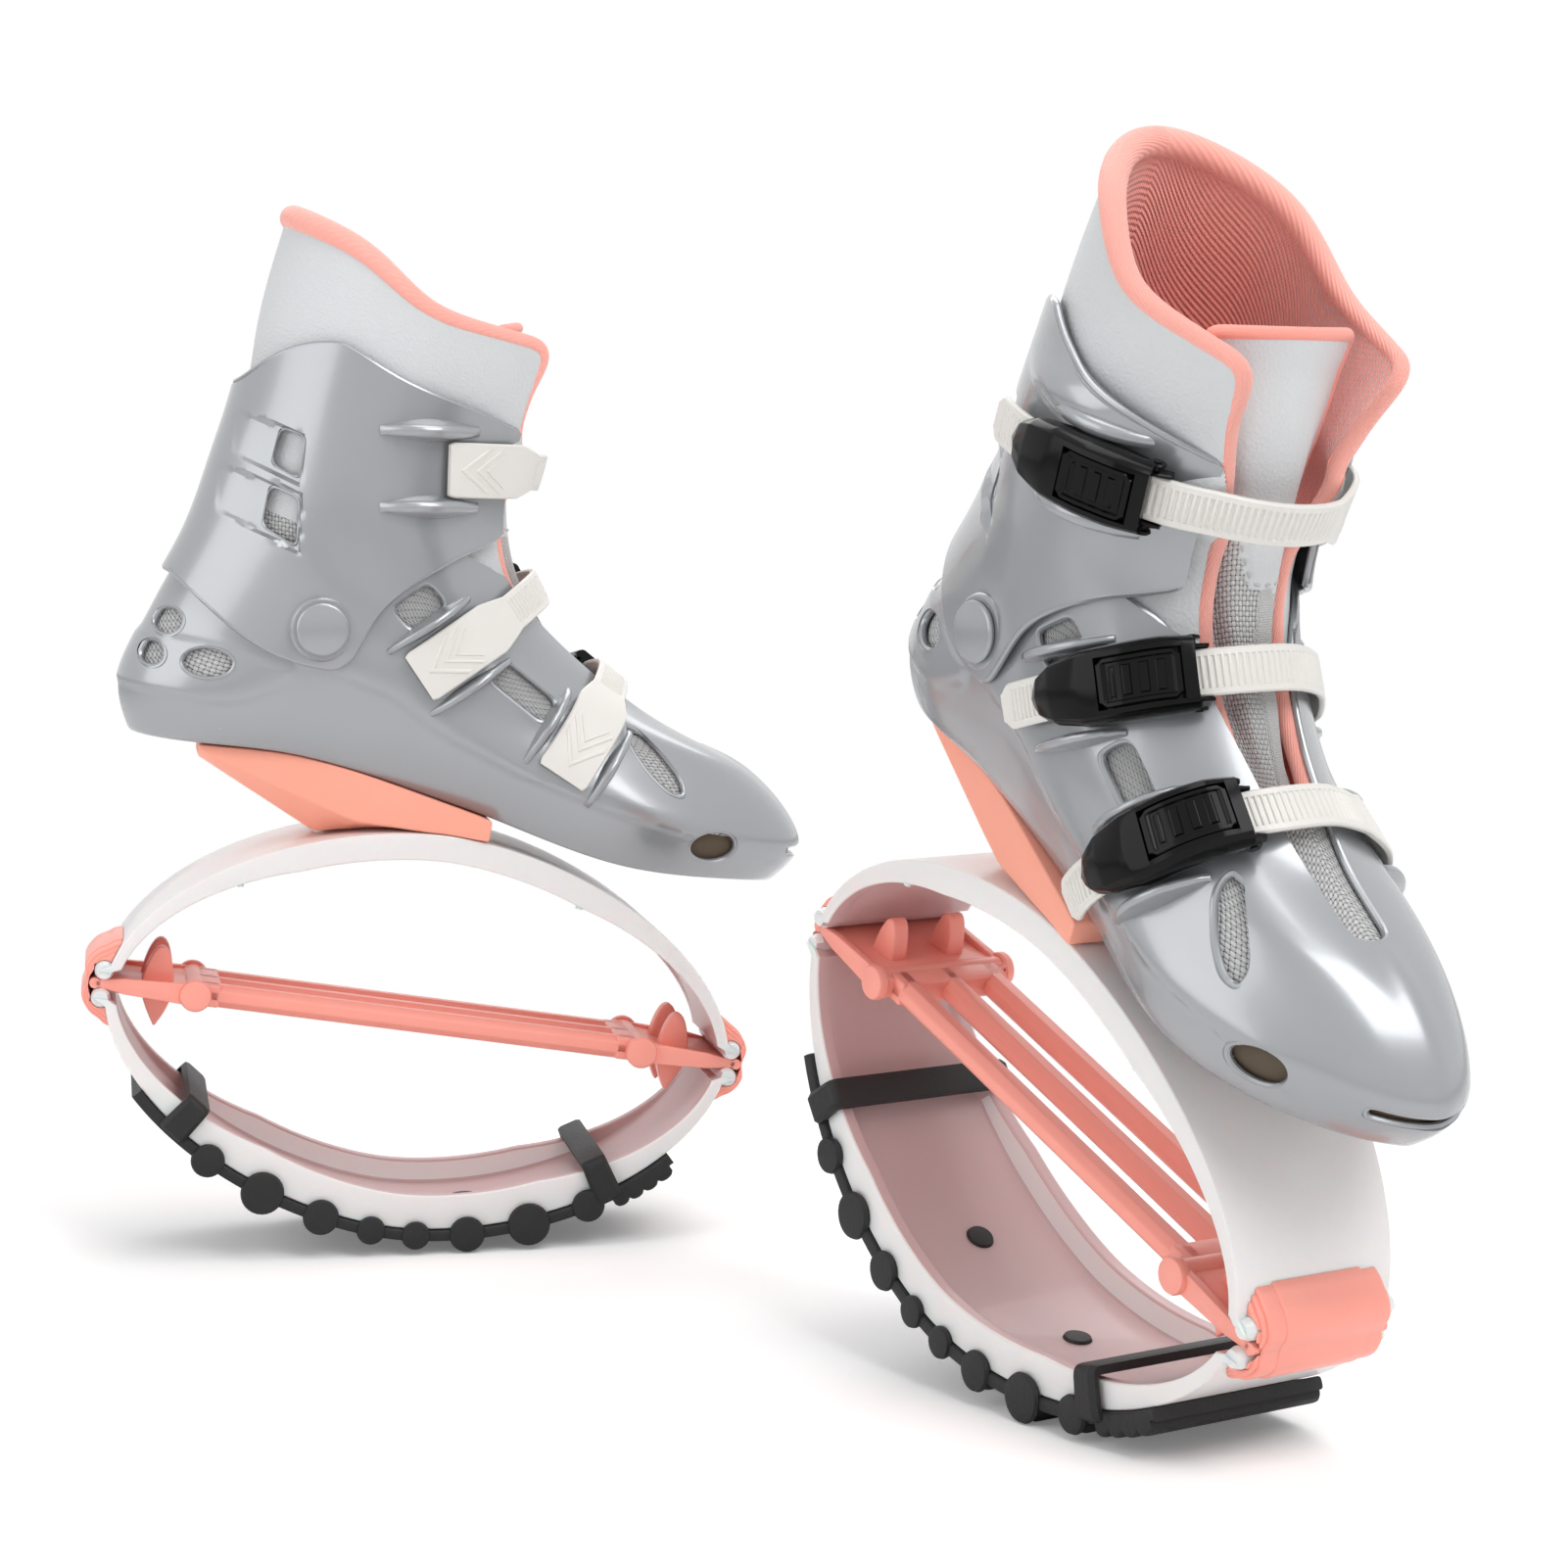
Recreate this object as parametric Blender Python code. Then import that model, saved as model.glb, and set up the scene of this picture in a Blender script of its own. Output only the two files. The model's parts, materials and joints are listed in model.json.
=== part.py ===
"""A pair of rebound jumping shoes: hard boots on springy arches, with ratchet straps.

Each shoe is modelled once, as the left one, in its own frame: X to the toe, Y to the wearer's
left, Z up, with the origin in the middle of the tension bar. The right shoe mirrors it.
"""
import math

import bmesh
import bpy
import numpy as np
from mathutils import Euler, Matrix, Vector
from mathutils.bvhtree import BVHTree

# Overall sizes, in metres
FOOT_LENGTH = 0.294
FOOT_HALF_WIDTH = 0.050
BOOT_HEIGHT = 0.220
HEEL_REACH = 0.143
GAP = 0.0003
CUT_OVERRUN = 0.02

# Arches
ARCH_HALF_SPAN = 0.131
UPPER_RISE = 0.081
LOWER_DROP = 0.084
ARCH_MID_HALF_WIDTH = 0.041
ARCH_END_HALF_WIDTH = 0.033
UPPER_RIM_DEPTH = 0.011
LOWER_RIM_DEPTH = 0.014
ARCH_WEB = 0.0045
ARCH_RIM_WIDTH = 0.0055
BEAD_RADIUS = 0.004
BEAD_SPACING = 0.0114
ARCH_POWER = 1.8
RIM_FADE = 1.9
ARCH_STATIONS = 21
ARCH_END_TURN = 82

# Sole wedge and the plate that bolts the boot to the arch
WEDGE_HEIGHT = 0.022
WEDGE_REAR_HALF_WIDTH = 0.024
WEDGE_FRONT_HALF_WIDTH = 0.043
WEDGE_OVERHANG = 0.107
WEDGE_FRONT = 0.015
WEDGE_NOSE_SHARE = 0.25
WEDGE_UNDER_SLOPE = 2.6
WEDGE_FACET_SLOPE = 1.6
WEDGE_UNDER_WIDTH_SHARE = 0.62
WEDGE_STATION_SHARES = (0.06, 0.16, 0.30)
SOLE_ARCH_GAP = 0.003
PLATE_THICKNESS = 0.002
PLATE_LENGTH = 0.062
PLATE_PLACE_SHARE = 0.381
PLATE_WIDTH = 0.018
STUD_RADIUS = 0.003
STUD_SPACING = 0.040
STUD_HOLE_GAP = 0.0005
STUD_HEAD_HEIGHT = 0.003
STUD_HEAD_RADIUS = 0.0055

# Boot walls
SHELL_WALL = 0.003
CUFF_WALL = 0.003
CUFF_GAP = 0.0010
LINER_WALL = 0.0045
LINER_GAP = 0.0032
INSOLE_THICKNESS = 0.002
TONGUE_THICKNESS = 0.004
TONGUE_GAP = 0.0014
TONGUE_BULGE = 0.006
TONGUE_HALF_WIDTH = 0.033
TONGUE_FREE_LEVEL = 5.4
OPENING_HALF_WIDTH = 0.028
LINER_SLIT_HALF_WIDTH = 0.023
COLLAR_SLIT_HALF_WIDTH = 0.033
LEVEL_COUNT = 8
FORM_COLUMNS = 24

# Cuff rivets
RIVET_HEAD_RADIUS = 0.0108
RIVET_HEAD_HEIGHT = 0.0028
RIVET_SHANK_RADIUS = 0.0036
RIVET_BOSS_RADIUS = 0.0128
RIVET_RUNNING_GAP = 0.0003

# Straps, ribs and buckles
STRAP_WIDTH = 0.0155
STRAP_PLATE_WIDTH = 0.0225
STRAP_PLATE_LENGTH = 0.036
STRAP_THICKNESS = 0.0022
STRAP_TAIL = 0.020
STRAP_GAP = 0.0029
STRAP_REACH_TURN = 135
STRAP_SWING_TURN = 60
RIB_SPACING = 0.0155
RIB_THICKNESS = 0.0026
RIB_HEIGHT = 0.0080
RIB_ROOT = 0.0018
RIB_SECTIONS = 4
RIB_END_SHARE = 0.15
SCREW_HEAD_RADIUS = 0.0042
SCREW_HEAD_HEIGHT = 0.0014
SCREW_SHANK_RADIUS = 0.0018
SCREW_INSET = 0.008
BASE_FLOOR = 0.0016
BASE_WALL = 0.0015
BASE_HEIGHT = 0.0062
BASE_LENGTH = 0.040
BASE_SIDE_GAP = 0.0005
LEVER_LENGTH = 0.054
LEVER_WIDTH = 0.026
LEVER_HEIGHT = 0.0130
LEVER_SKIRT = 0.0022
LEVER_CLEAR = 0.0009
LEVER_SWING_ROOM = 0.0036
PIN_RADIUS = 0.0013
PIN_HOLE_GAP = 0.0003
PIN_HEIGHT = 0.0036
PIN_EYE_RADIUS = 0.0030
PIN_SETBACK = 0.005
LATCH_LENGTH = 0.021
LATCH_WIDTH = 0.0165
LATCH_DEPTH = 0.0032
LATCH_GAP = 0.0005
LATCH_SETBACK = 0.0043

# Tension bar and clips
BAR_LENGTH_SHARE = 0.7176
BAR_HALF_LENGTH = ARCH_HALF_SPAN * BAR_LENGTH_SHARE
BAR_STRIP_WIDTH = 0.0096
BAR_STRIP_GAP = 0.0096
BAR_STRIP_HEIGHT = 0.0095
BAR_STRIP_COUNT = 3
BAR_END_THICKNESS = 0.0028
BAR_END_HALF_WIDTH = 0.029
CROSS_PIN_RADIUS = 0.0052
LUG_RADIUS = 0.0066
LUG_WIDTH = 0.0045
FIN_HEIGHT = 0.0168
FIN_LENGTH = 0.0135
FIN_WIDTH = 0.0070
FIN_SPACING = 0.0260
FIN_PLACE = 0.0155
HEAD_RADIUS = 0.0022
CLIP_HALF_WIDTH = 0.029
CLIP_LENGTH = 0.0215
CLIP_RISE = 0.0185
CLIP_WALL = 0.0024

# Tread
TREAD_THICKNESS = 0.005
TREAD_OVERHANG = 0.0030
TREAD_PART = 0.6
KNOB_WIDTH = 0.0042
BAND_WIDTH = 0.009
BAND_THICKNESS = 0.0035
PEG_RADIUS = 0.004
PEG_HOLE_GAP = 0.0004

# The boot's outer form, ring by ring from the sole's middle line to the collar's rim:
# back x, back z, front x, front z, half-widths at five places along the ring, and sole bend.
# Lengths are shares of the foot's length, heights of the boot's height, widths of the half-width.
RING_SHARES = (
    (0.071, 0.000, 0.915, -0.109, 0.00, 0.00, 0.00, 0.00, 0.00, 1.00),
    (0.041, 0.000, 0.942, -0.109, 0.84, 0.62, 0.58, 0.84, 0.98, 1.00),
    (0.020, 0.011, 0.973, -0.098, 1.06, 0.78, 0.74, 1.02, 1.16, 1.00),
    (0.000, 0.105, 1.000, -0.020, 1.24, 0.92, 0.90, 1.12, 1.12, 0.60),
    (0.033, 0.250, 0.915, 0.091, 1.10, 1.00, 0.92, 0.90, 0.98, 0.25),
    (0.072, 0.395, 0.745, 0.182, 1.00, 0.97, 0.92, 0.76, 0.54, 0.00),
    (0.094, 0.541, 0.575, 0.341, 0.88, 0.95, 0.95, 0.88, 0.68, 0.00),
    (0.112, 0.695, 0.514, 0.541, 0.82, 0.94, 0.95, 0.92, 0.84, 0.00),
    (0.133, 1.000, 0.554, 0.814, 0.85, 0.94, 0.96, 0.92, 0.84, 0.00),
)
SOLE_BEND_SHARES = (0.0, 0.034, 0.009, -0.027, -0.005)
COLLAR_BEND_SHARES = (0.0, -0.005, -0.045, -0.025, 0.0)
TOE_SWING_SHARE = 0.07

# Side-view outlines, as shares of the foot's length from the heel and of the boot's height
CUFF_OUTLINE_SHARES = (
    (0.048, 0.314), (0.099, 0.268), (0.146, 0.227), (0.201, 0.195), (0.262, 0.182),
    (0.299, 0.195), (0.333, 0.295), (0.371, 0.355), (0.425, 0.414), (0.480, 0.459),
    (0.560, 0.541), (0.560, 0.636), (0.459, 0.691), (0.398, 0.732), (0.323, 0.764),
    (0.255, 0.773), (0.194, 0.764), (0.146, 0.732), (0.102, 0.677), (0.055, 0.650),
    (0.000, 0.500), (-0.020, 0.340),
)
SHELL_TOP_SHARES = (
    (-0.060, 0.300), (0.044, 0.305), (0.146, 0.310), (0.262, 0.328), (0.350, 0.377),
    (0.398, 0.423), (0.473, 0.459), (0.640, 0.520), (0.640, 1.200), (-0.060, 1.200),
)
CUFF_WINDOW_SHARES = (
    ((0.126, 0.550), (0.201, 0.514), (0.201, 0.591), (0.129, 0.614)),
    ((0.117, 0.443), (0.212, 0.389), (0.205, 0.480), (0.113, 0.507)),
)
SHELL_WINDOW_SHARES = (
    ((0.350, 0.292), (0.379, 0.271), (0.418, 0.318), (0.393, 0.352)),
    ((0.500, 0.200), (0.585, 0.136), (0.602, 0.177), (0.517, 0.232)),
    ((0.701, 0.158), (0.711, 0.117), (0.745, 0.067), (0.779, 0.034),
     (0.806, 0.030), (0.799, 0.067), (0.765, 0.112), (0.724, 0.153)),
)
# Oval vents: centre, half-length, half-height and tilt in turns
SHELL_VENT_SHARES = (
    (0.056, 0.218, 0.019, 0.022, 0.10),
    (0.040, 0.155, 0.016, 0.022, 0.05),
    (0.116, 0.155, 0.034, 0.026, 0.02),
    (0.854, -0.050, 0.034, 0.026, 0.03),
)
TOE_SLOT_SHARES = (0.963, -0.052, 0.040, 0.007)
TOE_SLOT_HALF_WIDTH_SHARE = 0.36
RIVET_SHARES = (0.262, 0.250)
# Height at which the shaft's front opens, and how far back, for the cuff and the liner
CUFF_FRONT_SHARES = (0.250, 0.390)
LINER_FRONT_SHARES = (0.400, 0.390)
# Half-width of the open instep from its toe end to the shaft, at shares of the foot's length
OPENING_SHARES = (
    (0.843, 0.10), (0.835, 0.24), (0.815, 0.30), (0.740, 0.32), (0.680, 0.40),
    (0.610, 0.50), (0.550, 0.66), (0.514, 0.82), (0.473, 1.00), (0.420, 1.05),
)
LINER_SLIT_SHARES = (
    (0.720, 0.08), (0.712, 0.20), (0.690, 0.27), (0.640, 0.34), (0.590, 0.42),
    (0.550, 0.50), (0.514, 0.56), (0.480, 0.58), (0.460, 0.58),
)
# Each strap: middle over the instep, fixed inner end, free outer end, and where its ribs
# begin and end between the middle and the fixed end
STRAPS = {
    "cuff": ((0.548, 0.605), (0.381, 0.573), (0.211, 0.585), (0.62, 1.50)),
    "instep": ((0.565, 0.382), (0.391, 0.173), (0.350, 0.177), (0.41, 1.00)),
    "toe": ((0.694, 0.245), (0.616, 0.032), (0.534, -0.027), (0.34, 1.03)),
}
# Tread knobs: place along the arch's half-span, and radius as a share of the tread's thickness
KNOB_SHARES = (
    (-0.60, 1.40), (-0.42, 1.80), (-0.23, 1.50), (-0.07, 1.20),
    (0.07, 1.20), (0.23, 1.50), (0.42, 1.80), (0.60, 1.40),
)
BAND_SHARES = (-0.72, 0.66)
PEG_SHARES = (-0.25, 0.25)
CLIP_OUTLINE_SHARES = (
    (1.00, 0.30), (1.05, 0.90), (0.98, 1.02), (0.72, 0.98), (0.38, 0.86),
    (0.14, 0.64), (0.02, 0.34), (0.08, 0.06),
)
LEVER_STATION_SHARES = (
    (0.00, 0.30, 0.52), (0.06, 0.58, 0.66), (0.18, 0.82, 0.80), (0.38, 0.97, 0.93),
    (0.62, 1.00, 1.00), (0.82, 1.00, 0.97), (1.00, 0.95, 0.86),
)

# Where each shoe stands: middle of its bar, and its turn about Z, Y and X in degrees
PLACES = {
    "left": ((-0.1570, 0.1460, 0.0824), (11.0, 9.15, 0.0), 1),
    "right": ((0.1050, -0.1060, 0.0918), (-56.6, 23.57, 0.0), -1),
}

FINISHES = {
    "shell": ((0.45, 0.47, 0.49), 0.28, 0.35),
    "leather": ((0.72, 0.73, 0.74), 0.60, 0.0),
    "mesh": ((0.60, 0.60, 0.61), 0.85, 0.0),
    "board": ((0.42, 0.31, 0.12), 0.80, 0.0),
    "strap": ((0.80, 0.78, 0.74), 0.50, 0.0),
    "buckle": ((0.01, 0.01, 0.01), 0.15, 0.0),
    "steel": ((0.60, 0.60, 0.60), 0.35, 1.0),
    "wedge": ((0.95, 0.42, 0.28), 0.50, 0.0),
    "arch": ((0.86, 0.85, 0.84), 0.40, 0.0),
    "bar": ((0.90, 0.35, 0.27), 0.45, 0.0),
    "rubber": ((0.03, 0.03, 0.03), 0.75, 0.0),
}

SOLE_HEIGHT = UPPER_RISE + WEDGE_HEIGHT
LINER_INSET = SHELL_WALL + LINER_GAP
SOLE_STACK = SHELL_WALL + GAP + PLATE_THICKNESS + GAP + INSOLE_THICKNESS + GAP
BEAD_OFFSET = BEAD_SPACING / 2
SIDES = {"inner": -1, "outer": 1}


def spline(rows, where):
    """Smooth curve through rows that stand at 0, 1, 2 and so on, read at where."""
    rows = np.asarray(rows, float)
    where = np.clip(np.asarray(where, float), 0, len(rows) - 1)
    first = np.minimum(where.astype(int), len(rows) - 2)
    part = (where - first).reshape(where.shape + (1,) * (rows.ndim - 1))
    before, start, end, after = (
        rows[np.clip(first + step, 0, len(rows) - 1)] for step in (-1, 0, 1, 2)
    )
    slope = (end - before) * part
    curve = (2 * before - 5 * start + 4 * end - after) * part**2
    twist = (3 * start - before - 3 * end + after) * part**3
    return start + (slope + curve + twist) / 2


def arch_height(x, rise):
    """Height of an arch's outer face at x."""
    share = np.clip(np.abs(x) / ARCH_HALF_SPAN, 0, 1)
    return rise * (1 - share**ARCH_POWER) ** (1 / ARCH_POWER)


def side_point(shares):
    """Side-view x and z of a pair of boot shares."""
    return FOOT_LENGTH * shares[0] - HEEL_REACH, SOLE_HEIGHT + BOOT_HEIGHT * shares[1]


def column_turns():
    """Turns of the columns that the boot's nested walls share."""
    return np.linspace(0, math.tau, FORM_COLUMNS, endpoint=False)


def form_surface(level, turn):
    """The boot's outer form, where level counts rings up and turn runs heel to toe to heel."""
    level, turn = np.broadcast_arrays(np.asarray(level, float), np.asarray(turn, float))
    ring = spline(RING_SHARES, level)
    along = (1 - np.cos(turn)) / 2
    x = FOOT_LENGTH * (ring[..., 0] + (ring[..., 2] - ring[..., 0]) * along) - HEEL_REACH
    z = ring[..., 1] + (ring[..., 3] - ring[..., 1]) * along
    z += ring[..., 9] * spline(SOLE_BEND_SHARES, 4 * along)
    z += np.clip(level + 1 - LEVEL_COUNT, 0, 1) * spline(COLLAR_BEND_SHARES, 4 * along)
    z = SOLE_HEIGHT + BOOT_HEIGHT * z
    z = np.maximum(z, arch_height(x, UPPER_RISE) + SOLE_ARCH_GAP)
    place = np.clip(4 * along, 0, 4)
    first = np.minimum(place.astype(int), 3)
    widths = ring[..., 4:9]

    def width_at(index):
        return np.take_along_axis(widths, np.clip(index, 0, 4)[..., None], -1)[..., 0]

    part = place - first
    before, start, end, after = (width_at(first + step) for step in (-1, 0, 1, 2))
    slope = (end - before) * part
    curve = (2 * before - 5 * start + 4 * end - after) * part**2
    twist = (3 * start - before - 3 * end + after) * part**3
    width = start + (slope + curve + twist) / 2
    swing = TOE_SWING_SHARE * along**3 * np.clip(1 - level / LEVEL_COUNT, 0, 1)
    y = -FOOT_HALF_WIDTH * (width * np.sin(turn) + swing)
    return np.stack([x, y, z], -1)


def form(level, turn, offset):
    """The outer form moved out along its own normal by offset."""
    level, turn = np.broadcast_arrays(np.asarray(level, float), np.asarray(turn, float))
    step = 0.02
    low = np.clip(level - step, step, LEVEL_COUNT - 2 * step)
    level_slope = form_surface(low + 2 * step, turn) - form_surface(low, turn)
    turn_slope = form_surface(np.maximum(level, step), turn + step)
    turn_slope = turn_slope - form_surface(np.maximum(level, step), turn - step)
    normal = np.cross(turn_slope, level_slope)
    folded = np.clip(np.arccos(np.cos(turn)), 10 * step, math.pi - 10 * step)
    line = form_surface(0, folded + step) - form_surface(0, folded - step)
    down = np.stack([line[..., 2], np.zeros(line.shape[:-1]), -line[..., 0]], -1)
    normal = np.where(level[..., None] < step, down, normal)
    normal /= np.maximum(np.linalg.norm(normal, axis=-1, keepdims=True), 1e-12)
    return form_surface(level, turn) + normal * np.asarray(offset)[..., None]


def new_object(name, points, faces):
    """An object from points and faces, with doubles merged and its normals facing out."""
    mesh = bpy.data.meshes.new(name)
    mesh.from_pydata([tuple(map(float, point)) for point in points], [], faces)
    shape = bmesh.new()
    shape.from_mesh(mesh)
    bmesh.ops.remove_doubles(shape, verts=shape.verts, dist=1e-6)
    bmesh.ops.recalc_face_normals(shape, faces=shape.faces)
    shape.to_mesh(mesh)
    shape.free()
    obj = bpy.data.objects.new(name, mesh)
    bpy.context.scene.collection.objects.link(obj)
    return obj


def grid_faces(rows, columns, closed):
    """Quads of a grid whose rows are stacked and whose columns may close on themselves."""
    faces = []
    for row in range(rows - 1):
        for column in range(columns if closed else columns - 1):
            after = (column + 1) % columns
            low, high = row * columns, (row + 1) * columns
            faces.append((low + column, low + after, high + after, high + column))
    return faces


def sheet(name, outer, inner, closed):
    """A solid wall between two grids of points, closed at its edges."""
    rows, columns = outer.shape[:2]
    count = rows * columns
    faces = grid_faces(rows, columns, closed)
    faces += [tuple(index + count for index in face[::-1]) for face in faces]
    last = (rows - 1) * columns
    for column in range(columns if closed else columns - 1):
        after = (column + 1) % columns
        faces.append((column, column + count, after + count, after))
        faces.append((last + after, last + after + count, last + column + count, last + column))
    if not closed:
        for row in range(rows - 1):
            low, high = row * columns, (row + 1) * columns
            faces.append((low, high, high + count, low + count))
            low, high = low + columns - 1, high + columns - 1
            faces.append((low, low + count, high + count, high))
    points = np.concatenate([outer.reshape(-1, 3), inner.reshape(-1, 3)])
    return new_object(name, points, faces)


def cup(name, outer, inner):
    """A wall between two closed grids whose first rows meet along the sole's middle line."""
    rows, columns = outer.shape[:2]
    count = rows * columns
    faces = grid_faces(rows, columns, True)
    faces += [tuple(index + count for index in face[::-1]) for face in faces]
    last = (rows - 1) * columns
    for column in range(columns):
        after = (column + 1) % columns
        faces.append((last + after, last + after + count, last + column + count, last + column))
    points = np.concatenate([outer.reshape(-1, 3), inner.reshape(-1, 3)])
    return new_object(name, points, faces)


def loft(name, sections):
    """A closed solid through sections of equal point counts, with its ends capped."""
    sections = np.asarray(sections, float)
    rows, columns = sections.shape[:2]
    faces = grid_faces(rows, columns, True)
    faces.append(tuple(range(columns))[::-1])
    faces.append(tuple(range((rows - 1) * columns, rows * columns)))
    return new_object(name, sections.reshape(-1, 3), faces)


def prism(name, outline, low, high, axis):
    """An outline in the two other axes, drawn out along axis from low to high."""
    sections = []
    for depth in (low, high):
        if axis == "Y":
            sections.append([(x, depth, z) for x, z in outline])
        else:
            sections.append([(x, y, depth) for x, y in outline])
    return loft(name, sections)


def cylinder(name, radius, start, end, sides):
    """A round bar between two points."""
    start, end = Vector(start), Vector(end)
    mesh = bpy.data.meshes.new(name)
    shape = bmesh.new()
    bmesh.ops.create_cone(
        shape, cap_ends=True, segments=sides, radius1=radius, radius2=radius,
        depth=(end - start).length,
    )
    turn = (end - start).to_track_quat("Z", "Y").to_matrix().to_4x4()
    shape.transform(Matrix.Translation((start + end) / 2) @ turn)
    shape.to_mesh(mesh)
    shape.free()
    obj = bpy.data.objects.new(name, mesh)
    bpy.context.scene.collection.objects.link(obj)
    return obj


def combine(obj, other, operation):
    """Cuts another object from obj or joins it on, and removes the other."""
    modifier = obj.modifiers.new(other.name, "BOOLEAN")
    modifier.operation = operation
    modifier.object = other
    modifier.solver = "EXACT"
    graph = bpy.context.evaluated_depsgraph_get()
    mesh = bpy.data.meshes.new_from_object(obj.evaluated_get(graph))
    obj.modifiers.clear()
    obj.data = mesh
    bpy.data.objects.remove(other)
    return obj


def ellipse(centre, half_length, half_height, tilt, count):
    """Points of a tilted oval."""
    points = []
    for index in range(count):
        turn = math.tau * index / count
        along, up = half_length * math.cos(turn), half_height * math.sin(turn)
        cosine, sine = math.cos(math.tau * tilt), math.sin(math.tau * tilt)
        points.append((centre[0] + along * cosine - up * sine, centre[1] + along * sine + up * cosine))
    return points


def turned(name, profile, centre, side, sides):
    """A round piece about the Y axis through centre; profile holds radius and reach outward."""
    sections = []
    for radius, reach in profile:
        ring = []
        for index in range(sides):
            turn = math.tau * index / sides
            x, z = centre[0] + radius * math.cos(turn), centre[1] + radius * math.sin(turn)
            ring.append((x, side * reach, z))
        sections.append(ring)
    return loft(name, sections)


def form_tree(offset):
    """A search tree of the outer form moved out by offset."""
    levels = np.linspace(0, LEVEL_COUNT, 4 * LEVEL_COUNT + 1)[:, None]
    turns = np.linspace(0, math.tau, 96, endpoint=False)[None, :]
    grid = form(levels, turns, np.full((1, 1), offset))
    points = [Vector(point) for point in grid.reshape(-1, 3)]
    return BVHTree.FromPolygons(points, grid_faces(levels.size, turns.size, True))


def surface_at(tree, x, z, side):
    """Point and outward normal of the form's side wall at a side-view place."""
    far = side * 2 * FOOT_HALF_WIDTH
    point, normal, _, _ = tree.ray_cast(Vector((x, far, z)), Vector((0, -side, 0)))
    if normal.y * side < 0:
        normal = -normal
    return point, normal


class StrapPath:
    """The line that a strap follows round the boot, from its fixed end to its free end."""

    def __init__(self, name, tree):
        middle, fixed, free, self.rib_shares = STRAPS[name]
        self.middle = np.array([side_point(middle)[0], 0, side_point(middle)[1]])
        self.lines = {}
        for side, end in ((-1, fixed), (1, free)):
            x, z = side_point(end)
            line = np.array([x, 0, z]) - self.middle
            self.lines[side] = (line / np.linalg.norm(line), np.linalg.norm(line))
        turns = np.radians(np.linspace(-STRAP_REACH_TURN, STRAP_REACH_TURN, 49))
        edges = [self.taut_line(tree, turns, STRAP_PLATE_WIDTH / 2 * aside) for aside in (-1, 0, 1)]
        self.build(*edges)

    def directions(self, turns):
        """Direction down the strap's side at each turn, swinging over from one side to the other."""
        share = np.clip(turns / math.radians(STRAP_SWING_TURN), -1, 1)
        share = ((3 * share - share**3) / 2 + 1) / 2
        line = self.lines[-1][0] + (self.lines[1][0] - self.lines[-1][0]) * share[:, None]
        return line / np.linalg.norm(line, axis=1, keepdims=True)

    def taut_line(self, tree, turns, aside):
        """Points of the form reached by rays from inside it, pulled taut, beside the middle."""
        line = self.directions(turns)
        across = np.stack([-line[:, 2], line[:, 1], line[:, 0]], -1)
        start = self.middle + line * FOOT_HALF_WIDTH + across * aside
        way = -line * np.cos(turns)[:, None] + np.array([0, 1, 0]) * np.sin(turns)[:, None]
        reach = np.empty(len(turns))
        for index in range(len(turns)):
            hit = tree.ray_cast(Vector(start[index]), Vector(way[index]))[0]
            reach[index] = (Vector(start[index]) - hit).length
        kept = []
        for index in range(len(turns)):
            while len(kept) > 1:
                (ax, ay), (bx, by), (cx, cy) = (
                    (-reach[at] * math.cos(turns[at]), reach[at] * math.sin(turns[at]))
                    for at in (*kept[-2:], index)
                )
                if (bx - ax) * (cy - ay) - (by - ay) * (cx - ax) < 0:
                    break
                kept.pop()
            kept.append(index)
        taut = reach.copy()
        for low, high in zip(kept, kept[1:]):
            at = turns[low:high + 1]
            spread = reach[low] * np.sin(at - turns[low]) + reach[high] * np.sin(turns[high] - at)
            taut[low:high + 1] = reach[low] * reach[high] * math.sin(turns[high] - turns[low]) / spread
        return start + way * taut[:, None]

    def build(self, near, centre, far):
        """Evenly spaced points and frames between the ends, lifted where the buckle sits."""
        side = np.where(centre[:, 1] < 0, -1, 1)
        depth = np.array([(point - self.middle) @ self.lines[end][0] for point, end in zip(centre, side)])
        limit = np.array([self.lines[end][1] for end in side])
        inside = np.flatnonzero(depth <= limit)
        first, last = inside[0], inside[-1]
        near, centre, far = near[first:last + 1], centre[first:last + 1], far[first:last + 1]
        steps = np.concatenate([[0], np.cumsum(np.linalg.norm(np.diff(centre, axis=0), axis=1))])
        self.length = steps[-1]
        self.at = np.linspace(0, self.length, 73)

        def even(line):
            line = np.stack([np.interp(self.at, steps, line[:, axis]) for axis in range(3)], -1)
            for _ in range(2):
                line[1:-1] = (line[:-2] + 2 * line[1:-1] + line[2:]) / 4
            return line

        near, centre, far = even(near), even(centre), even(far)
        along = np.gradient(centre, axis=0)
        along /= np.linalg.norm(along, axis=1, keepdims=True)
        across = far - near
        out = np.cross(across, along)
        out /= np.linalg.norm(out, axis=1, keepdims=True)
        out *= np.sign((out[len(out) // 2] @ self.lines[1][0]) * -1)
        self.along, self.out = along, out
        self.across = np.cross(along, out)
        chord = (near + far) / 2
        bulge = np.maximum(((centre - chord) * out).sum(axis=1, keepdims=True), 0)
        self.seat = chord + out * (bulge + STRAP_GAP)
        start = self.length - STRAP_TAIL - LEVER_LENGTH
        rise = np.clip((self.at - start) / (BASE_LENGTH / 2) + 1, 0, 1)
        rise = rise * rise * (3 - 2 * rise)
        self.raised = self.seat + out * (rise * (BASE_FLOOR + 2 * GAP))[:, None]

    def frame(self, place, line):
        """Point and axes at a length along the strap, on the seat or the raised line."""
        rows = [
            np.array([np.interp(place, self.at, table[:, axis]) for axis in range(3)])
            for table in (line, self.along, self.across, self.out)
        ]
        return rows[0], *(row / np.linalg.norm(row) for row in rows[1:])

    def section(self, place, outline, line):
        """An outline of across and out values, placed at a length along the strap."""
        point, _, across, out = self.frame(place, line)
        return [point + across * wide + out * high for wide, high in outline]

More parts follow.
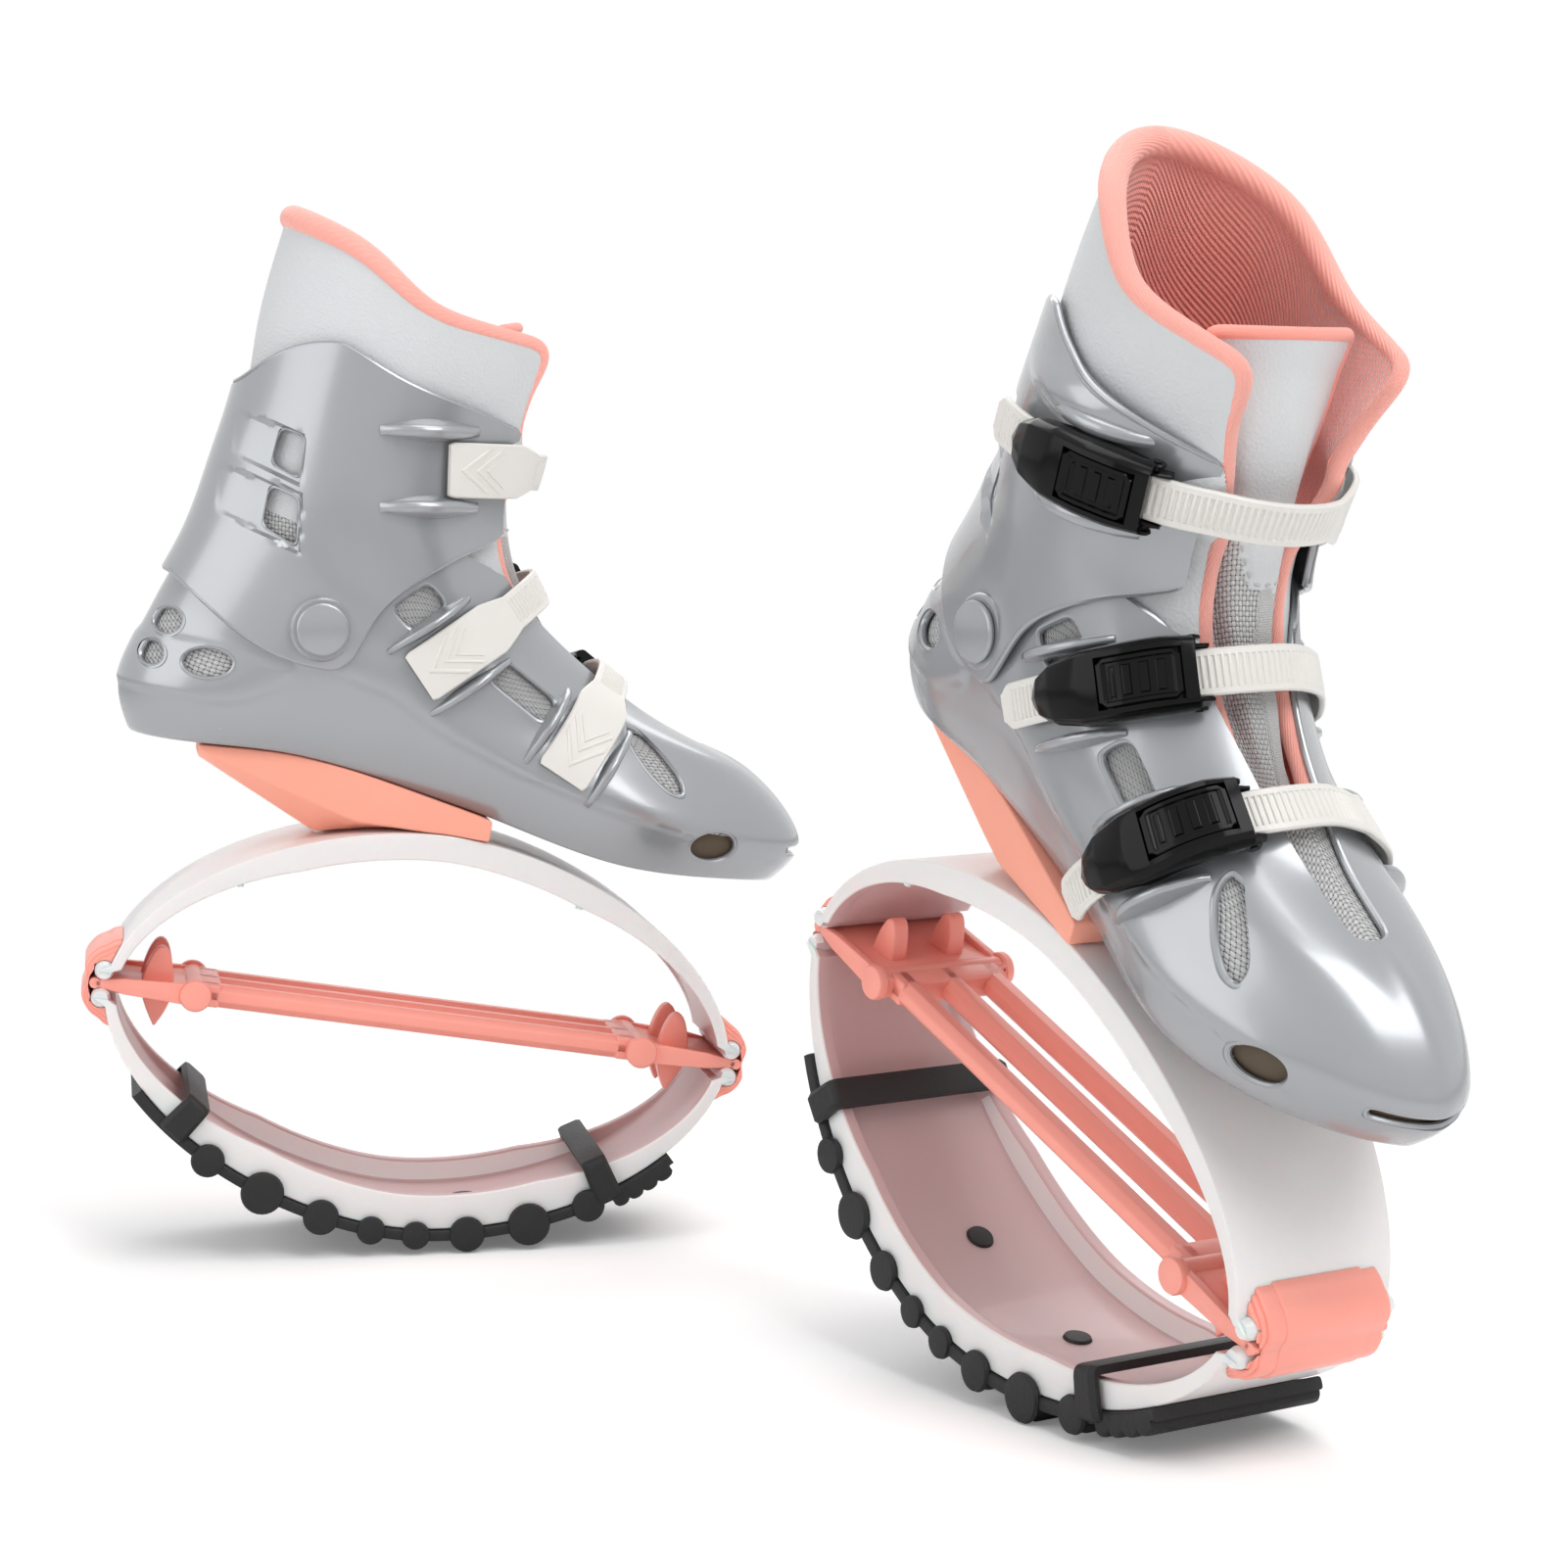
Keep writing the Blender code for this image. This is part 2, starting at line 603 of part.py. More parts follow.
    def sweep(self, name, places, outline_at, line):
        """A solid through outlines placed along the strap."""
        return loft(name, [self.section(place, outline_at(place), line) for place in places])


def rectangle(half_width, low, high):
    """Outline of a flat bar."""
    return [(-half_width, low), (half_width, low), (half_width, high), (-half_width, high)]


def rib(name, path, tree, side, offset):
    """A crescent fin on the shell beside a strap."""
    line, _ = path.lines[side]
    length = path.lines[-1][1]
    start, end = (share * length for share in path.rib_shares)
    aside = np.array([-line[2], 0, line[0]]) * offset
    half = RIB_THICKNESS / 2
    sections = []
    for share in np.linspace(0, 1, RIB_SECTIONS):
        place = path.middle + line * (start + (end - start) * share) + aside
        point, normal = surface_at(tree, place[0], place[2], side)
        normal = np.array(normal)
        across = np.cross(normal, line)
        across /= np.linalg.norm(across)
        height = RIB_HEIGHT * (RIB_END_SHARE + (1 - RIB_END_SHARE) * math.sin(math.pi * share))
        corners = ((-half, -RIB_ROOT), (half, -RIB_ROOT), (half, height), (-half, height))
        sections.append([np.array(point) + across * wide + normal * high for wide, high in corners])
    return loft(name, sections)


def plan_cutter(name, half_width, shares):
    """An opening that narrows to the toe, seen from above and drawn up through the boot."""
    edge = [(FOOT_LENGTH * x - HEEL_REACH, share * half_width) for x, share in shares]
    outline = edge + [(x, -y) for x, y in reversed(edge)]
    return prism(name, outline, SOLE_HEIGHT, SOLE_HEIGHT + 2 * BOOT_HEIGHT, "Z")


def front_cutter(name, low_half_width, high_half_width, low_share, start_share):
    """An opening up the shaft's front that may widen to the top, drawn forward."""
    x, low = side_point((start_share, low_share))
    high = SOLE_HEIGHT + BOOT_HEIGHT + CUT_OVERRUN
    sections = []
    for reach in (x, x + FOOT_LENGTH):
        sections.append([
            (reach, -low_half_width, low), (reach, low_half_width, low),
            (reach, high_half_width, high), (reach, -high_half_width, high),
        ])
    return loft(name, sections)


def cut_sides(obj, outlines):
    """Cuts side-view outlines through both side walls."""
    reach = FOOT_HALF_WIDTH + CUT_OVERRUN
    inner = FOOT_HALF_WIDTH * TOE_SWING_SHARE
    for index, outline in enumerate(outlines):
        for side in SIDES.values():
            low, high = sorted((side * inner, side * reach))
            cutter = prism(f"side_cut_{index}_{side}", outline, low, high, "Y")
            combine(obj, cutter, "DIFFERENCE")


def make_shell(tree, paths):
    """Moulded lower shell, cut by its openings and joined with its strap ribs."""
    levels = np.array([0, 1, 1.7, 2.3, 3, 3.8, 4.5, 5.3, 6.2])[:, None]
    turns = column_turns()[None, :]
    shell = cup(
        "boot_shell",
        form(levels, turns, np.zeros((1, 1))),
        form(levels, turns, np.full((1, 1), -SHELL_WALL)),
    )
    top = [side_point(shares) for shares in SHELL_TOP_SHARES]
    reach = FOOT_HALF_WIDTH + CUT_OVERRUN
    combine(shell, prism("shell_top_cut", top, -reach, reach, "Y"), "DIFFERENCE")
    combine(shell, plan_cutter("instep_cut", OPENING_HALF_WIDTH, OPENING_SHARES), "DIFFERENCE")
    outlines = [[side_point(shares) for shares in window] for window in SHELL_WINDOW_SHARES]
    for x, z, length, height, tilt in SHELL_VENT_SHARES:
        outlines.append(
            ellipse(side_point((x, z)), FOOT_LENGTH * length, BOOT_HEIGHT * height, tilt, 8)
        )
    cut_sides(shell, outlines)
    x, z, length, height = TOE_SLOT_SHARES
    x, z = side_point((x, z))
    length, height = FOOT_LENGTH * length, BOOT_HEIGHT * height
    slot = [
        (x - length, z - height), (x + length, z - height),
        (x + length, z + height), (x - length, z + height),
    ]
    half = FOOT_HALF_WIDTH * TOE_SLOT_HALF_WIDTH_SHARE
    combine(shell, prism("toe_slot_cut", slot, -half, half, "Y"), "DIFFERENCE")
    for name in ("instep", "toe"):
        for side in SIDES.values():
            for offset in (-RIB_SPACING, RIB_SPACING):
                combine(shell, rib("shell_rib", paths[name], tree, side, offset), "UNION")
    centre = side_point(RIVET_SHARES)
    for side in SIDES.values():
        hole = RIVET_SHANK_RADIUS + RIVET_RUNNING_GAP
        start, end = (centre[0], 0, centre[1]), (centre[0], side * reach, centre[1])
        cutter = cylinder("rivet_cut", hole, start, end, 10)
        combine(shell, cutter, "DIFFERENCE")
    return shell


def make_cuff(tree, path):
    """Ankle cuff over the shell, with its windows, fins and rivet bosses."""
    levels = np.array([3, 3.8, 4.5, 5.3, 5.9, 6.6, 7.4])[:, None]
    turns = column_turns()[None, :]
    cuff = sheet(
        "cuff",
        form(levels, turns, np.full((1, 1), CUFF_GAP + CUFF_WALL)),
        form(levels, turns, np.full((1, 1), CUFF_GAP)),
        True,
    )
    reach = FOOT_HALF_WIDTH + CUT_OVERRUN
    outline = [side_point(shares) for shares in CUFF_OUTLINE_SHARES]
    combine(cuff, prism("cuff_outline", outline, -reach, reach, "Y"), "INTERSECT")
    half = OPENING_HALF_WIDTH
    combine(cuff, front_cutter("cuff_front_cut", half, half, *CUFF_FRONT_SHARES), "DIFFERENCE")
    centre = side_point(RIVET_SHARES)
    for side in SIDES.values():
        face = boss_face(tree, side)
        start = (centre[0], side * (face - CUFF_WALL / 2), centre[1])
        boss = cylinder("rivet_boss", RIVET_BOSS_RADIUS, start, (centre[0], side * face, centre[1]), 20)
        combine(cuff, boss, "UNION")
    cut_sides(cuff, [[side_point(shares) for shares in window] for window in CUFF_WINDOW_SHARES])
    for side in SIDES.values():
        for offset in (-RIB_SPACING, RIB_SPACING):
            combine(cuff, rib("cuff_fin", path, tree, side, offset), "UNION")
    for side in SIDES.values():
        hole = RIVET_SHANK_RADIUS + RIVET_RUNNING_GAP
        start, end = (centre[0], 0, centre[1]), (centre[0], side * reach, centre[1])
        cutter = cylinder("rivet_cut", hole, start, end, 10)
        combine(cuff, cutter, "DIFFERENCE")
    return cuff


def boss_face(tree, side):
    """How far out the rivet boss's flat face stands."""
    x, z = side_point(RIVET_SHARES)
    reach = 0
    for turn in range(8):
        angle = math.tau * turn / 8
        place = (x + RIVET_HEAD_RADIUS * math.cos(angle), z + RIVET_HEAD_RADIUS * math.sin(angle))
        reach = max(reach, abs(surface_at(tree, *place, side)[0].y))
    return reach


def make_rivet(name, tree, side):
    """Domed rivet with its shank through cuff and shell."""
    face = boss_face(tree, side) + GAP
    inner = face - 2 * CUFF_WALL - SHELL_WALL
    dome = RIVET_HEAD_HEIGHT
    profile = (
        (RIVET_SHANK_RADIUS, inner), (RIVET_SHANK_RADIUS, face), (RIVET_HEAD_RADIUS, face),
        (RIVET_HEAD_RADIUS, face + dome / 2), (RIVET_HEAD_RADIUS * 0.7, face + dome),
    )
    return turned(name, profile, side_point(RIVET_SHARES), side, 14)


def make_liner():
    """Padded inner boot: a sock wall open at the collar and slit down the front."""
    levels = np.array([0, 1, 1.7, 2.3, 3, 3.8, 4.5, 5.3, 6.2, 7.2, 8])
    deep = np.clip(1 - (levels - 1) / 1.5, 0, 1) * (SOLE_STACK - LINER_INSET)
    flush = np.clip((levels - 6.5) / 0.8, 0, 1) * (LINER_INSET - SHELL_WALL / 2)
    inset = (LINER_INSET + deep - flush)[:, None]
    turns = column_turns()[None, :]
    liner = cup(
        "liner",
        form(levels[:, None], turns, -inset),
        form(levels[:, None], turns, -inset - LINER_WALL),
    )
    combine(liner, plan_cutter("liner_slit", LINER_SLIT_HALF_WIDTH, LINER_SLIT_SHARES), "DIFFERENCE")
    low = LINER_SLIT_HALF_WIDTH * LINER_SLIT_SHARES[-1][1]
    front = front_cutter("liner_front", low, COLLAR_SLIT_HALF_WIDTH, *LINER_FRONT_SHARES)
    combine(liner, front, "DIFFERENCE")
    return liner


def make_tongue():
    """Padded tongue behind the slit, proud in the middle and tucked under the liner's edges."""
    levels = np.array([4.6, 5, 5.4, 5.7, 6.1, 6.6, 7.1, 7.6, 8.05])
    across = np.linspace(-1, 1, 7)
    tuck = LINER_INSET + LINER_WALL + TONGUE_GAP
    narrow = np.interp(levels, (4.6, 5.4, 6.2), (0.42, 0.62, 1.0))
    outer, inner = [], []
    for level, share in zip(levels, narrow):
        reach = across * TONGUE_HALF_WIDTH * share
        front = form_surface(level, math.pi / 2)
        width = abs(form_surface(level, math.radians(150))[1]) / math.sin(math.radians(150))
        turns = math.pi - np.arcsin(np.clip(reach / max(width, abs(front[1])), -0.95, 0.95))
        slit = LINER_SLIT_HALF_WIDTH * share * 0.82
        bulge = TONGUE_BULGE * np.clip(1 - (reach / slit) ** 2, 0, 1) ** 0.5
        bulge *= np.clip((level - TONGUE_FREE_LEVEL) / 0.6, 0, 1)
        outer.append(form(np.full(7, level), turns, bulge - tuck))
        inner.append(form(np.full(7, level), turns, np.full(7, -tuck - TONGUE_THICKNESS)))
    return sheet("tongue", np.array(outer), np.array(inner), False)


def make_insole():
    """Thin board on the shell's floor, under the liner."""
    levels = np.array([0, 0.5, 1.0])[:, None]
    turns = column_turns()[None, :]
    low = SHELL_WALL + GAP + PLATE_THICKNESS + GAP
    return cup(
        "insole",
        form(levels, turns, np.full((1, 1), -low)),
        form(levels, turns, np.full((1, 1), -low - INSOLE_THICKNESS)),
    )


def floor_line(pick):
    """Side-view points of the outer sole; pick is min or max across its flat middle."""
    turns = column_turns()[: FORM_COLUMNS // 2 + 1]
    lines = [form_surface(np.full(turns.size, level), turns) for level in (0, 0.5, 1)]
    places = np.unique(np.round(np.concatenate([line[:, 0] for line in lines[::2]]), 6))
    heights = [np.interp(places, line[:, 0], line[:, 2]) for line in lines]
    return places, pick(heights, axis=0)


def plate_ends():
    """Where the mounting plate begins and ends along the boot."""
    middle, _ = side_point((PLATE_PLACE_SHARE, 0))
    return middle - PLATE_LENGTH / 2, middle + PLATE_LENGTH / 2


def stud_places():
    """Where the two studs stand along the boot."""
    middle = sum(plate_ends()) / 2
    return middle - STUD_SPACING / 2, middle + STUD_SPACING / 2


def make_plate():
    """Steel strip on the shell's floor with two studs down through wedge and arch."""
    half = PLATE_WIDTH / 2
    rear, front = plate_ends()
    places, heights = floor_line(np.max)
    inside = places[(places > rear) & (places < front)]
    sections = []
    for x in (rear, *inside, front):
        low = np.interp(x, places, heights) + SHELL_WALL + GAP
        sections.append([(x, y, z) for y, z in rectangle(half, low, low + PLATE_THICKNESS)])
    plate = loft("mounting_plate", sections)
    for x in stud_places():
        top = np.interp(x, places, heights) + SHELL_WALL + PLATE_THICKNESS / 2
        bottom = arch_height(x, UPPER_RISE) - ARCH_WEB - 2 * STUD_HEAD_HEIGHT
        combine(plate, cylinder("stud", STUD_RADIUS, (x, 0, bottom), (x, 0, top), 8), "UNION")
        nut_top = arch_height(abs(x) + STUD_HEAD_RADIUS, UPPER_RISE) - ARCH_WEB - STUD_HEAD_HEIGHT / 2
        nut = cylinder("stud_nut", STUD_HEAD_RADIUS, (x, 0, nut_top - STUD_HEAD_HEIGHT), (x, 0, nut_top), 6)
        combine(plate, nut, "UNION")
    return plate


def stud_cutters():
    """Clearance holes for the two studs."""
    cutters = []
    radius = STUD_RADIUS + STUD_HOLE_GAP
    top = SOLE_HEIGHT + WEDGE_HEIGHT
    for x in stud_places():
        cutters.append(cylinder("stud_cut", radius, (x, 0, 0), (x, 0, top), 8))
    return cutters


def make_wedge():
    """Wedge that fills the space between the sole and the arch and juts out behind."""
    rear, front = -WEDGE_OVERHANG, WEDGE_FRONT
    places, heights = floor_line(np.min)
    stations = {rear, front, *places[(places > rear) & (places < front)]}
    stations.update(rear + (front - rear) * share for share in WEDGE_STATION_SHARES)
    sections = []
    for x in sorted(stations):
        share = (x - rear) / (front - rear)
        top = np.interp(x, places, heights) - GAP
        half = WEDGE_REAR_HALF_WIDTH + (WEDGE_FRONT_HALF_WIDTH - WEDGE_REAR_HALF_WIDTH) * share
        under = SOLE_HEIGHT - WEDGE_HEIGHT * min(1, WEDGE_NOSE_SHARE + WEDGE_UNDER_SLOPE * share)
        low = max(under, arch_height(x, UPPER_RISE) + GAP)
        facet = SOLE_HEIGHT - WEDGE_HEIGHT * min(1, WEDGE_NOSE_SHARE / 2 + WEDGE_FACET_SLOPE * share)
        facet = min(max(low, facet), top - GAP)
        inner = half * WEDGE_UNDER_WIDTH_SHARE
        sections.append([
            (x, -inner, low), (x, inner, low), (x, half, facet), (x, half, top),
            (x, -half, top), (x, -half, facet),
        ])
    wedge = loft("sole_wedge", sections)
    for cutter in stud_cutters():
        combine(wedge, cutter, "DIFFERENCE")
    return wedge


def arch_stations(rise, part=1):
    """Outer points and normals along the middle part of an arch, rear to front, in side view."""
    count = round((ARCH_STATIONS - 1) * part) + 1
    turns = np.linspace(-part, part, count)
    x = ARCH_HALF_SPAN * np.sin(turns * math.radians(ARCH_END_TURN))
    z = arch_height(x, rise)
    slope = np.stack([np.gradient(x, turns), np.gradient(z, turns)], -1)
    slope /= np.linalg.norm(slope, axis=1, keepdims=True)
    return np.stack([x, z], -1), np.stack([-slope[:, 1], slope[:, 0]], -1)


def arch_half_width(x):
    """Half-width of an arch, which narrows toward its ends."""
    share = min(abs(x) / ARCH_HALF_SPAN, 1)
    return ARCH_MID_HALF_WIDTH + (ARCH_END_HALF_WIDTH - ARCH_MID_HALF_WIDTH) * share**2


def rim_depth(x, full):
    """Depth of an arch's side rims, which fade out toward its ends."""
    fade = min(1, RIM_FADE * (1 - abs(x) / ARCH_HALF_SPAN))
    return ARCH_WEB + (full - ARCH_WEB) * fade


def make_arch(name, rise, rim, sign):
    """A bow of channel section with a round bead along each end."""
    points, normals = arch_stations(rise)
    sections = []
    for (x, z), (nx, nz) in zip(points, normals):
        half = arch_half_width(x)
        depth = rim_depth(x, rim)
        inner = half - ARCH_RIM_WIDTH
        outline = (
            (-half, 0), (half, 0), (half, -depth), (inner, -depth), (inner - ARCH_WEB / 2, -ARCH_WEB),
            (-inner + ARCH_WEB / 2, -ARCH_WEB), (-inner, -depth), (-half, -depth),
        )
        sections.append([(x + nx * n, y, sign * (z + nz * n)) for y, n in outline])
    neck = BEAD_RADIUS * 0.7
    for end in (-1, 1):
        x, z = bead_centre(sign, end)
        near = sections[0 if end < 0 else -1]
        ring = [(x + end * neck, y, z) for _, y, _ in near[:2]]
        ring += [(x - end * neck, y, z) for _, y, _ in near[2:]]
        sections.insert(0 if end < 0 else len(sections), ring)
    arch = loft(name, sections)
    half = ARCH_END_HALF_WIDTH - ARCH_WEB / 4
    for end in (-1, 1):
        x, z = bead_centre(sign, end)
        combine(arch, cylinder("bead", BEAD_RADIUS, (x, -half, z), (x, half, z), 10), "UNION")
    return arch


def bead_centre(sign, end):
    """Side-view centre of an arch's end bead."""
    return end * (ARCH_HALF_SPAN + BEAD_RADIUS / 4), sign * BEAD_OFFSET


def make_bar():
    """Tension bar: three strips between two end plates with cross pins, lugs and bumpers."""
    pitch = BAR_STRIP_WIDTH + BAR_STRIP_GAP
    outer = pitch * (BAR_STRIP_COUNT - 1) / 2 + BAR_STRIP_WIDTH / 2
    half = BAR_STRIP_HEIGHT / 2
    frame = [
        (-BAR_HALF_LENGTH, -outer), (BAR_HALF_LENGTH, -outer),
        (BAR_HALF_LENGTH, outer), (-BAR_HALF_LENGTH, outer),
    ]
    bar = prism("tension_bar", frame, -half, half, "Z")
    slot_end = BAR_HALF_LENGTH - 2 * CROSS_PIN_RADIUS
    for index in range(BAR_STRIP_COUNT - 1):
        middle = -outer + BAR_STRIP_WIDTH + BAR_STRIP_GAP / 2 + pitch * index
        slot = [(-slot_end, middle - BAR_STRIP_GAP / 2), (slot_end, middle - BAR_STRIP_GAP / 2),
                (slot_end, middle + BAR_STRIP_GAP / 2), (-slot_end, middle + BAR_STRIP_GAP / 2)]
        combine(bar, prism("bar_slot", slot, -2 * half, 2 * half, "Z"), "DIFFERENCE")
    for end in (-1, 1):
        head = head_place(end)
        thin = BAR_END_THICKNESS / 2
        start = end * (BAR_HALF_LENGTH - half)
        taper = head - end * 2 * BEAD_SPACING
        plate = [
            (start, half * 0.9), (taper, thin), (head, thin),
            (head, -thin), (taper, -thin), (start, -half * 0.9),
        ]
        combine(bar, prism("bar_end", plate, -BAR_END_HALF_WIDTH, BAR_END_HALF_WIDTH, "Y"), "UNION")
        edge = BAR_END_HALF_WIDTH
        combine(bar, cylinder("bar_head", HEAD_RADIUS, (head, -edge, 0), (head, edge, 0), 8), "UNION")
        x = end * BAR_HALF_LENGTH
        combine(bar, cylinder("cross_pin", CROSS_PIN_RADIUS, (x, -edge, 0), (x, edge, 0), 8), "UNION")
        for side in (-1, 1):
            lug_start = (x, side * (edge - LUG_WIDTH / 2), 0)
            lug_end = (x, side * (edge + LUG_WIDTH / 2), 0)
            lug = cylinder("lug", LUG_RADIUS, lug_start, lug_end, 8)
            combine(bar, lug, "UNION")
            place = end * (BAR_HALF_LENGTH + FIN_PLACE)
            middle = side * FIN_SPACING / 2
            fin = ellipse((place, 0), FIN_LENGTH / 2, FIN_HEIGHT, 0, 8)
            combine(bar, prism("bumper", fin, middle - FIN_WIDTH / 2, middle + FIN_WIDTH / 2, "Y"), "UNION")
    return bar


def head_place(end):
    """How far along the bar's holding head stands, just behind the beads."""
    reach = BEAD_RADIUS + HEAD_RADIUS + GAP
    rise = BEAD_OFFSET
    return bead_centre(1, end)[0] + end * math.sqrt(max(reach**2 - rise**2, (BEAD_RADIUS / 2) ** 2))


def make_clip(name, end):
    """End clip with a hook round each bead and a pocket for the bar's head."""
    half = CLIP_HALF_WIDTH
    tip = abs(head_place(end)) + HEAD_RADIUS + CLIP_WALL
    outline = [(tip - CLIP_LENGTH * back, CLIP_RISE * up) for back, up in CLIP_OUTLINE_SHARES]
    outline += [(x, -z) for x, z in reversed(outline)]
    clip = prism(name, [(end * x, z) for x, z in outline], -half, half, "Y")
    reach = half + CUT_OVERRUN
    pocket = BEAD_RADIUS + GAP
    bead, rise = bead_centre(1, 1)
    back = abs(head_place(end)) + HEAD_RADIUS + GAP
    cavity = []
    for sign, height in ((1, UPPER_RISE), (-1, LOWER_DROP)):
        near = [p + n * GAP for p, n in zip(*arch_stations(height)) if p[0] > ARCH_HALF_SPAN / 2]
        near += [(bead + pocket, rise + pocket / 2), (bead + pocket, rise), (back, HEAD_RADIUS)]
        cavity += [(end * x, sign * z) for x, z in near][::sign]
    combine(clip, prism("clip_cavity", cavity, -reach, reach, "Y"), "DIFFERENCE")
    for sign in (1, -1):
        x, z = bead_centre(sign, end)
        bore = cylinder("bead_cut", pocket, (x, -reach, z), (x, reach, z), 12)
        combine(clip, bore, "DIFFERENCE")
    return clip


def lower_point(share, depth):
    """Side-view point below the lower arch's outer face, at a share of its half-span."""
    x = ARCH_HALF_SPAN * share
    step = ARCH_HALF_SPAN / 500
    rise = arch_height(x + step, LOWER_DROP) - arch_height(x - step, LOWER_DROP)
    normal = np.array([-rise, 2 * step])
    normal /= np.linalg.norm(normal)
    return x + normal[0] * depth, -(arch_height(x, LOWER_DROP) + normal[1] * depth)


def make_tread():
    """Rubber tread: strip, cross bars with knobs at both sides, two bands and two pegs."""
    sections = []
    for (x, z), (nx, nz) in zip(*arch_stations(LOWER_DROP, TREAD_PART)):
        half = arch_half_width(x) + TREAD_OVERHANG - KNOB_WIDTH / 2
        x0, z0 = x + nx * GAP, -z - nz * GAP
        x1, z1 = x0 + nx * TREAD_THICKNESS, z0 - nz * TREAD_THICKNESS
        sections.append([(x0, -half, z0), (x0, half, z0), (x1, half, z1), (x1, -half, z1)])
    tread = loft("tread", sections)
    for share, size in KNOB_SHARES:
        radius = TREAD_THICKNESS * size
        half = arch_half_width(max(0, ARCH_HALF_SPAN * abs(share) - radius))
        x, z = lower_point(share, GAP + TREAD_THICKNESS / 2)
        for side in (-1, 1):
            near, far = side * (half + GAP), side * (half + TREAD_OVERHANG)
            combine(tread, cylinder("knob", radius, (x, near, z), (x, far, z), 8), "UNION")
        bar_radius = radius * 0.66
        x, z = lower_point(share, GAP + TREAD_THICKNESS / 2 + radius - bar_radius * 0.96)
        half += GAP + KNOB_WIDTH / 4
        combine(tread, cylinder("cross_bar", bar_radius, (x, -half, z), (x, half, z), 6), "UNION")
    for share in BAND_SHARES:
        combine(tread, make_band(share), "UNION")
    for share in PEG_SHARES:
        x0, z0 = lower_point(share, TREAD_THICKNESS / 2)
        x1, z1 = lower_point(share, -ARCH_WEB - BAND_THICKNESS / 3)
        combine(tread, cylinder("peg", PEG_RADIUS, (x0, 0, z0), (x1, 0, z1), 8), "UNION")
    return tread


def make_band(share):
    """A flat loop from the tread round the arch's sides and over its inner rims."""
    half = arch_half_width(ARCH_HALF_SPAN * abs(share) - 2 * BAND_WIDTH) + GAP
    depth = rim_depth(ARCH_HALF_SPAN * abs(share) - BAND_WIDTH, LOWER_RIM_DEPTH) + GAP
    step = BAND_WIDTH / ARCH_HALF_SPAN / 2

    def ring(along, wide, low, high):
        (x0, z0), (x1, z1) = lower_point(share + along, low), lower_point(share + along, high)
        return [(x0, -wide, z0), (x0, wide, z0), (x1, wide, z1), (x1, -wide, z1)]

    wide = half + BAND_THICKNESS
    ends = [ring(along, wide, GAP + TREAD_THICKNESS / 2, -depth - BAND_THICKNESS) for along in (-step, step)]
    hole = [ring(along, half, GAP, -depth) for along in (-1.3 * step, 1.3 * step)]
    return combine(loft("band", ends), loft("band_hole", hole), "DIFFERENCE")


def make_strap(name, path):
    """Ladder strap: a wide fixed end, then an even band to its free end."""
    def outline(place):
        share = np.clip((place - STRAP_PLATE_LENGTH) / (STRAP_PLATE_LENGTH / 3), 0, 1)
        half = (STRAP_PLATE_WIDTH + (STRAP_WIDTH - STRAP_PLATE_WIDTH) * share) / 2
        return rectangle(half, 0, STRAP_THICKNESS)

    places = np.concatenate([
        np.linspace(0, STRAP_PLATE_LENGTH, 4),
        np.linspace(STRAP_PLATE_LENGTH * 4 / 3, path.length, 13),
    ])
    strap = path.sweep(name, places, outline, path.raised)
    point, _, _, out = path.frame(SCREW_INSET, path.raised)
    hole = SCREW_SHANK_RADIUS + GAP
    cutter = cylinder("screw_cut", hole, point - out * STRAP_THICKNESS, point + out * 2 * STRAP_THICKNESS, 8)
    return combine(strap, cutter, "DIFFERENCE")


def screw_axis(path):
    """Seat point and outward direction of the fixed end's screw."""
    point, _, _, out = path.frame(SCREW_INSET, path.raised)
    return point, out


def make_screw(name, path):
    """Screw with a low round head through the strap's fixed end into the wall."""
    point, out = screw_axis(path)
    head = point + out * (STRAP_THICKNESS + GAP)
    screw = cylinder(name, SCREW_HEAD_RADIUS, head, head + out * SCREW_HEAD_HEIGHT, 12)
    tip = point - out * SHELL_WALL * 0.9
    shank = cylinder("shank", SCREW_SHANK_RADIUS, tip, head + out * SCREW_HEAD_HEIGHT / 2, 6)
    return combine(screw, shank, "UNION")


def screw_cutter(path):
    """Hole for the screw in the wall under the strap."""
    point, out = screw_axis(path)
    start, end = point - out * 2 * SHELL_WALL, point + out * SHELL_WALL
    return cylinder("screw_hole", SCREW_SHANK_RADIUS + GAP, start, end, 8)


def pin_place(path):
    """Length along the strap of a buckle's pin."""
    return path.length - STRAP_TAIL - LEVER_LENGTH + PIN_EYE_RADIUS


def base_places(path):
    """Lengths along the strap that a buckle's base covers."""
    start = pin_place(path) - PIN_SETBACK
    return np.linspace(start, start + BASE_LENGTH, 5)


def make_base(name, path):
    """Buckle base: a floor under the strap and a wall at each side, bored for the pin."""
    half = STRAP_WIDTH / 2 + BASE_SIDE_GAP + BASE_WALL
    inner = half - BASE_WALL
    outline = [
        (-half, 0), (half, 0), (half, BASE_HEIGHT), (inner, BASE_HEIGHT), (inner, BASE_FLOOR),
        (-inner, BASE_FLOOR), (-inner, BASE_HEIGHT), (-half, BASE_HEIGHT),
    ]
    base = path.sweep(name, base_places(path), lambda place: outline, path.seat)
    point, _, across, out = path.frame(pin_place(path), path.seat)
    pin = point + out * PIN_HEIGHT
    reach = half + BASE_WALL
    hole = cylinder("pin_cut", PIN_RADIUS + PIN_HOLE_GAP, pin - across * reach, pin + across * reach, 10)
    return combine(base, hole, "DIFFERENCE")


def lever_axis(path):
    """Middle of a buckle's pin and the direction of its axis."""
    point, _, across, out = path.frame(pin_place(path), path.seat)
    return point + out * PIN_HEIGHT, across


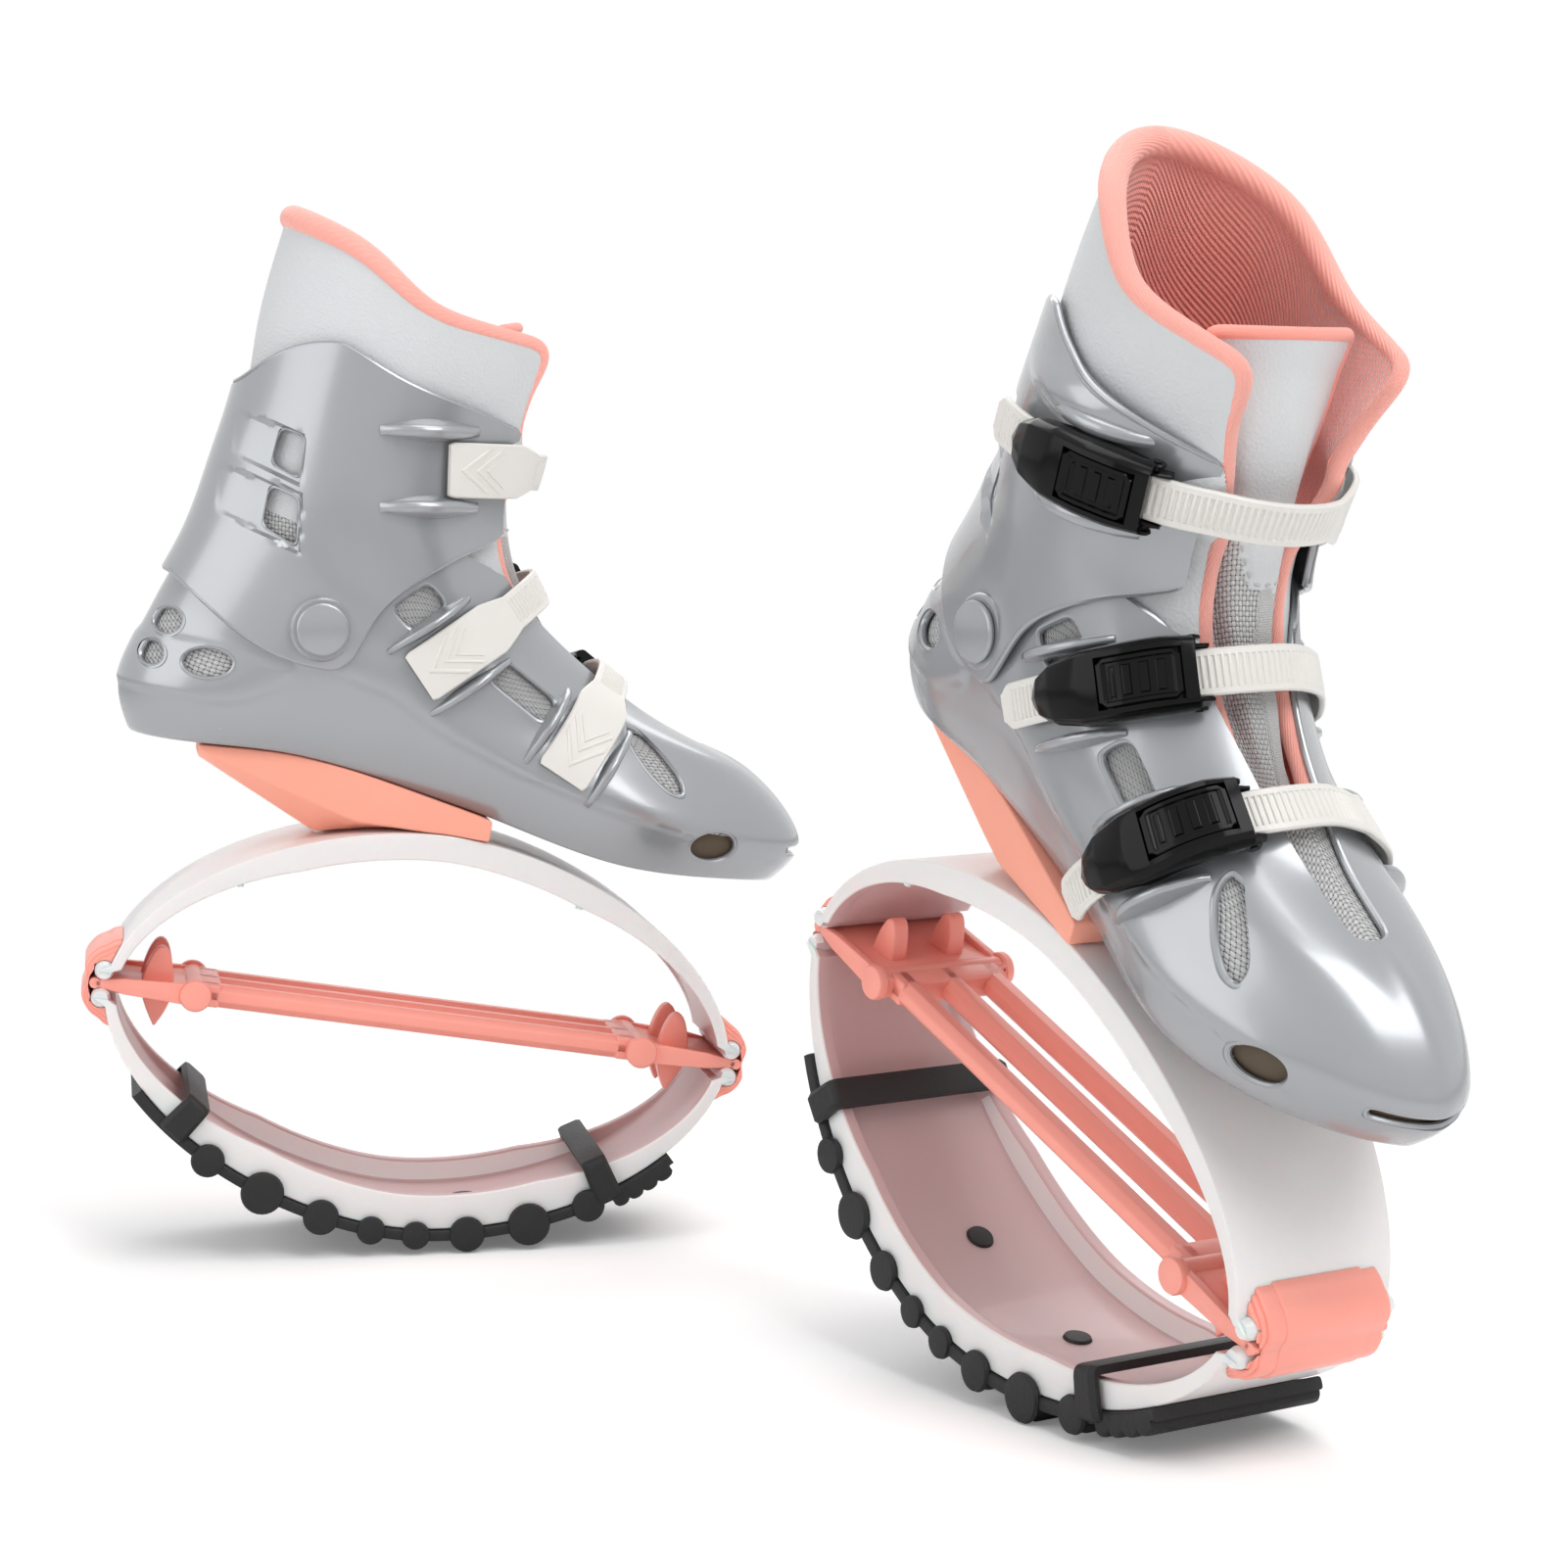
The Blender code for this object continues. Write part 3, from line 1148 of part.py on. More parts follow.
def make_lever(name, path):
    """Boat-shaped ratchet lever: a hollow over the base, a pocket for the latch and pin stubs."""
    start = pin_place(path)
    places = [start + (LEVER_LENGTH - PIN_EYE_RADIUS) * (1 - share) for share, _, _ in LEVER_STATION_SHARES]
    sections = []
    low = BASE_FLOOR + GAP
    for place, (_, wide, high) in zip(places, LEVER_STATION_SHARES):
        half, top = LEVER_WIDTH / 2 * wide, LEVER_HEIGHT * high
        shoulder = low + (top - low) * 0.6
        outline = [
            (-half * 0.96, low), (half * 0.96, low), (half, shoulder),
            (half * 0.80, top), (-half * 0.80, top), (-half, shoulder),
        ]
        sections.append(path.section(place, outline, path.seat))
    lever = loft(name, sections)
    hollow = LEVER_WIDTH / 2 - LEVER_SKIRT
    strap_top = BASE_FLOOR + GAP + STRAP_THICKNESS + LEVER_CLEAR
    base = base_places(path)
    hollows = (
        ([base[0] - LEVER_WIDTH, *base, base[-1] + LEVER_SWING_ROOM], hollow, BASE_HEIGHT + LEVER_CLEAR),
        (np.linspace(base[2], start + LEVER_LENGTH, 5), STRAP_WIDTH / 2 + LEVER_CLEAR, strap_top),
    )
    for places, half, top in hollows:
        outline = rectangle(half, -LEVER_HEIGHT, top)
        cutter = path.sweep("lever_hollow", places, lambda place: outline, path.seat)
        combine(lever, cutter, "DIFFERENCE")
    latch = latch_places(path)
    outline = rectangle(LATCH_WIDTH / 2 + LATCH_GAP, LEVER_HEIGHT - LATCH_DEPTH - LATCH_GAP, 2 * LEVER_HEIGHT)
    places = np.linspace(latch[0] - LATCH_GAP, latch[-1] + LATCH_GAP, 5)
    combine(lever, path.sweep("latch_pocket", places, lambda place: outline, path.seat), "DIFFERENCE")
    pin, across = lever_axis(path)
    for side in (-1, 1):
        outer = side * LEVER_WIDTH / 2 * LEVER_STATION_SHARES[-1][1]
        inner = side * (hollow + GAP)
        eye = cylinder("pin_eye", PIN_EYE_RADIUS, pin + across * inner, pin + across * outer, 10)
        combine(lever, eye, "UNION")
        stub_end = side * (STRAP_WIDTH / 2 + BASE_SIDE_GAP + BASE_WALL / 4)
        stub_start = side * (hollow + LEVER_SKIRT / 2)
        stub = cylinder("pin_stub", PIN_RADIUS, pin + across * stub_end, pin + across * stub_start, 8)
        combine(lever, stub, "UNION")
    return lever


def latch_places(path):
    """Lengths along the strap that the latch pad covers."""
    start = pin_place(path) + LATCH_SETBACK
    return np.linspace(start, start + LATCH_LENGTH, 4)


def make_latch(name, path):
    """Latch pad set in the lever's top, with a raised ring of grip bars."""
    outline = rectangle(LATCH_WIDTH / 2, LEVER_HEIGHT - LATCH_DEPTH, LEVER_HEIGHT + LATCH_GAP)
    return path.sweep(name, latch_places(path), lambda place: outline, path.seat)


def latch_axis(path):
    """Pivot of the latch at its rear edge, half way down."""
    place = latch_places(path)[-1]
    point, _, across, out = path.frame(place, path.seat)
    return point + out * (LEVER_HEIGHT - LATCH_DEPTH / 2), across


def finish_material(name):
    """A plain material with the colour, roughness and metallic value of one finish."""
    colour, roughness, metallic = FINISHES[name]
    material = bpy.data.materials.new(name)
    material.use_nodes = True
    shader = material.node_tree.nodes["Principled BSDF"]
    shader.inputs["Base Color"].default_value = (*colour, 1)
    shader.inputs["Roughness"].default_value = roughness
    shader.inputs["Metallic"].default_value = metallic
    material.diffuse_color = (*colour, 1)
    return material


def build_pieces():
    """Every piece of the left shoe in its own frame: name to object, finish and pivot."""
    shell_tree = form_tree(0)
    cuff_tree = form_tree(CUFF_GAP + CUFF_WALL)
    paths = {
        "cuff": StrapPath("cuff", cuff_tree),
        "instep": StrapPath("instep", shell_tree),
        "toe": StrapPath("toe", shell_tree),
    }
    pieces = {}

    def add(obj, finish, pivot=(0, 0, 0)):
        pieces[obj.name] = (obj, finish, Vector(pivot))

    centre = side_point(RIVET_SHARES)
    cuff_pivot = (centre[0], 0, centre[1])
    shell = make_shell(shell_tree, paths)
    cuff = make_cuff(cuff_tree, paths["cuff"])
    for cutter in stud_cutters():
        combine(shell, cutter, "DIFFERENCE")
    for name, path in paths.items():
        combine(cuff if name == "cuff" else shell, screw_cutter(path), "DIFFERENCE")
    add(shell, "shell")
    add(cuff, "shell", cuff_pivot)
    add(make_liner(), "leather")
    add(make_tongue(), "mesh")
    add(make_insole(), "board")
    add(make_plate(), "steel")
    add(make_wedge(), "wedge")
    for name, side in SIDES.items():
        add(make_rivet(f"cuff_rivet_{name}", cuff_tree, side), "shell")
    for name, path in paths.items():
        pivot = cuff_pivot if name == "cuff" else (0, 0, 0)
        add(make_strap(f"strap_{name}", path), "strap", pivot)
        add(make_screw(f"strap_screw_{name}", path), "steel", pivot)
        add(make_base(f"buckle_base_{name}", path), "buckle", pivot)
        add(make_lever(f"buckle_lever_{name}", path), "buckle", lever_axis(path)[0])
        add(make_latch(f"buckle_latch_{name}", path), "buckle", latch_axis(path)[0])
    upper = make_arch("upper_arch", UPPER_RISE, UPPER_RIM_DEPTH, 1)
    for cutter in stud_cutters():
        combine(upper, cutter, "DIFFERENCE")
    lower = make_arch("lower_arch", LOWER_DROP, LOWER_RIM_DEPTH, -1)
    for share in PEG_SHARES:
        low, high = lower_point(share, ARCH_WEB), lower_point(share, -2 * ARCH_WEB)
        hole = cylinder("peg_cut", PEG_RADIUS + PEG_HOLE_GAP, (low[0], 0, low[1]), (high[0], 0, high[1]), 8)
        combine(lower, hole, "DIFFERENCE")
    add(upper, "arch")
    add(lower, "arch")
    add(make_bar(), "bar")
    add(make_clip("rear_clip", -1), "bar")
    add(make_clip("front_clip", 1), "bar")
    add(make_tread(), "rubber")
    return pieces


def world_box(objects):
    """Low and high corners of the objects' box in the world."""
    bpy.context.view_layer.update()
    corners = [obj.matrix_world @ vertex.co for obj in objects for vertex in obj.data.vertices]
    return np.min(corners, axis=0), np.max(corners, axis=0)


def stand_pair(holders):
    """Stands each shoe on the floor and centres the pair over the origin."""
    for holder in holders:
        holder.location.z -= world_box(holder.children)[0][2]
    low, high = world_box([piece for holder in holders for piece in holder.children])
    for holder in holders:
        holder.location.x -= (low[0] + high[0]) / 2
        holder.location.y -= (low[1] + high[1]) / 2


def main():
    """Builds one shoe's pieces and places them as the left and the mirrored right shoe."""
    for obj in list(bpy.data.objects):
        bpy.data.objects.remove(obj)
    pieces = build_pieces()
    materials = {name: finish_material(name) for name in FINISHES}
    collection = bpy.data.collections.new("jumping_shoes")
    bpy.context.scene.collection.children.link(collection)
    holders = {}
    for side, (place, turns, mirror) in PLACES.items():
        holder = bpy.data.objects.new(f"{side}_shoe", None)
        yaw, pitch, roll = (math.radians(turn) for turn in turns)
        holder.rotation_euler = Euler((roll, pitch, yaw))
        holder.location = place
        holder.scale = (1, mirror, 1)
        collection.objects.link(holder)
        holders[side] = holder
    for name, (source, finish, pivot) in pieces.items():
        mesh = source.data
        mesh.name = name
        mesh.transform(Matrix.Translation(-pivot))
        mesh.materials.clear()
        mesh.materials.append(materials[finish])
        mesh.shade_smooth()
        mesh.set_sharp_from_angle(angle=math.radians(35))
        bpy.data.objects.remove(source)
        for side, holder in holders.items():
            piece = bpy.data.objects.new(f"{side}_{name}", mesh)
            piece.parent = holder
            piece.location = pivot
            collection.objects.link(piece)
    stand_pair(holders.values())


main()
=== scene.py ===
"""Looks of a pair of rebound jumping shoes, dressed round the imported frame.

Lengths are in metres. Each shoe is shaped in its own frame, as the left one: X to the toe,
Y to the wearer's left, Z up, origin in the middle of the tension bar. The right one mirrors it.
"""
import json
import logging
import math
from dataclasses import dataclass
from enum import Enum
from functools import cache
from typing import Callable, Iterable, Sequence

import bmesh
import bpy
import numpy as np
from mathutils import Euler, Matrix, Vector
from mathutils.bvhtree import BVHTree


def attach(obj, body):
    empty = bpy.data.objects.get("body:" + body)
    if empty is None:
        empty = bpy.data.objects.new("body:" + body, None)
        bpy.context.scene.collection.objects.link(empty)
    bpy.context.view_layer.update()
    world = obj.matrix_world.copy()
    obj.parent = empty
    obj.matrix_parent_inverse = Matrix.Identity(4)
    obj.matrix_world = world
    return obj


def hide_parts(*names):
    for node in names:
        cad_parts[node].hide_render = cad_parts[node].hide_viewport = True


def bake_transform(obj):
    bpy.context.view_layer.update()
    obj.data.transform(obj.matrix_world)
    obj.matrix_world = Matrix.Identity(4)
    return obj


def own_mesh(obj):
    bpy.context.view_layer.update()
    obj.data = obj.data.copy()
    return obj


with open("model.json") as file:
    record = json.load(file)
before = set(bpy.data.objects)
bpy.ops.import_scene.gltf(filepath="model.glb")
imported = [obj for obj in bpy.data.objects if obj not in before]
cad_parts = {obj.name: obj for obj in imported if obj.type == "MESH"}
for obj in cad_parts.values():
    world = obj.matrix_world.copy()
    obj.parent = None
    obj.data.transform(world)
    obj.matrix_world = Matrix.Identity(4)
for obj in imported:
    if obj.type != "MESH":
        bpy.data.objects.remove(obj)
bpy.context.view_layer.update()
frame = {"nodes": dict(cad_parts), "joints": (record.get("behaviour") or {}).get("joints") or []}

LOG = logging.getLogger("jumping_shoes")
Points = np.ndarray
Piece = bpy.types.Object
Socket = bpy.types.NodeSocket
Tree = bpy.types.NodeTree
GroupEnds = tuple[Tree, bpy.types.NodeOutputs, bpy.types.NodeInputs]
Pair = tuple[float, float]
Outline = Sequence[Pair]
CUT_OVERRUN = 0.02
SIDES = (-1, 1)
SEAT_GAP = 0.0003
RIM_STEP = 0.0016
STITCH_SHAPE = np.array([0.5, 0.9, 1, 0.9, 0.5])


class Zone(Enum):
    """Which faces of a wall a material covers."""

    OUTSIDE = 0
    EDGE = 1
    INSIDE = 2
    EXTRA = 3


class Motion(Enum):
    """How a piece is tied to the joints; none is bent or squashed here."""

    RIGID = "rigid"
    ANKLE = "bends between boot and cuff"
    UPPER_BOW = "flattens down to the clips"
    LOWER_BOW = "flattens down to the floor"


class Grain(Enum):
    """Relief that a finish carries."""

    MOULDED = "moulded"
    PEBBLED = "pebbled"
    WOVEN = "woven"
    RIBBED = "ribbed"


# Shape tools


def between(before: Points, start: Points, end: Points, after: Points, part: Points) -> Points:
    """A smooth curve's values at a part of the way from start to end.

    Args:
        before: value before the start.
        start: value where the part is 0.
        end: value where the part is 1.
        after: value after the end.
        part: share of the way from start to end.

    Returns:
        The values there.
    """
    slope = (end - before) * part
    curve = (2 * before - 5 * start + 4 * end - after) * part**2
    twist = (3 * start - before - 3 * end + after) * part**3
    return start + (slope + curve + twist) / 2


def spline(rows: Points, where: Points) -> Points:
    """Reads a smooth curve through rows that stand at 0, 1, 2 and so on.

    Args:
        rows: values to pass through.
        where: places along the rows.

    Returns:
        The curve's values at those places.
    """
    rows = np.asarray(rows, float)
    where = np.clip(np.asarray(where, float), 0, len(rows) - 1)
    first = np.minimum(where.astype(int), len(rows) - 2)
    part = (where - first).reshape(where.shape + (1,) * (rows.ndim - 1))
    before, start, end, after = (
        rows[np.clip(first + step, 0, len(rows) - 1)] for step in (-1, 0, 1, 2)
    )
    return between(before, start, end, after, part)


def ease(value: Points, low: float, high: float) -> Points:
    """Rises smoothly from 0 at low to 1 at high."""
    part = np.clip((np.asarray(value, float) - low) / (high - low), 0, 1)
    return part * part * (3 - 2 * part)


def rounded(outline: Outline, radius: float, steps: int = 5) -> list[Pair]:
    """Rounds the corners of a closed outline.

    Args:
        outline: corner points in order.
        radius: how far from each corner the rounding starts.
        steps: points on each rounded corner.

    Returns:
        The rounded outline's points.
    """
    corners = np.asarray(outline, float)
    points: list[Pair] = []
    for index, corner in enumerate(corners):
        ends = []
        for other in (corners[index - 1], corners[(index + 1) % len(corners)]):
            way = other - corner
            length = np.linalg.norm(way)
            ends.append(corner + way / length * min(radius, length * 0.45))
        for part in np.linspace(0, 1, steps):
            point = (1 - part) ** 2 * ends[0] + 2 * part * (1 - part) * corner + part**2 * ends[1]
            points.append((float(point[0]), float(point[1])))
    return points


def mirrored(half: Outline) -> list[Pair]:
    """Closes half an outline with its mirror image, where points on the middle line stay single."""
    return [*half, *((-across, up) for across, up in reversed(half) if across)]


def flat_bar(half: float, low: float, high: float, radius: float, steps: int = 5) -> list[Pair]:
    """Outline of a flat bar with rounded corners."""
    return rounded([(-half, low), (half, low), (half, high), (-half, high)], radius, steps)


def oval(centre: Pair, half_length: float, half_height: float, tilt: float, count: int = 28) -> list[Pair]:
    """Points of an oval tilted by a part of a turn.

    Args:
        centre: side-view x and z.
        half_length: half of its length.
        half_height: half of its height.
        tilt: share of a full turn.
        count: number of points.

    Returns:
        The oval's points.
    """
    turns = around(count)
    along, up = half_length * np.cos(turns), half_height * np.sin(turns)
    cosine, sine = math.cos(math.tau * tilt), math.sin(math.tau * tilt)
    return list(zip(centre[0] + along * cosine - up * sine, centre[1] + along * sine + up * cosine))


def signed_distance(x: Points, z: Points, outline: Outline) -> Points:
    """Distance of side-view points to a closed outline, positive inside it.

    Args:
        x: places forward.
        z: places up.
        outline: corner points in order.

    Returns:
        The distances.
    """
    corners = np.asarray(outline, float)
    nearest = np.full(x.shape, np.inf)
    inside = np.zeros(x.shape, bool)
    for (ax, az), (bx, bz) in zip(corners, np.roll(corners, -1, axis=0)):
        wide, high = bx - ax, bz - az
        part = np.clip(((x - ax) * wide + (z - az) * high) / (wide**2 + high**2), 0, 1)
        nearest = np.minimum(nearest, np.hypot(x - ax - part * wide, z - az - part * high))
        crossing = (az > z) != (bz > z)
        inside ^= crossing & (x < ax + (z - az) * wide / np.where(high == 0, 1, high))
    return np.where(inside, nearest, -nearest)


def resample(line: Points, step: float, closed: bool) -> Points:
    """Points spaced evenly along a line.

    Args:
        line: points in order.
        step: about how far apart the new ones stand.
        closed: whether the line closes on itself.

    Returns:
        The new points.
    """
    line = np.vstack([line, line[:1]]) if closed else line
    reach = np.concatenate([[0], np.cumsum(np.linalg.norm(np.diff(line, axis=0), axis=1))])
    count = max(int(reach[-1] / step), 6)
    places = np.linspace(0, reach[-1], count + 1)
    places = places[:-1] if closed else places
    return np.stack([np.interp(places, reach, line[:, axis]) for axis in range(3)], -1)


def smoothed(line: Points, passes: int, closed: bool) -> Points:
    """A line with each point drawn toward its neighbours.

    Args:
        line: points in order.
        passes: how often each point is drawn.
        closed: whether the line closes on itself.

    Returns:
        The smoother line.
    """
    for _ in range(passes):
        if closed:
            line = (np.roll(line, 1, axis=0) + 2 * line + np.roll(line, -1, axis=0)) / 4
        else:
            line = line.copy()
            line[1:-1] = (line[:-2] + 2 * line[1:-1] + line[2:]) / 4
    return line


def linked(name: str, data: bpy.types.ID) -> Piece:
    """Puts an object that holds the data into the scene.

    Args:
        name: the object's name.
        data: its mesh, lamp or camera.

    Returns:
        The object.
    """
    obj = bpy.data.objects.new(name, data)
    bpy.context.scene.collection.objects.link(obj)
    return obj


def around(count: int) -> Points:
    """Angles spaced evenly round a full turn."""
    return np.linspace(0, math.tau, count, endpoint=False)


def new_object(points: Points, faces: list, slots: list | None = None, uvs: list | None = None) -> Piece:
    """Makes a mesh object with its doubles merged and its faces turned out.

    Args:
        points: vertex places.
        faces: vertex numbers of each face.
        slots: material number of each face.
        uvs: surface places in metres, one for each corner of each face.

    Returns:
        The linked object.
    """
    mesh = bpy.data.meshes.new("piece")
    mesh.from_pydata(np.asarray(points, float).reshape(-1, 3).tolist(), [], faces)
    if slots is not None:
        mesh.polygons.foreach_set("material_index", slots)
    if uvs is not None:
        layer = mesh.uv_layers.new(name="surface")
        layer.data.foreach_set("uv", np.asarray(uvs, np.float32).ravel())
    shape = bmesh.new()
    shape.from_mesh(mesh)
    bmesh.ops.remove_doubles(shape, verts=shape.verts, dist=1e-6)
    bmesh.ops.dissolve_degenerate(shape, edges=shape.edges, dist=1e-7)
    bmesh.ops.recalc_face_normals(shape, faces=shape.faces)
    shape.to_mesh(mesh)
    shape.free()
    return linked("piece", mesh)


def grid_faces(rows: int, columns: int, closed: bool) -> list[tuple[int, ...]]:
    """Quads of a grid of stacked rows, whose columns may close on themselves.

    Args:
        rows: number of rows.
        columns: points in each row.
        closed: whether each row closes on itself.

    Returns:
        Point numbers of each quad.
    """
    faces = []
    for row in range(rows - 1):
        for column in range(columns if closed else columns - 1):
            after = (column + 1) % columns
            low, high = row * columns, (row + 1) * columns
            faces.append((low + column, low + after, high + after, high + column))
    return faces


def grid_uvs(table: Points, rows: int, columns: int, closed: bool) -> list[Pair]:
    """Surface places for the corners of a grid's quads, in the order of grid_faces.

    Args:
        table: surface places by row and column.
        rows: number of rows.
        columns: points in each row.
        closed: whether each row closes on itself.

    Returns:
        One surface place for each corner of each quad.
    """
    places = []
    for row in range(rows - 1):
        for column in range(columns if closed else columns - 1):
            for down, aside in ((0, 0), (0, 1), (1, 1), (1, 0)):
                places.append(tuple(table[row + down, column + aside]))
    return places


def surface_table(grid: Points, closed: bool) -> Points:
    """Arc lengths round and up a grid, as a table of surface places.

    Args:
        grid: points in rows.
        closed: whether each row closes on itself.

    Returns:
        Lengths across and up, by row and column.
    """
    ring = np.concatenate([grid, grid[:, :1]], axis=1) if closed else grid
    around = np.linalg.norm(np.diff(ring, axis=1), axis=2)
    middle = around[len(around) * 2 // 3]
    across = np.concatenate([[0], np.cumsum(middle)])
    up = np.linalg.norm(np.diff(ring, axis=0), axis=2)
    up = np.concatenate([np.zeros((1, ring.shape[1])), np.cumsum(up, axis=0)])
    return np.stack([np.broadcast_to(across, up.shape), up], -1)


def skin(outer: Points, inner: Points, closed: bool, borders: list[list[int]]) -> Piece:
    """A solid between two grids of rows, whose slots are outside, inside and edge.

    Args:
        outer: outer points, in rows.
        inner: inner points, in the same rows.
        closed: whether each row closes on itself.
        borders: point numbers of each loop where the grids meet.

    Returns:
        The solid, with surface places on its outer and inner faces.
    """
    rows, columns = outer.shape[:2]
    count = rows * columns
    outside = grid_faces(rows, columns, closed)
    uvs = grid_uvs(surface_table(outer, closed), rows, columns, closed)
    inside = [tuple(index + count for index in face[::-1]) for face in outside]
    backs = [uvs[4 * face + corner] for face in range(len(outside)) for corner in (3, 2, 1, 0)]
    edges = []
    for border in borders:
        for start, end in zip(border, border[1:] + border[:1]):
            edges.append((end, end + count, start + count, start))
    slots = [Zone.OUTSIDE.value] * len(outside) + [Zone.INSIDE.value] * len(inside)
    slots += [Zone.EDGE.value] * len(edges)
    points = np.concatenate([outer.reshape(-1, 3), inner.reshape(-1, 3)])
    uvs = uvs + backs + [(0.0, 0.0)] * (4 * len(edges))
    return new_object(points, outside + inside + edges, slots, uvs)


def wall(outer: Points, inner: Points, joined: bool) -> Piece:
    """A wall that closes round the boot, whose first row may fold shut along the sole.

    Args:
        outer: outer points, in rows.
        inner: inner points, in the same rows.
        joined: whether the first row folds shut.

    Returns:
        The wall.
    """
    rows, columns = outer.shape[:2]
    ends = [rows - 1] if joined else [0, rows - 1]
    borders = [list(range(row * columns, (row + 1) * columns)) for row in ends]
    return skin(outer, inner, True, borders)


def sheet(outer: Points, inner: Points) -> Piece:
    """A solid between two open grids.

    Args:
        outer: outer points, in rows.
        inner: inner points, in the same rows.

    Returns:
        The sheet.
    """
    rows, columns = outer.shape[:2]
    count = rows * columns
    border = list(range(columns))
    border += [row * columns + columns - 1 for row in range(1, rows)]
    border += list(range(count - 2, count - columns - 1, -1))
    border += [row * columns for row in range(rows - 2, 0, -1)]
    return skin(outer, inner, False, [border])


def loft(sections: Points, closed: bool = False) -> Piece:
    """A solid through sections of equal point counts, capped unless it closes on itself.

    Args:
        sections: outlines in order.
        closed: whether the last section joins the first.

    Returns:
        The solid.
    """
    sections = np.asarray(sections, float)
    rows, columns = sections.shape[:2]
    stack = np.concatenate([sections, sections[:1]]) if closed else sections
    table = surface_table(stack, True)[..., ::-1]
    uvs = grid_uvs(table, len(stack), columns, True)
    faces = grid_faces(len(stack), columns, True)
    if closed:
        faces = [tuple(index % (rows * columns) for index in face) for face in faces]
    else:
        faces.append(tuple(range(columns))[::-1])
        faces.append(tuple(range((rows - 1) * columns, rows * columns)))
        uvs += [(0.0, 0.0)] * (2 * columns)
    return new_object(sections, faces, None, uvs)


def prism(outline: Outline, low: float, high: float, axis: str) -> Piece:
    """An outline in the two other axes, drawn out along axis from low to high.

    Args:
        outline: points in the two other axes.
        low: where it starts.
        high: where it ends.
        axis: Y or Z.

    Returns:
        The solid.
    """
    if axis == "Y":
        sections = [[(x, depth, z) for x, z in outline] for depth in (low, high)]
    else:
        sections = [[(x, y, depth) for x, y in outline] for depth in (low, high)]
    return loft(sections)


def tube(line: Points, radii: Points | float, closed: bool, sides: int = 12) -> Piece:
    """A round cord along a line.

    Args:
        line: centre points in order.
        radii: one radius, or one for each point.
        closed: whether the line closes on itself.
        sides: faces round the cord.

    Returns:
        The cord.
    """
    line = np.asarray(line, float)
    radii = np.broadcast_to(np.asarray(radii, float), (len(line),))
    if closed:
        along = np.roll(line, -1, axis=0) - np.roll(line, 1, axis=0)
    else:
        along = np.gradient(line, axis=0)
    along /= np.maximum(np.linalg.norm(along, axis=1, keepdims=True), 1e-12)
    side = np.cross(along[0], (0.31, 0.17, 0.93))
    frames = []
    for way in along:
        side = side - way * (side @ way)
        side = side / np.linalg.norm(side)
        frames.append(side)
    lag = 0.0
    if closed:
        back = frames[-1] - along[0] * (frames[-1] @ along[0])
        lag = math.atan2(np.cross(back, frames[0]) @ along[0], back @ frames[0])
    turns = around(sides)
    sections = []
    for index, (point, way, side) in enumerate(zip(line, along, frames)):
        other = np.cross(way, side)
        turn = turns + lag * index / len(line)
        ring = np.cos(turn)[:, None] * side + np.sin(turn)[:, None] * other
        sections.append(point + ring * radii[index])
    return loft(sections, closed)


def turned(profile: Iterable[Pair], centre: Pair, side: int, sides: int = 40) -> Piece:
    """A round piece about the Y axis; profile holds radius and reach outward.

    Args:
        profile: radius and reach, from one end to the other.
        centre: side-view x and z of its axis.
        side: 1 for the outer side and -1 for the inner.
        sides: faces round it.

    Returns:
        The piece.
    """
    sections = []
    for radius, reach in profile:
        turns = around(sides)
        ring = np.stack([
            centre[0] + radius * np.cos(turns), np.full(sides, side * reach),
            centre[1] + radius * np.sin(turns),
        ], -1)
        sections.append(ring)
    return loft(sections)


def rod(radius: float, start: Sequence[float], end: Sequence[float], sides: int = 24) -> Piece:
    """A round bar between two points."""
    line = np.linspace(np.asarray(start, float), np.asarray(end, float), 3)
    return tube(line, radius, False, sides)


def baked(obj: Piece) -> Piece:
    """Applies an object's modifiers to its mesh.

    Args:
        obj: the object.

    Returns:
        The same object.
    """
    graph = bpy.context.evaluated_depsgraph_get()
    mesh = bpy.data.meshes.new_from_object(obj.evaluated_get(graph))
    obj.modifiers.clear()
    obj.data = mesh
    return obj


def combine(obj: Piece, other: Piece, operation: str) -> Piece:
    """Cuts, joins or keeps the overlap with another object, and removes the other.

    Args:
        obj: the object that stays.
        other: the object that goes.
        operation: DIFFERENCE, UNION or INTERSECT.

    Returns:
        The object that stays.
    """
    mesh = other.data
    mesh.polygons.foreach_set("material_index", [Zone.EDGE.value] * len(mesh.polygons))
    for holder in (obj, other):
        while len(holder.data.materials) < len(Zone):
            holder.data.materials.append(None)
    modifier = obj.modifiers.new("cut", "BOOLEAN")
    modifier.operation = operation
    modifier.object = other
    modifier.solver = "EXACT"
    modifier.material_mode = "INDEX"
    baked(obj)
    bpy.data.objects.remove(other)
    return obj


def merged(objects: Sequence[Piece]) -> Piece:
    """Joins several pieces into one, with their shapes as they are.

    Args:
        objects: the pieces, which are used up.

    Returns:
        The one piece.
    """
    shape = bmesh.new()
    for obj in objects:
        shape.from_mesh(obj.data)
        bpy.data.objects.remove(obj)
    mesh = bpy.data.meshes.new("piece")
    shape.to_mesh(mesh)
    shape.free()
    return linked("piece", mesh)


def eased_edges(obj: Piece, width: float, segments: int = 2, angle: float = 32) -> Piece:
    """Rounds an object's sharp edges.

    Args:
        obj: the piece.
        width: how far the rounding reaches.
        segments: steps on each rounding.
        angle: the least angle that is rounded, in degrees.

    Returns:
        The same piece.
    """
    modifier = obj.modifiers.new("edges", "BEVEL")
    modifier.width = width
    modifier.segments = segments
    modifier.limit_method = "ANGLE"
    modifier.angle_limit = math.radians(angle)
    modifier.harden_normals = False
    return baked(obj)


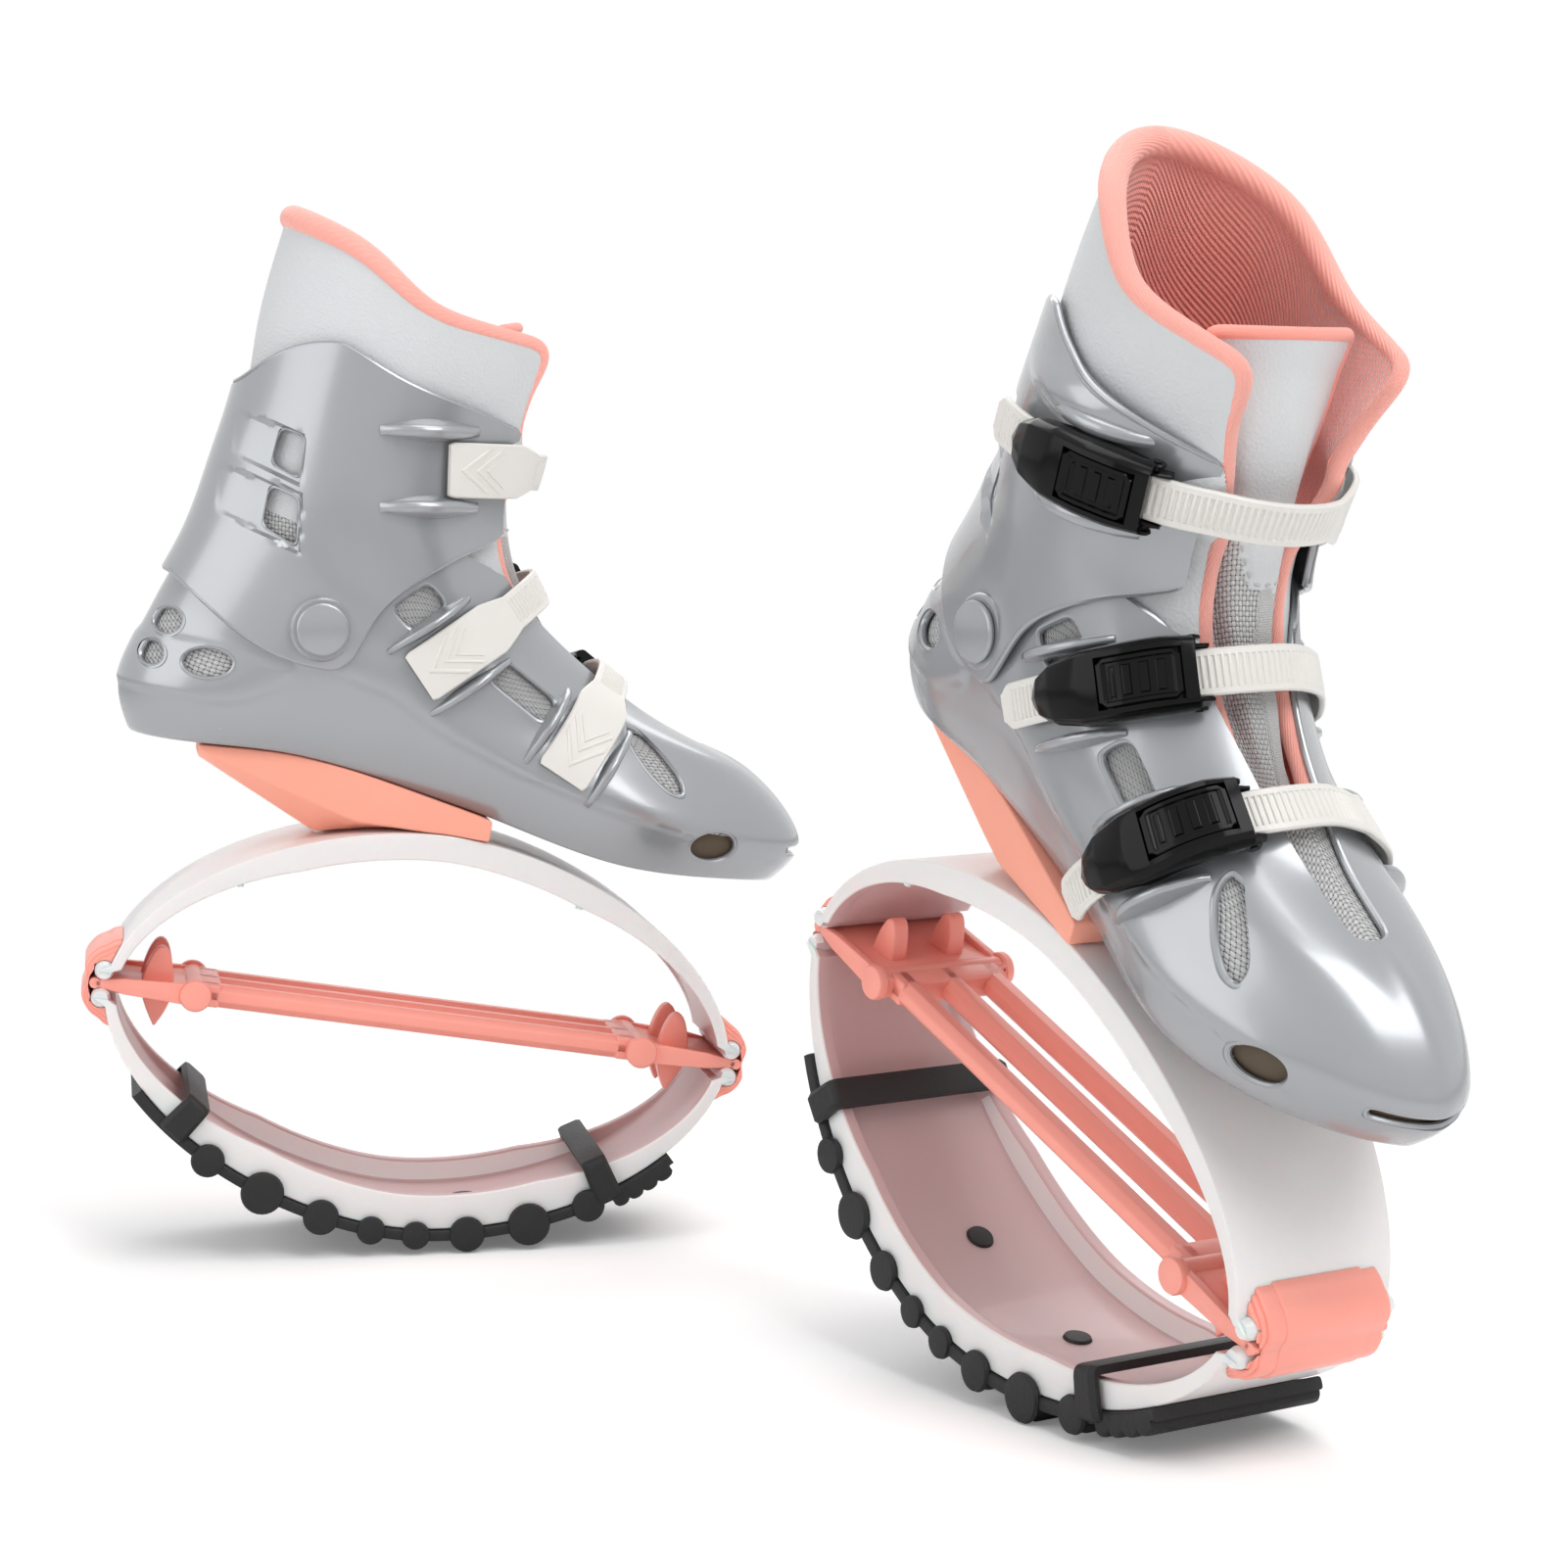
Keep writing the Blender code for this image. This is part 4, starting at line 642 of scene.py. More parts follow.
def rim_lines(obj: Piece, thickness: float, step: float) -> list[Points]:
    """Middle lines of a wall's cut edges.

    Args:
        obj: the wall, whose edge faces have the edge slot.
        thickness: about how thick the wall is.
        step: spacing of the points.

    Returns:
        One closed line of points for each opening or outline.
    """
    shape = bmesh.new()
    shape.from_mesh(obj.data)
    shape.verts.ensure_lookup_table()
    links: dict[int, list[int]] = {}
    for edge in shape.edges:
        marks = [face.material_index == Zone.EDGE.value for face in edge.link_faces]
        if len(marks) == 2 and marks[0] != marks[1]:
            start, end = (vertex.index for vertex in edge.verts)
            links.setdefault(start, []).append(end)
            links.setdefault(end, []).append(start)
    loops = []
    left = set(links)
    while left:
        at = min(left)
        chain = []
        while at is not None:
            left.discard(at)
            chain.append(tuple(shape.verts[at].co))
            at = next((other for other in links[at] if other in left), None)
        if len(chain) > 8:
            loops.append(resample(np.array(chain), step, True))
    shape.free()
    lines = []
    for index, loop in enumerate(loops):
        best, partner = 2.5 * thickness, None
        for other in loops[index + 1:]:
            gaps = np.linalg.norm(loop[:, None] - other[None], axis=2).min(axis=1)
            if gaps.mean() < best:
                best, partner = gaps.mean(), other
        if partner is not None:
            gaps = np.linalg.norm(loop[:, None] - partner[None], axis=2)
            lines.append(smoothed((loop + partner[gaps.argmin(axis=1)]) / 2, 2, True))
    return lines


def marked(obj: Piece, slot: int, chosen: Callable[[Vector, Vector], bool], only: int | None = None) -> Piece:
    """Gives the chosen faces another material slot.

    Args:
        obj: the object.
        slot: number of the slot.
        chosen: says from a face's centre and normal whether it changes.
        only: the slot that faces must have to change.

    Returns:
        The object.
    """
    for face in obj.data.polygons:
        if (only is None or face.material_index == only) and chosen(face.center, face.normal):
            face.material_index = slot
    return obj


# The boot's form


@dataclass(frozen=True)
class BootForm:
    """The boot's outer form, by level up its rings and turn from heel to toe and back."""

    foot_length: float = 0.294
    half_width: float = 0.050
    height: float = 0.220
    heel_reach: float = 0.143
    sole_height: float = 0.103
    arch_gap: float = 0.003
    toe_swing_share: float = 0.07
    ring_shares: tuple[tuple[float, ...], ...] = (
        (0.071, 0.000, 0.915, -0.109, 0.00, 0.00, 0.00, 0.00, 0.00, 1.00),
        (0.041, 0.000, 0.942, -0.109, 0.84, 0.62, 0.58, 0.84, 0.98, 1.00),
        (0.020, 0.011, 0.973, -0.098, 1.06, 0.78, 0.74, 1.02, 1.16, 1.00),
        (0.000, 0.105, 1.000, -0.020, 1.24, 0.92, 0.90, 1.12, 1.12, 0.60),
        (0.033, 0.250, 0.915, 0.091, 1.10, 1.00, 0.92, 0.90, 0.98, 0.25),
        (0.072, 0.395, 0.745, 0.182, 1.00, 0.97, 0.92, 0.76, 0.54, 0.00),
        (0.094, 0.541, 0.575, 0.341, 0.88, 0.95, 0.95, 0.88, 0.68, 0.00),
        (0.112, 0.695, 0.514, 0.541, 0.82, 0.94, 0.95, 0.92, 0.84, 0.00),
        (0.133, 1.000, 0.554, 0.814, 0.85, 0.94, 0.96, 0.92, 0.84, 0.00),
    )
    sole_bend_shares: tuple[float, ...] = (0.0, 0.034, 0.009, -0.027, -0.005)
    collar_bend_shares: tuple[float, ...] = (0.0, -0.005, -0.045, -0.025, 0.0)

    @property
    def top_level(self) -> int:
        """The level of the collar's rim."""
        return len(self.ring_shares) - 1

    def side_point(self, shares: Pair) -> Pair:
        """Side-view x and z of a pair of boot shares."""
        along, up = shares
        return self.foot_length * along - self.heel_reach, self.sole_height + self.height * up

    def outline(self, shares: Iterable[Pair]) -> list[Pair]:
        """Side-view points of a list of boot shares."""
        return [self.side_point(pair) for pair in shares]

    def surface(self, level: Points, turn: Points) -> Points:
        """Points of the outer form.

        Args:
            level: rings up from the sole's middle line.
            turn: angle from heel to toe and back, in radians.

        Returns:
            Points in the shoe's frame.
        """
        level, turn = np.broadcast_arrays(np.asarray(level, float), np.asarray(turn, float))
        ring = spline(self.ring_shares, level)
        along = (1 - np.cos(turn)) / 2
        x = self.foot_length * (ring[..., 0] + (ring[..., 2] - ring[..., 0]) * along)
        x = x - self.heel_reach
        z = ring[..., 1] + (ring[..., 3] - ring[..., 1]) * along
        z += ring[..., 9] * spline(self.sole_bend_shares, 4 * along)
        top = np.clip(level - self.top_level + 1, 0, 1)
        z += top * spline(self.collar_bend_shares, 4 * along)
        z = self.sole_height + self.height * z
        z = np.maximum(z, Bows.height_at(x, Bows.upper_rise) + self.arch_gap)
        width = self._width(ring[..., 4:9], 4 * along)
        swing = self.toe_swing_share * along**3 * np.clip(1 - level / self.top_level, 0, 1)
        y = -self.half_width * (width * np.sin(turn) + swing)
        return np.stack([x, y, z], -1)

    @staticmethod
    def _width(widths: Points, place: Points) -> Points:
        """Half-width shares read smoothly along each ring.

        Args:
            widths: shares at five places round each ring.
            place: from 0 at the heel to 4 at the toe.

        Returns:
            The half-width shares.
        """
        first = np.minimum(place.astype(int), 3)
        part = place - first

        def row(step: int) -> Points:
            """The widths some steps from each place."""
            index = np.clip(first + step, 0, 4)[..., None]
            return np.take_along_axis(widths, index, -1)[..., 0]

        return between(*(row(step) for step in (-1, 0, 1, 2)), part)

    def offset(self, level: Points, turn: Points, out: Points | float) -> Points:
        """The outer form moved out along its own normal.

        Args:
            level: rings up from the sole's middle line.
            turn: angles from heel to toe and back.
            out: how far out.

        Returns:
            The moved points.
        """
        level, turn = np.broadcast_arrays(np.asarray(level, float), np.asarray(turn, float))
        step = 0.02
        low = np.clip(level - step, step, self.top_level - 2 * step)
        level_slope = self.surface(low + 2 * step, turn) - self.surface(low, turn)
        height = np.maximum(level, step)
        turn_slope = self.surface(height, turn + step) - self.surface(height, turn - step)
        normal = np.cross(turn_slope, level_slope)
        folded = np.clip(np.arccos(np.cos(turn)), 10 * step, math.pi - 10 * step)
        line = self.surface(0, folded + step) - self.surface(0, folded - step)
        down = np.stack([line[..., 2], np.zeros(line.shape[:-1]), -line[..., 0]], -1)
        normal = np.where(level[..., None] < step, down, normal)
        normal /= np.maximum(np.linalg.norm(normal, axis=-1, keepdims=True), 1e-12)
        return self.surface(level, turn) + normal * np.asarray(out)[..., None]

    def tree(self, out: float) -> BVHTree:
        """A search tree of the outer form moved out.

        Args:
            out: how far out.

        Returns:
            The search tree.
        """
        levels = np.linspace(0, self.top_level, 4 * self.top_level + 1)[:, None]
        turns = around(96)[None, :]
        grid = self.offset(levels, turns, out)
        points = [Vector(point) for point in grid.reshape(-1, 3)]
        return BVHTree.FromPolygons(points, grid_faces(levels.size, turns.size, True))


def side_cutter(form: BootForm, outline: Outline, side: int) -> Piece:
    """A cutter through one side wall, from short of the boot's middle outward."""
    ends = (side * form.half_width * form.toe_swing_share, side * (form.half_width + CUT_OVERRUN))
    return prism(outline, min(ends), max(ends), "Y")


def side_hit(tree: BVHTree, x: float, z: float, side: int) -> tuple[Points, Points]:
    """Point and outward normal of the form's side wall at a side-view place.

    Args:
        tree: search tree of the boot's form.
        x: place forward.
        z: place up.
        side: 1 for the outer side and -1 for the inner.

    Returns:
        The point and the normal.
    """
    start = Vector((x, side * 2 * BootForm.half_width, z))
    point, normal, _, _ = tree.ray_cast(start, Vector((0, -side, 0)))
    if point is None:
        point, normal, _, _ = tree.find_nearest(Vector((x, side * BootForm.half_width / 2, z)))
    if normal.y * side < 0:
        normal = -normal
    return np.array(point), np.array(normal)


@dataclass
class StrapPath:
    """The taut line that a strap follows round the boot, from its fixed end to its free end.

    The shares of its place over the instep, and of its two ends, are the boot form's.
    """

    form: BootForm
    tree: BVHTree
    over: Pair
    fixed: Pair
    free: Pair
    reach_turn: float = math.radians(135)
    swing_turn: float = math.radians(60)
    plate_width: float = 0.0225
    gap: float = 0.0029
    tail: float = 0.020
    lever_length: float = 0.054
    base_length: float = 0.040
    base_rise: float = 0.0022
    points: int = 73

    def __post_init__(self) -> None:
        """Finds the strap's taut line over the form."""
        x, z = self.form.side_point(self.over)
        self.middle = np.array([x, 0, z])
        self.lines: dict[int, tuple[Points, float]] = {}
        for side, end in ((-1, self.fixed), (1, self.free)):
            x, z = self.form.side_point(end)
            line = np.array([x, 0, z]) - self.middle
            self.lines[side] = (line / np.linalg.norm(line), float(np.linalg.norm(line)))
        turns = np.linspace(-self.reach_turn, self.reach_turn, 49)
        edges = [self._taut(turns, self.plate_width / 2 * aside) for aside in (-1, 0, 1)]
        self._build(*edges)

    def _directions(self, turns: Points) -> Points:
        """Direction down the strap's side at each turn.

        Args:
            turns: angles over the instep, from the inner side to the outer.

        Returns:
            Unit directions in side view.
        """
        share = np.clip(turns / self.swing_turn, -1, 1)
        share = ((3 * share - share**3) / 2 + 1) / 2
        line = self.lines[-1][0] + (self.lines[1][0] - self.lines[-1][0]) * share[:, None]
        return line / np.linalg.norm(line, axis=1, keepdims=True)

    def _taut(self, turns: Points, aside: float) -> Points:
        """Points of the form pulled taut, beside the strap's middle.

        Args:
            turns: angles over the instep, from the inner side to the outer.
            aside: how far beside the strap's middle.

        Returns:
            The points.
        """
        line = self._directions(turns)
        across = np.stack([-line[:, 2], line[:, 1], line[:, 0]], -1)
        start = self.middle + line * BootForm.half_width + across * aside
        way = -line * np.cos(turns)[:, None] + np.array([0, 1, 0]) * np.sin(turns)[:, None]
        reach = np.empty(len(turns))
        for index in range(len(turns)):
            hit = self.tree.ray_cast(Vector(start[index]), Vector(way[index]))[0]
            reach[index] = (Vector(start[index]) - hit).length
        kept: list[int] = []
        for index in range(len(turns)):
            while len(kept) > 1:
                (ax, ay), (bx, by), (cx, cy) = (
                    (-reach[at] * math.cos(turns[at]), reach[at] * math.sin(turns[at]))
                    for at in (*kept[-2:], index)
                )
                if (bx - ax) * (cy - ay) - (by - ay) * (cx - ax) < 0:
                    break
                kept.pop()
            kept.append(index)
        taut = reach.copy()
        for low, high in zip(kept, kept[1:]):
            at = turns[low:high + 1]
            spread = reach[low] * np.sin(at - turns[low]) + reach[high] * np.sin(turns[high] - at)
            span = math.sin(turns[high] - turns[low])
            taut[low:high + 1] = reach[low] * reach[high] * span / spread
        return start + way * taut[:, None]

    def _build(self, near: Points, centre: Points, far: Points) -> None:
        """Spaces points and axes evenly, lifted where the buckle sits.

        Args:
            near: points of the strap's one edge.
            centre: points of its middle.
            far: points of its other edge.
        """
        side = np.where(centre[:, 1] < 0, -1, 1)
        depth = np.array([(p - self.middle) @ self.lines[end][0] for p, end in zip(centre, side)])
        limit = np.array([self.lines[end][1] for end in side])
        inside = np.flatnonzero(depth <= limit)
        part = slice(inside[0], inside[-1] + 1)
        near, centre, far = near[part], centre[part], far[part]
        steps = np.linalg.norm(np.diff(centre, axis=0), axis=1)
        steps = np.concatenate([[0], np.cumsum(steps)])
        self.length = float(steps[-1])
        self.at = np.linspace(0, self.length, self.points)

        def even(line: Points) -> Points:
            """The line at even lengths along the strap."""
            line = np.stack([np.interp(self.at, steps, line[:, axis]) for axis in range(3)], -1)
            return smoothed(line, 2, False)

        near, centre, far = even(near), even(centre), even(far)
        along = np.gradient(centre, axis=0)
        along /= np.linalg.norm(along, axis=1, keepdims=True)
        out = np.cross(far - near, along)
        out /= np.linalg.norm(out, axis=1, keepdims=True)
        out *= -np.sign(out[len(out) // 2] @ self.lines[1][0])
        self.along, self.out = along, out
        self.across = np.cross(along, out)
        chord = (near + far) / 2
        bulge = np.maximum(((centre - chord) * out).sum(axis=1, keepdims=True), 0)
        self.seat = chord + out * (bulge + self.gap)
        start = self.length - self.tail - self.lever_length
        rise = ease(self.at, start - self.base_length / 2, start)
        self.raised = self.seat + out * (rise * self.base_rise)[:, None]

    def axes(self, place: float, line: Points) -> tuple[Points, ...]:
        """Point, along, across and out at a length along the strap.

        Args:
            place: length along the strap.
            line: the line that the point lies on.

        Returns:
            The point and the three directions.
        """
        rows = [
            np.array([np.interp(place, self.at, table[:, axis]) for axis in range(3)])
            for table in (line, self.along, self.across, self.out)
        ]
        return rows[0], *(row / np.linalg.norm(row) for row in rows[1:])

    def section(self, place: float, outline: Outline, line: Points) -> list[Points]:
        """An outline of across and out values, placed at a length along the strap."""
        point, _, across, out = self.axes(place, line)
        return [point + across * wide + out * high for wide, high in outline]

    def sweep(self, places: Iterable[float], outline_at: Callable[[float], Outline], line: Points) -> Piece:
        """A solid through outlines placed along the strap."""
        return loft([self.section(place, outline_at(place), line) for place in places])

    def pin(self) -> float:
        """Length along the strap of the buckle's pin."""
        return self.length - self.tail - self.lever_length + 0.003


# Finishes


def feed(tree: Tree, socket: Socket, value: object) -> None:
    """Links a socket to another one, or sets the number or colour that it holds.

    Args:
        tree: the node tree.
        socket: the input.
        value: a socket, number or colour.
    """
    if isinstance(value, Socket):
        tree.links.new(value, socket)
    else:
        socket.default_value = value


def add_node(
    tree: Tree, kind: str, inputs: dict[object, object] | None = None, **settings: object,
) -> bpy.types.Node:
    """Adds a shader node.

    Args:
        tree: the tree that it goes into.
        kind: its type.
        inputs: a socket, number or colour for each input, by name or place.
        settings: its properties.

    Returns:
        The node.
    """
    node = tree.nodes.new("ShaderNode" + kind)
    for label, value in settings.items():
        setattr(node, label, value)
    for label, value in (inputs or {}).items():
        feed(tree, node.inputs[label], value)
    return node


def maths(tree: Tree, operation: str, *values: object) -> Socket:
    """The output of a Math node fed by sockets or numbers."""
    return add_node(tree, "Math", dict(enumerate(values)), operation=operation).outputs[0]


def blended(tree: Tree, share: Socket, colour: Socket, other: object) -> Socket:
    """The output of a node that mixes a colour with another one."""
    inputs = {"Factor": share, "A": colour, "B": other}
    return add_node(tree, "Mix", inputs, data_type="RGBA").outputs["Result"]


def open_group(name: str, inputs: dict[str, float], outputs: Sequence[str]) -> GroupEnds:
    """Opens a node group.

    Args:
        name: the group's name.
        inputs: its inputs, with what each plain number starts at.
        outputs: its outputs.

    Returns:
        The group, the sockets that bring its inputs, and those that take its outputs.
    """
    tree = bpy.data.node_groups.new(name, "ShaderNodeTree")
    kinds = {"Colour": "Color", "Tint": "Color", "Place": "Vector"}
    for way, labels in (("INPUT", inputs), ("OUTPUT", outputs)):
        for label in labels:
            kind = "NodeSocket" + kinds.get(label, "Float")
            socket = tree.interface.new_socket(label, in_out=way, socket_type=kind)
            if way == "INPUT" and label not in kinds:
                socket.default_value = inputs[label]
    return tree, tree.nodes.new("NodeGroupInput").outputs, tree.nodes.new("NodeGroupOutput").inputs


@cache
def patina() -> Tree:
    """Group: colour and roughness that drift a little over a surface, with fine dust.

    Returns:
        The group.
    """
    inputs = {"Colour": 0, "Tint": 0, "Place": 0, "Size": 20, "Drift": 0.2, "Roughness": 0.4, "Spread": 0.1}
    tree, start, end = open_group("patina", inputs, ("Colour", "Roughness"))
    cloud = add_node(tree, "TexNoise", {"Detail": 5, "Vector": start["Place"], "Scale": start["Size"]})
    dust = add_node(tree, "TexNoise", {"Scale": 900, "Detail": 2, "Vector": start["Place"]})
    amount = maths(tree, "MULTIPLY", cloud.outputs[0], start["Drift"])
    mix = blended(tree, amount, start["Colour"], start["Tint"])
    blur = maths(tree, "SUBTRACT", maths(tree, "ADD", cloud.outputs[0], dust.outputs[0]), 1.0)
    feed(tree, end["Colour"], mix)
    feed(tree, end["Roughness"], maths(tree, "MULTIPLY_ADD", blur, start["Spread"], start["Roughness"]))
    return tree


@cache
def pebble() -> Tree:
    """Group: leather grain, of small rounded cells with soft creases between them.

    Returns:
        The group.
    """
    tree, start, end = open_group("pebble", {"Place": 0, "Size": 700}, ("Height",))
    inputs = {"Vector": start["Place"], "Scale": start["Size"]}
    cells = add_node(tree, "TexVoronoi", inputs, feature="SMOOTH_F1")
    folds = add_node(tree, "TexNoise", {"Scale": 60, "Vector": start["Place"]})
    feed(tree, end["Height"], maths(tree, "MULTIPLY_ADD", folds.outputs[0], 0.8, cells.outputs["Distance"]))
    return tree


@cache
def weave() -> Tree:
    """Group: basket weave, of threads that pass over and under, with dark pores between them.

    Returns:
        The group.
    """
    tree, start, end = open_group("weave", {"Place": 0, "Pitch": 0.0012}, ("Height", "Pore"))
    parts = add_node(tree, "SeparateXYZ", {0: start["Place"]}).outputs
    turns = [maths(tree, "DIVIDE", parts[axis], start["Pitch"]) for axis in (0, 1)]
    waves = [maths(tree, "SINE", maths(tree, "MULTIPLY", turn, math.pi)) for turn in turns]
    flat = [maths(tree, "ABSOLUTE", wave) for wave in waves]
    ridge = maths(tree, "POWER", maths(tree, "MULTIPLY", *flat), 0.5)
    over = maths(tree, "MULTIPLY", *waves)
    feed(tree, end["Height"], maths(tree, "MULTIPLY_ADD", over, 0.35, ridge))
    feed(tree, end["Pore"], maths(tree, "LESS_THAN", maths(tree, "MAXIMUM", *flat), 0.42))
    return tree


@cache
def ribbing() -> Tree:
    """Group: knitted ribs that run on a slant over the surface.

    Returns:
        The group.
    """
    tree, start, end = open_group("ribbing", {"Place": 0, "Pitch": 0.002}, ("Height",))
    parts = add_node(tree, "SeparateXYZ", {0: start["Place"]}).outputs
    slant = maths(tree, "MULTIPLY_ADD", parts[0], 0.45, parts[1])
    waves = []
    for line, pace in ((slant, math.tau), (parts[0], 2 * math.tau)):
        turn = maths(tree, "MULTIPLY", maths(tree, "DIVIDE", line, start["Pitch"]), pace)
        waves.append(maths(tree, "SINE", turn))
    feed(tree, end["Height"], maths(tree, "MULTIPLY_ADD", waves[1], 0.25, waves[0]))
    return tree


@dataclass(frozen=True)
class Finish:
    """A procedural finish of one of the shoe's materials."""

    name: str
    slot: str
    colour: tuple[float, float, float]
    tint: tuple[float, float, float]
    roughness: float
    grain: Grain = Grain.MOULDED
    pitch: float = 0.0012
    depth: float = 0.0001
    metallic: float = 0.0
    coat: float = 0.0
    coat_roughness: float = 0.05
    specular: float = 0.5
    sheen: float = 0.0
    subsurface: float = 0.0
    subsurface_scale: float = 0.006
    drift: float = 0.5
    spread: float = 0.1
    cloud_size: float = 25.0
    pore: tuple[float, float, float] = (0.05, 0.05, 0.05)

    def material(self) -> bpy.types.Material:
        """The finish as a material, made once.

        Returns:
            The material.
        """
        known = bpy.data.materials.get(self.name)
        if known:
            return known
        material = bpy.data.materials.new(self.name)
        material.use_nodes = True
        material.diffuse_color = (*self.colour, 1)
        tree = material.node_tree
        place = add_node(tree, "TexCoord").outputs
        drift = add_node(tree, "Group", {
            "Place": place["Object"], "Colour": (*self.colour, 1), "Tint": (*self.tint, 1),
            "Size": self.cloud_size, "Drift": self.drift, "Roughness": self.roughness, "Spread": self.spread,
        }, node_tree=patina())
        height, colour = self._relief(tree, place, drift.outputs["Colour"])
        bump = add_node(tree, "Bump", {"Distance": self.depth, "Height": height})
        shader = tree.nodes["Principled BSDF"].inputs
        for label, value in {
            "Metallic": self.metallic, "Specular IOR Level": self.specular, "Sheen Weight": self.sheen,
            "Coat Weight": self.coat, "Coat Roughness": self.coat_roughness,
            "Subsurface Weight": self.subsurface, "Subsurface Scale": self.subsurface_scale,
            "Roughness": drift.outputs["Roughness"], "Normal": bump.outputs["Normal"], "Base Color": colour,
        }.items():
            feed(tree, shader[label], value)
        return material

    def _relief(self, tree: Tree, place: bpy.types.NodeOutputs, colour: Socket) -> tuple[Socket, Socket]:
        """Height and colour sockets of the finish's grain.

        Args:
            tree: the material's tree.
            place: the coordinates that the grain can follow.
            colour: colour before the grain.

        Returns:
            The two sockets.
        """
        if self.grain is Grain.MOULDED:
            inputs = {"Scale": 1 / self.pitch, "Detail": 3, "Vector": place["Object"]}
            return add_node(tree, "TexNoise", inputs).outputs[0], colour
        if self.grain is Grain.PEBBLED:
            inputs = {"Size": 1 / self.pitch, "Place": place["Object"]}
            return add_node(tree, "Group", inputs, node_tree=pebble()).outputs["Height"], colour
        inputs = {"Pitch": self.pitch, "Place": place["UV"]}
        if self.grain is Grain.RIBBED:
            return add_node(tree, "Group", inputs, node_tree=ribbing()).outputs["Height"], colour
        cloth = add_node(tree, "Group", inputs, node_tree=weave()).outputs
        return cloth["Height"], blended(tree, cloth["Pore"], colour, (*self.pore, 1))


PEARL = Finish(
    "pearl_plastic", "shell", (0.325, 0.338, 0.354), (0.40, 0.412, 0.426), 0.25, pitch=0.02,
    depth=0.00001, metallic=0.45, coat=0.40, drift=0.6, spread=0.05, cloud_size=14,
)
LEATHER = Finish(
    "collar_leatherette", "leather", (0.60, 0.62, 0.635), (0.70, 0.71, 0.72), 0.48,
    Grain.PEBBLED, 0.0011, 0.00022, sheen=0.1, drift=0.6,
)
PINK = Finish(
    "pink_binding", "wedge", (1.0, 0.34, 0.27), (1.0, 0.43, 0.36), 0.75, Grain.WOVEN, 0.0006,
    0.00008, sheen=0.3, pore=(0.85, 0.24, 0.19),
)
KNIT = Finish(
    "salmon_knit", "wedge", (1.0, 0.35, 0.29), (1.0, 0.46, 0.39), 0.85, Grain.RIBBED, 0.0022,
    0.00025, sheen=0.8,
)
ROLL = Finish(
    "salmon_roll", "wedge", (1.0, 0.40, 0.33), (1.0, 0.50, 0.43), 0.8, Grain.RIBBED, 0.0018,
    0.00008, sheen=0.4,
)
MESH = Finish(
    "grey_mesh", "mesh", (0.58, 0.58, 0.58), (0.70, 0.70, 0.70), 0.8, Grain.WOVEN, 0.0017,
    0.0007, pore=(0.08, 0.08, 0.08),
)
WEBBING = Finish(
    "white_webbing", "mesh", (0.68, 0.68, 0.68), (0.76, 0.76, 0.76), 0.7, Grain.WOVEN, 0.0008,
    0.0004, pore=(0.35, 0.35, 0.35),
)
STITCH = Finish("stitch_thread", "leather", (0.50, 0.50, 0.50), (0.6, 0.6, 0.6), 0.7)
PINK_STITCH = Finish("pink_stitch", "wedge", (0.75, 0.16, 0.12), (0.8, 0.2, 0.15), 0.7)
STRAP = Finish(
    "strap_plastic", "strap", (0.74, 0.72, 0.68), (0.80, 0.78, 0.75), 0.42, pitch=0.0008,
    depth=0.00004, coat=0.1, drift=0.5,
)
BUCKLE = Finish(
    "buckle_plastic", "buckle", (0.003, 0.003, 0.003), (0.006, 0.006, 0.006), 0.16, pitch=0.02,
    depth=0.00001, specular=0.15, spread=0.05,
)
STEEL = Finish(
    "screw_steel", "steel", (0.55, 0.55, 0.55), (0.65, 0.65, 0.65), 0.35, metallic=1.0,
)
WEDGE = Finish(
    "wedge_rubber", "wedge", (1.0, 0.38, 0.27), (1.0, 0.46, 0.35), 0.5, pitch=0.0009,
    depth=0.00005, subsurface=0.1,
)
BAR = Finish(
    "bar_rubber", "bar", (1.0, 0.34, 0.27), (1.0, 0.42, 0.34), 0.42, pitch=0.001,
    depth=0.00005, coat=0.15, subsurface=0.1,
)
MILKY = Finish(
    "milky_plastic", "arch", (0.80, 0.79, 0.785), (0.86, 0.85, 0.845), 0.34, pitch=0.004,
    depth=0.00008, coat=0.2, subsurface=0.35, drift=0.6,
)
# Painted shade: the milky plastic again, darker and tinted pink, for the bows' inner channel faces, standing
# in for shade and for pink light bounced from the bar.
MILKY_PAINTED_SHADE = Finish(
    "milky_painted_shade", "arch", (0.56, 0.40, 0.40), (0.66, 0.50, 0.50), 0.4, pitch=0.004,
    depth=0.00008, coat=0.15, subsurface=0.2, drift=0.8, cloud_size=12,
)
RUBBER = Finish(
    "tread_rubber", "rubber", (0.012, 0.012, 0.012), (0.026, 0.026, 0.027), 0.55, pitch=0.0012,
    depth=0.00012, specular=0.35, drift=0.8, spread=0.2,
)
BOARD = Finish(
    "toe_board", "board", (0.085, 0.062, 0.04), (0.14, 0.105, 0.07), 0.8, pitch=0.001, depth=0.0002,
)


# Placing


@dataclass(frozen=True)
class Shoe:
    """One shoe of the pair: which side, how it stands and which way it is mirrored."""

    side: str
    turns: tuple[float, float, float]
    mirror: int
    rivet_shares: Pair = (0.262, 0.250)

    def matrix(self) -> Matrix:
        """From the shoe's own frame to the world, hung on its cuff rivet.

        Returns:
            The matrix.
        """
        yaw, pitch, roll = (math.radians(turn) for turn in self.turns)
        turn = Euler((roll, pitch, yaw)).to_matrix() @ Matrix.Diagonal((1, self.mirror, 1))
        x, z = BootForm().side_point(self.rivet_shares)
        joint = next(j for j in frame["joints"] if j["name"] == f"{self.side}_cuff_flex")
        place = Vector(joint["pos_m"]) - turn @ Vector((x, 0, z))
        return Matrix.Translation(place) @ turn.to_4x4()


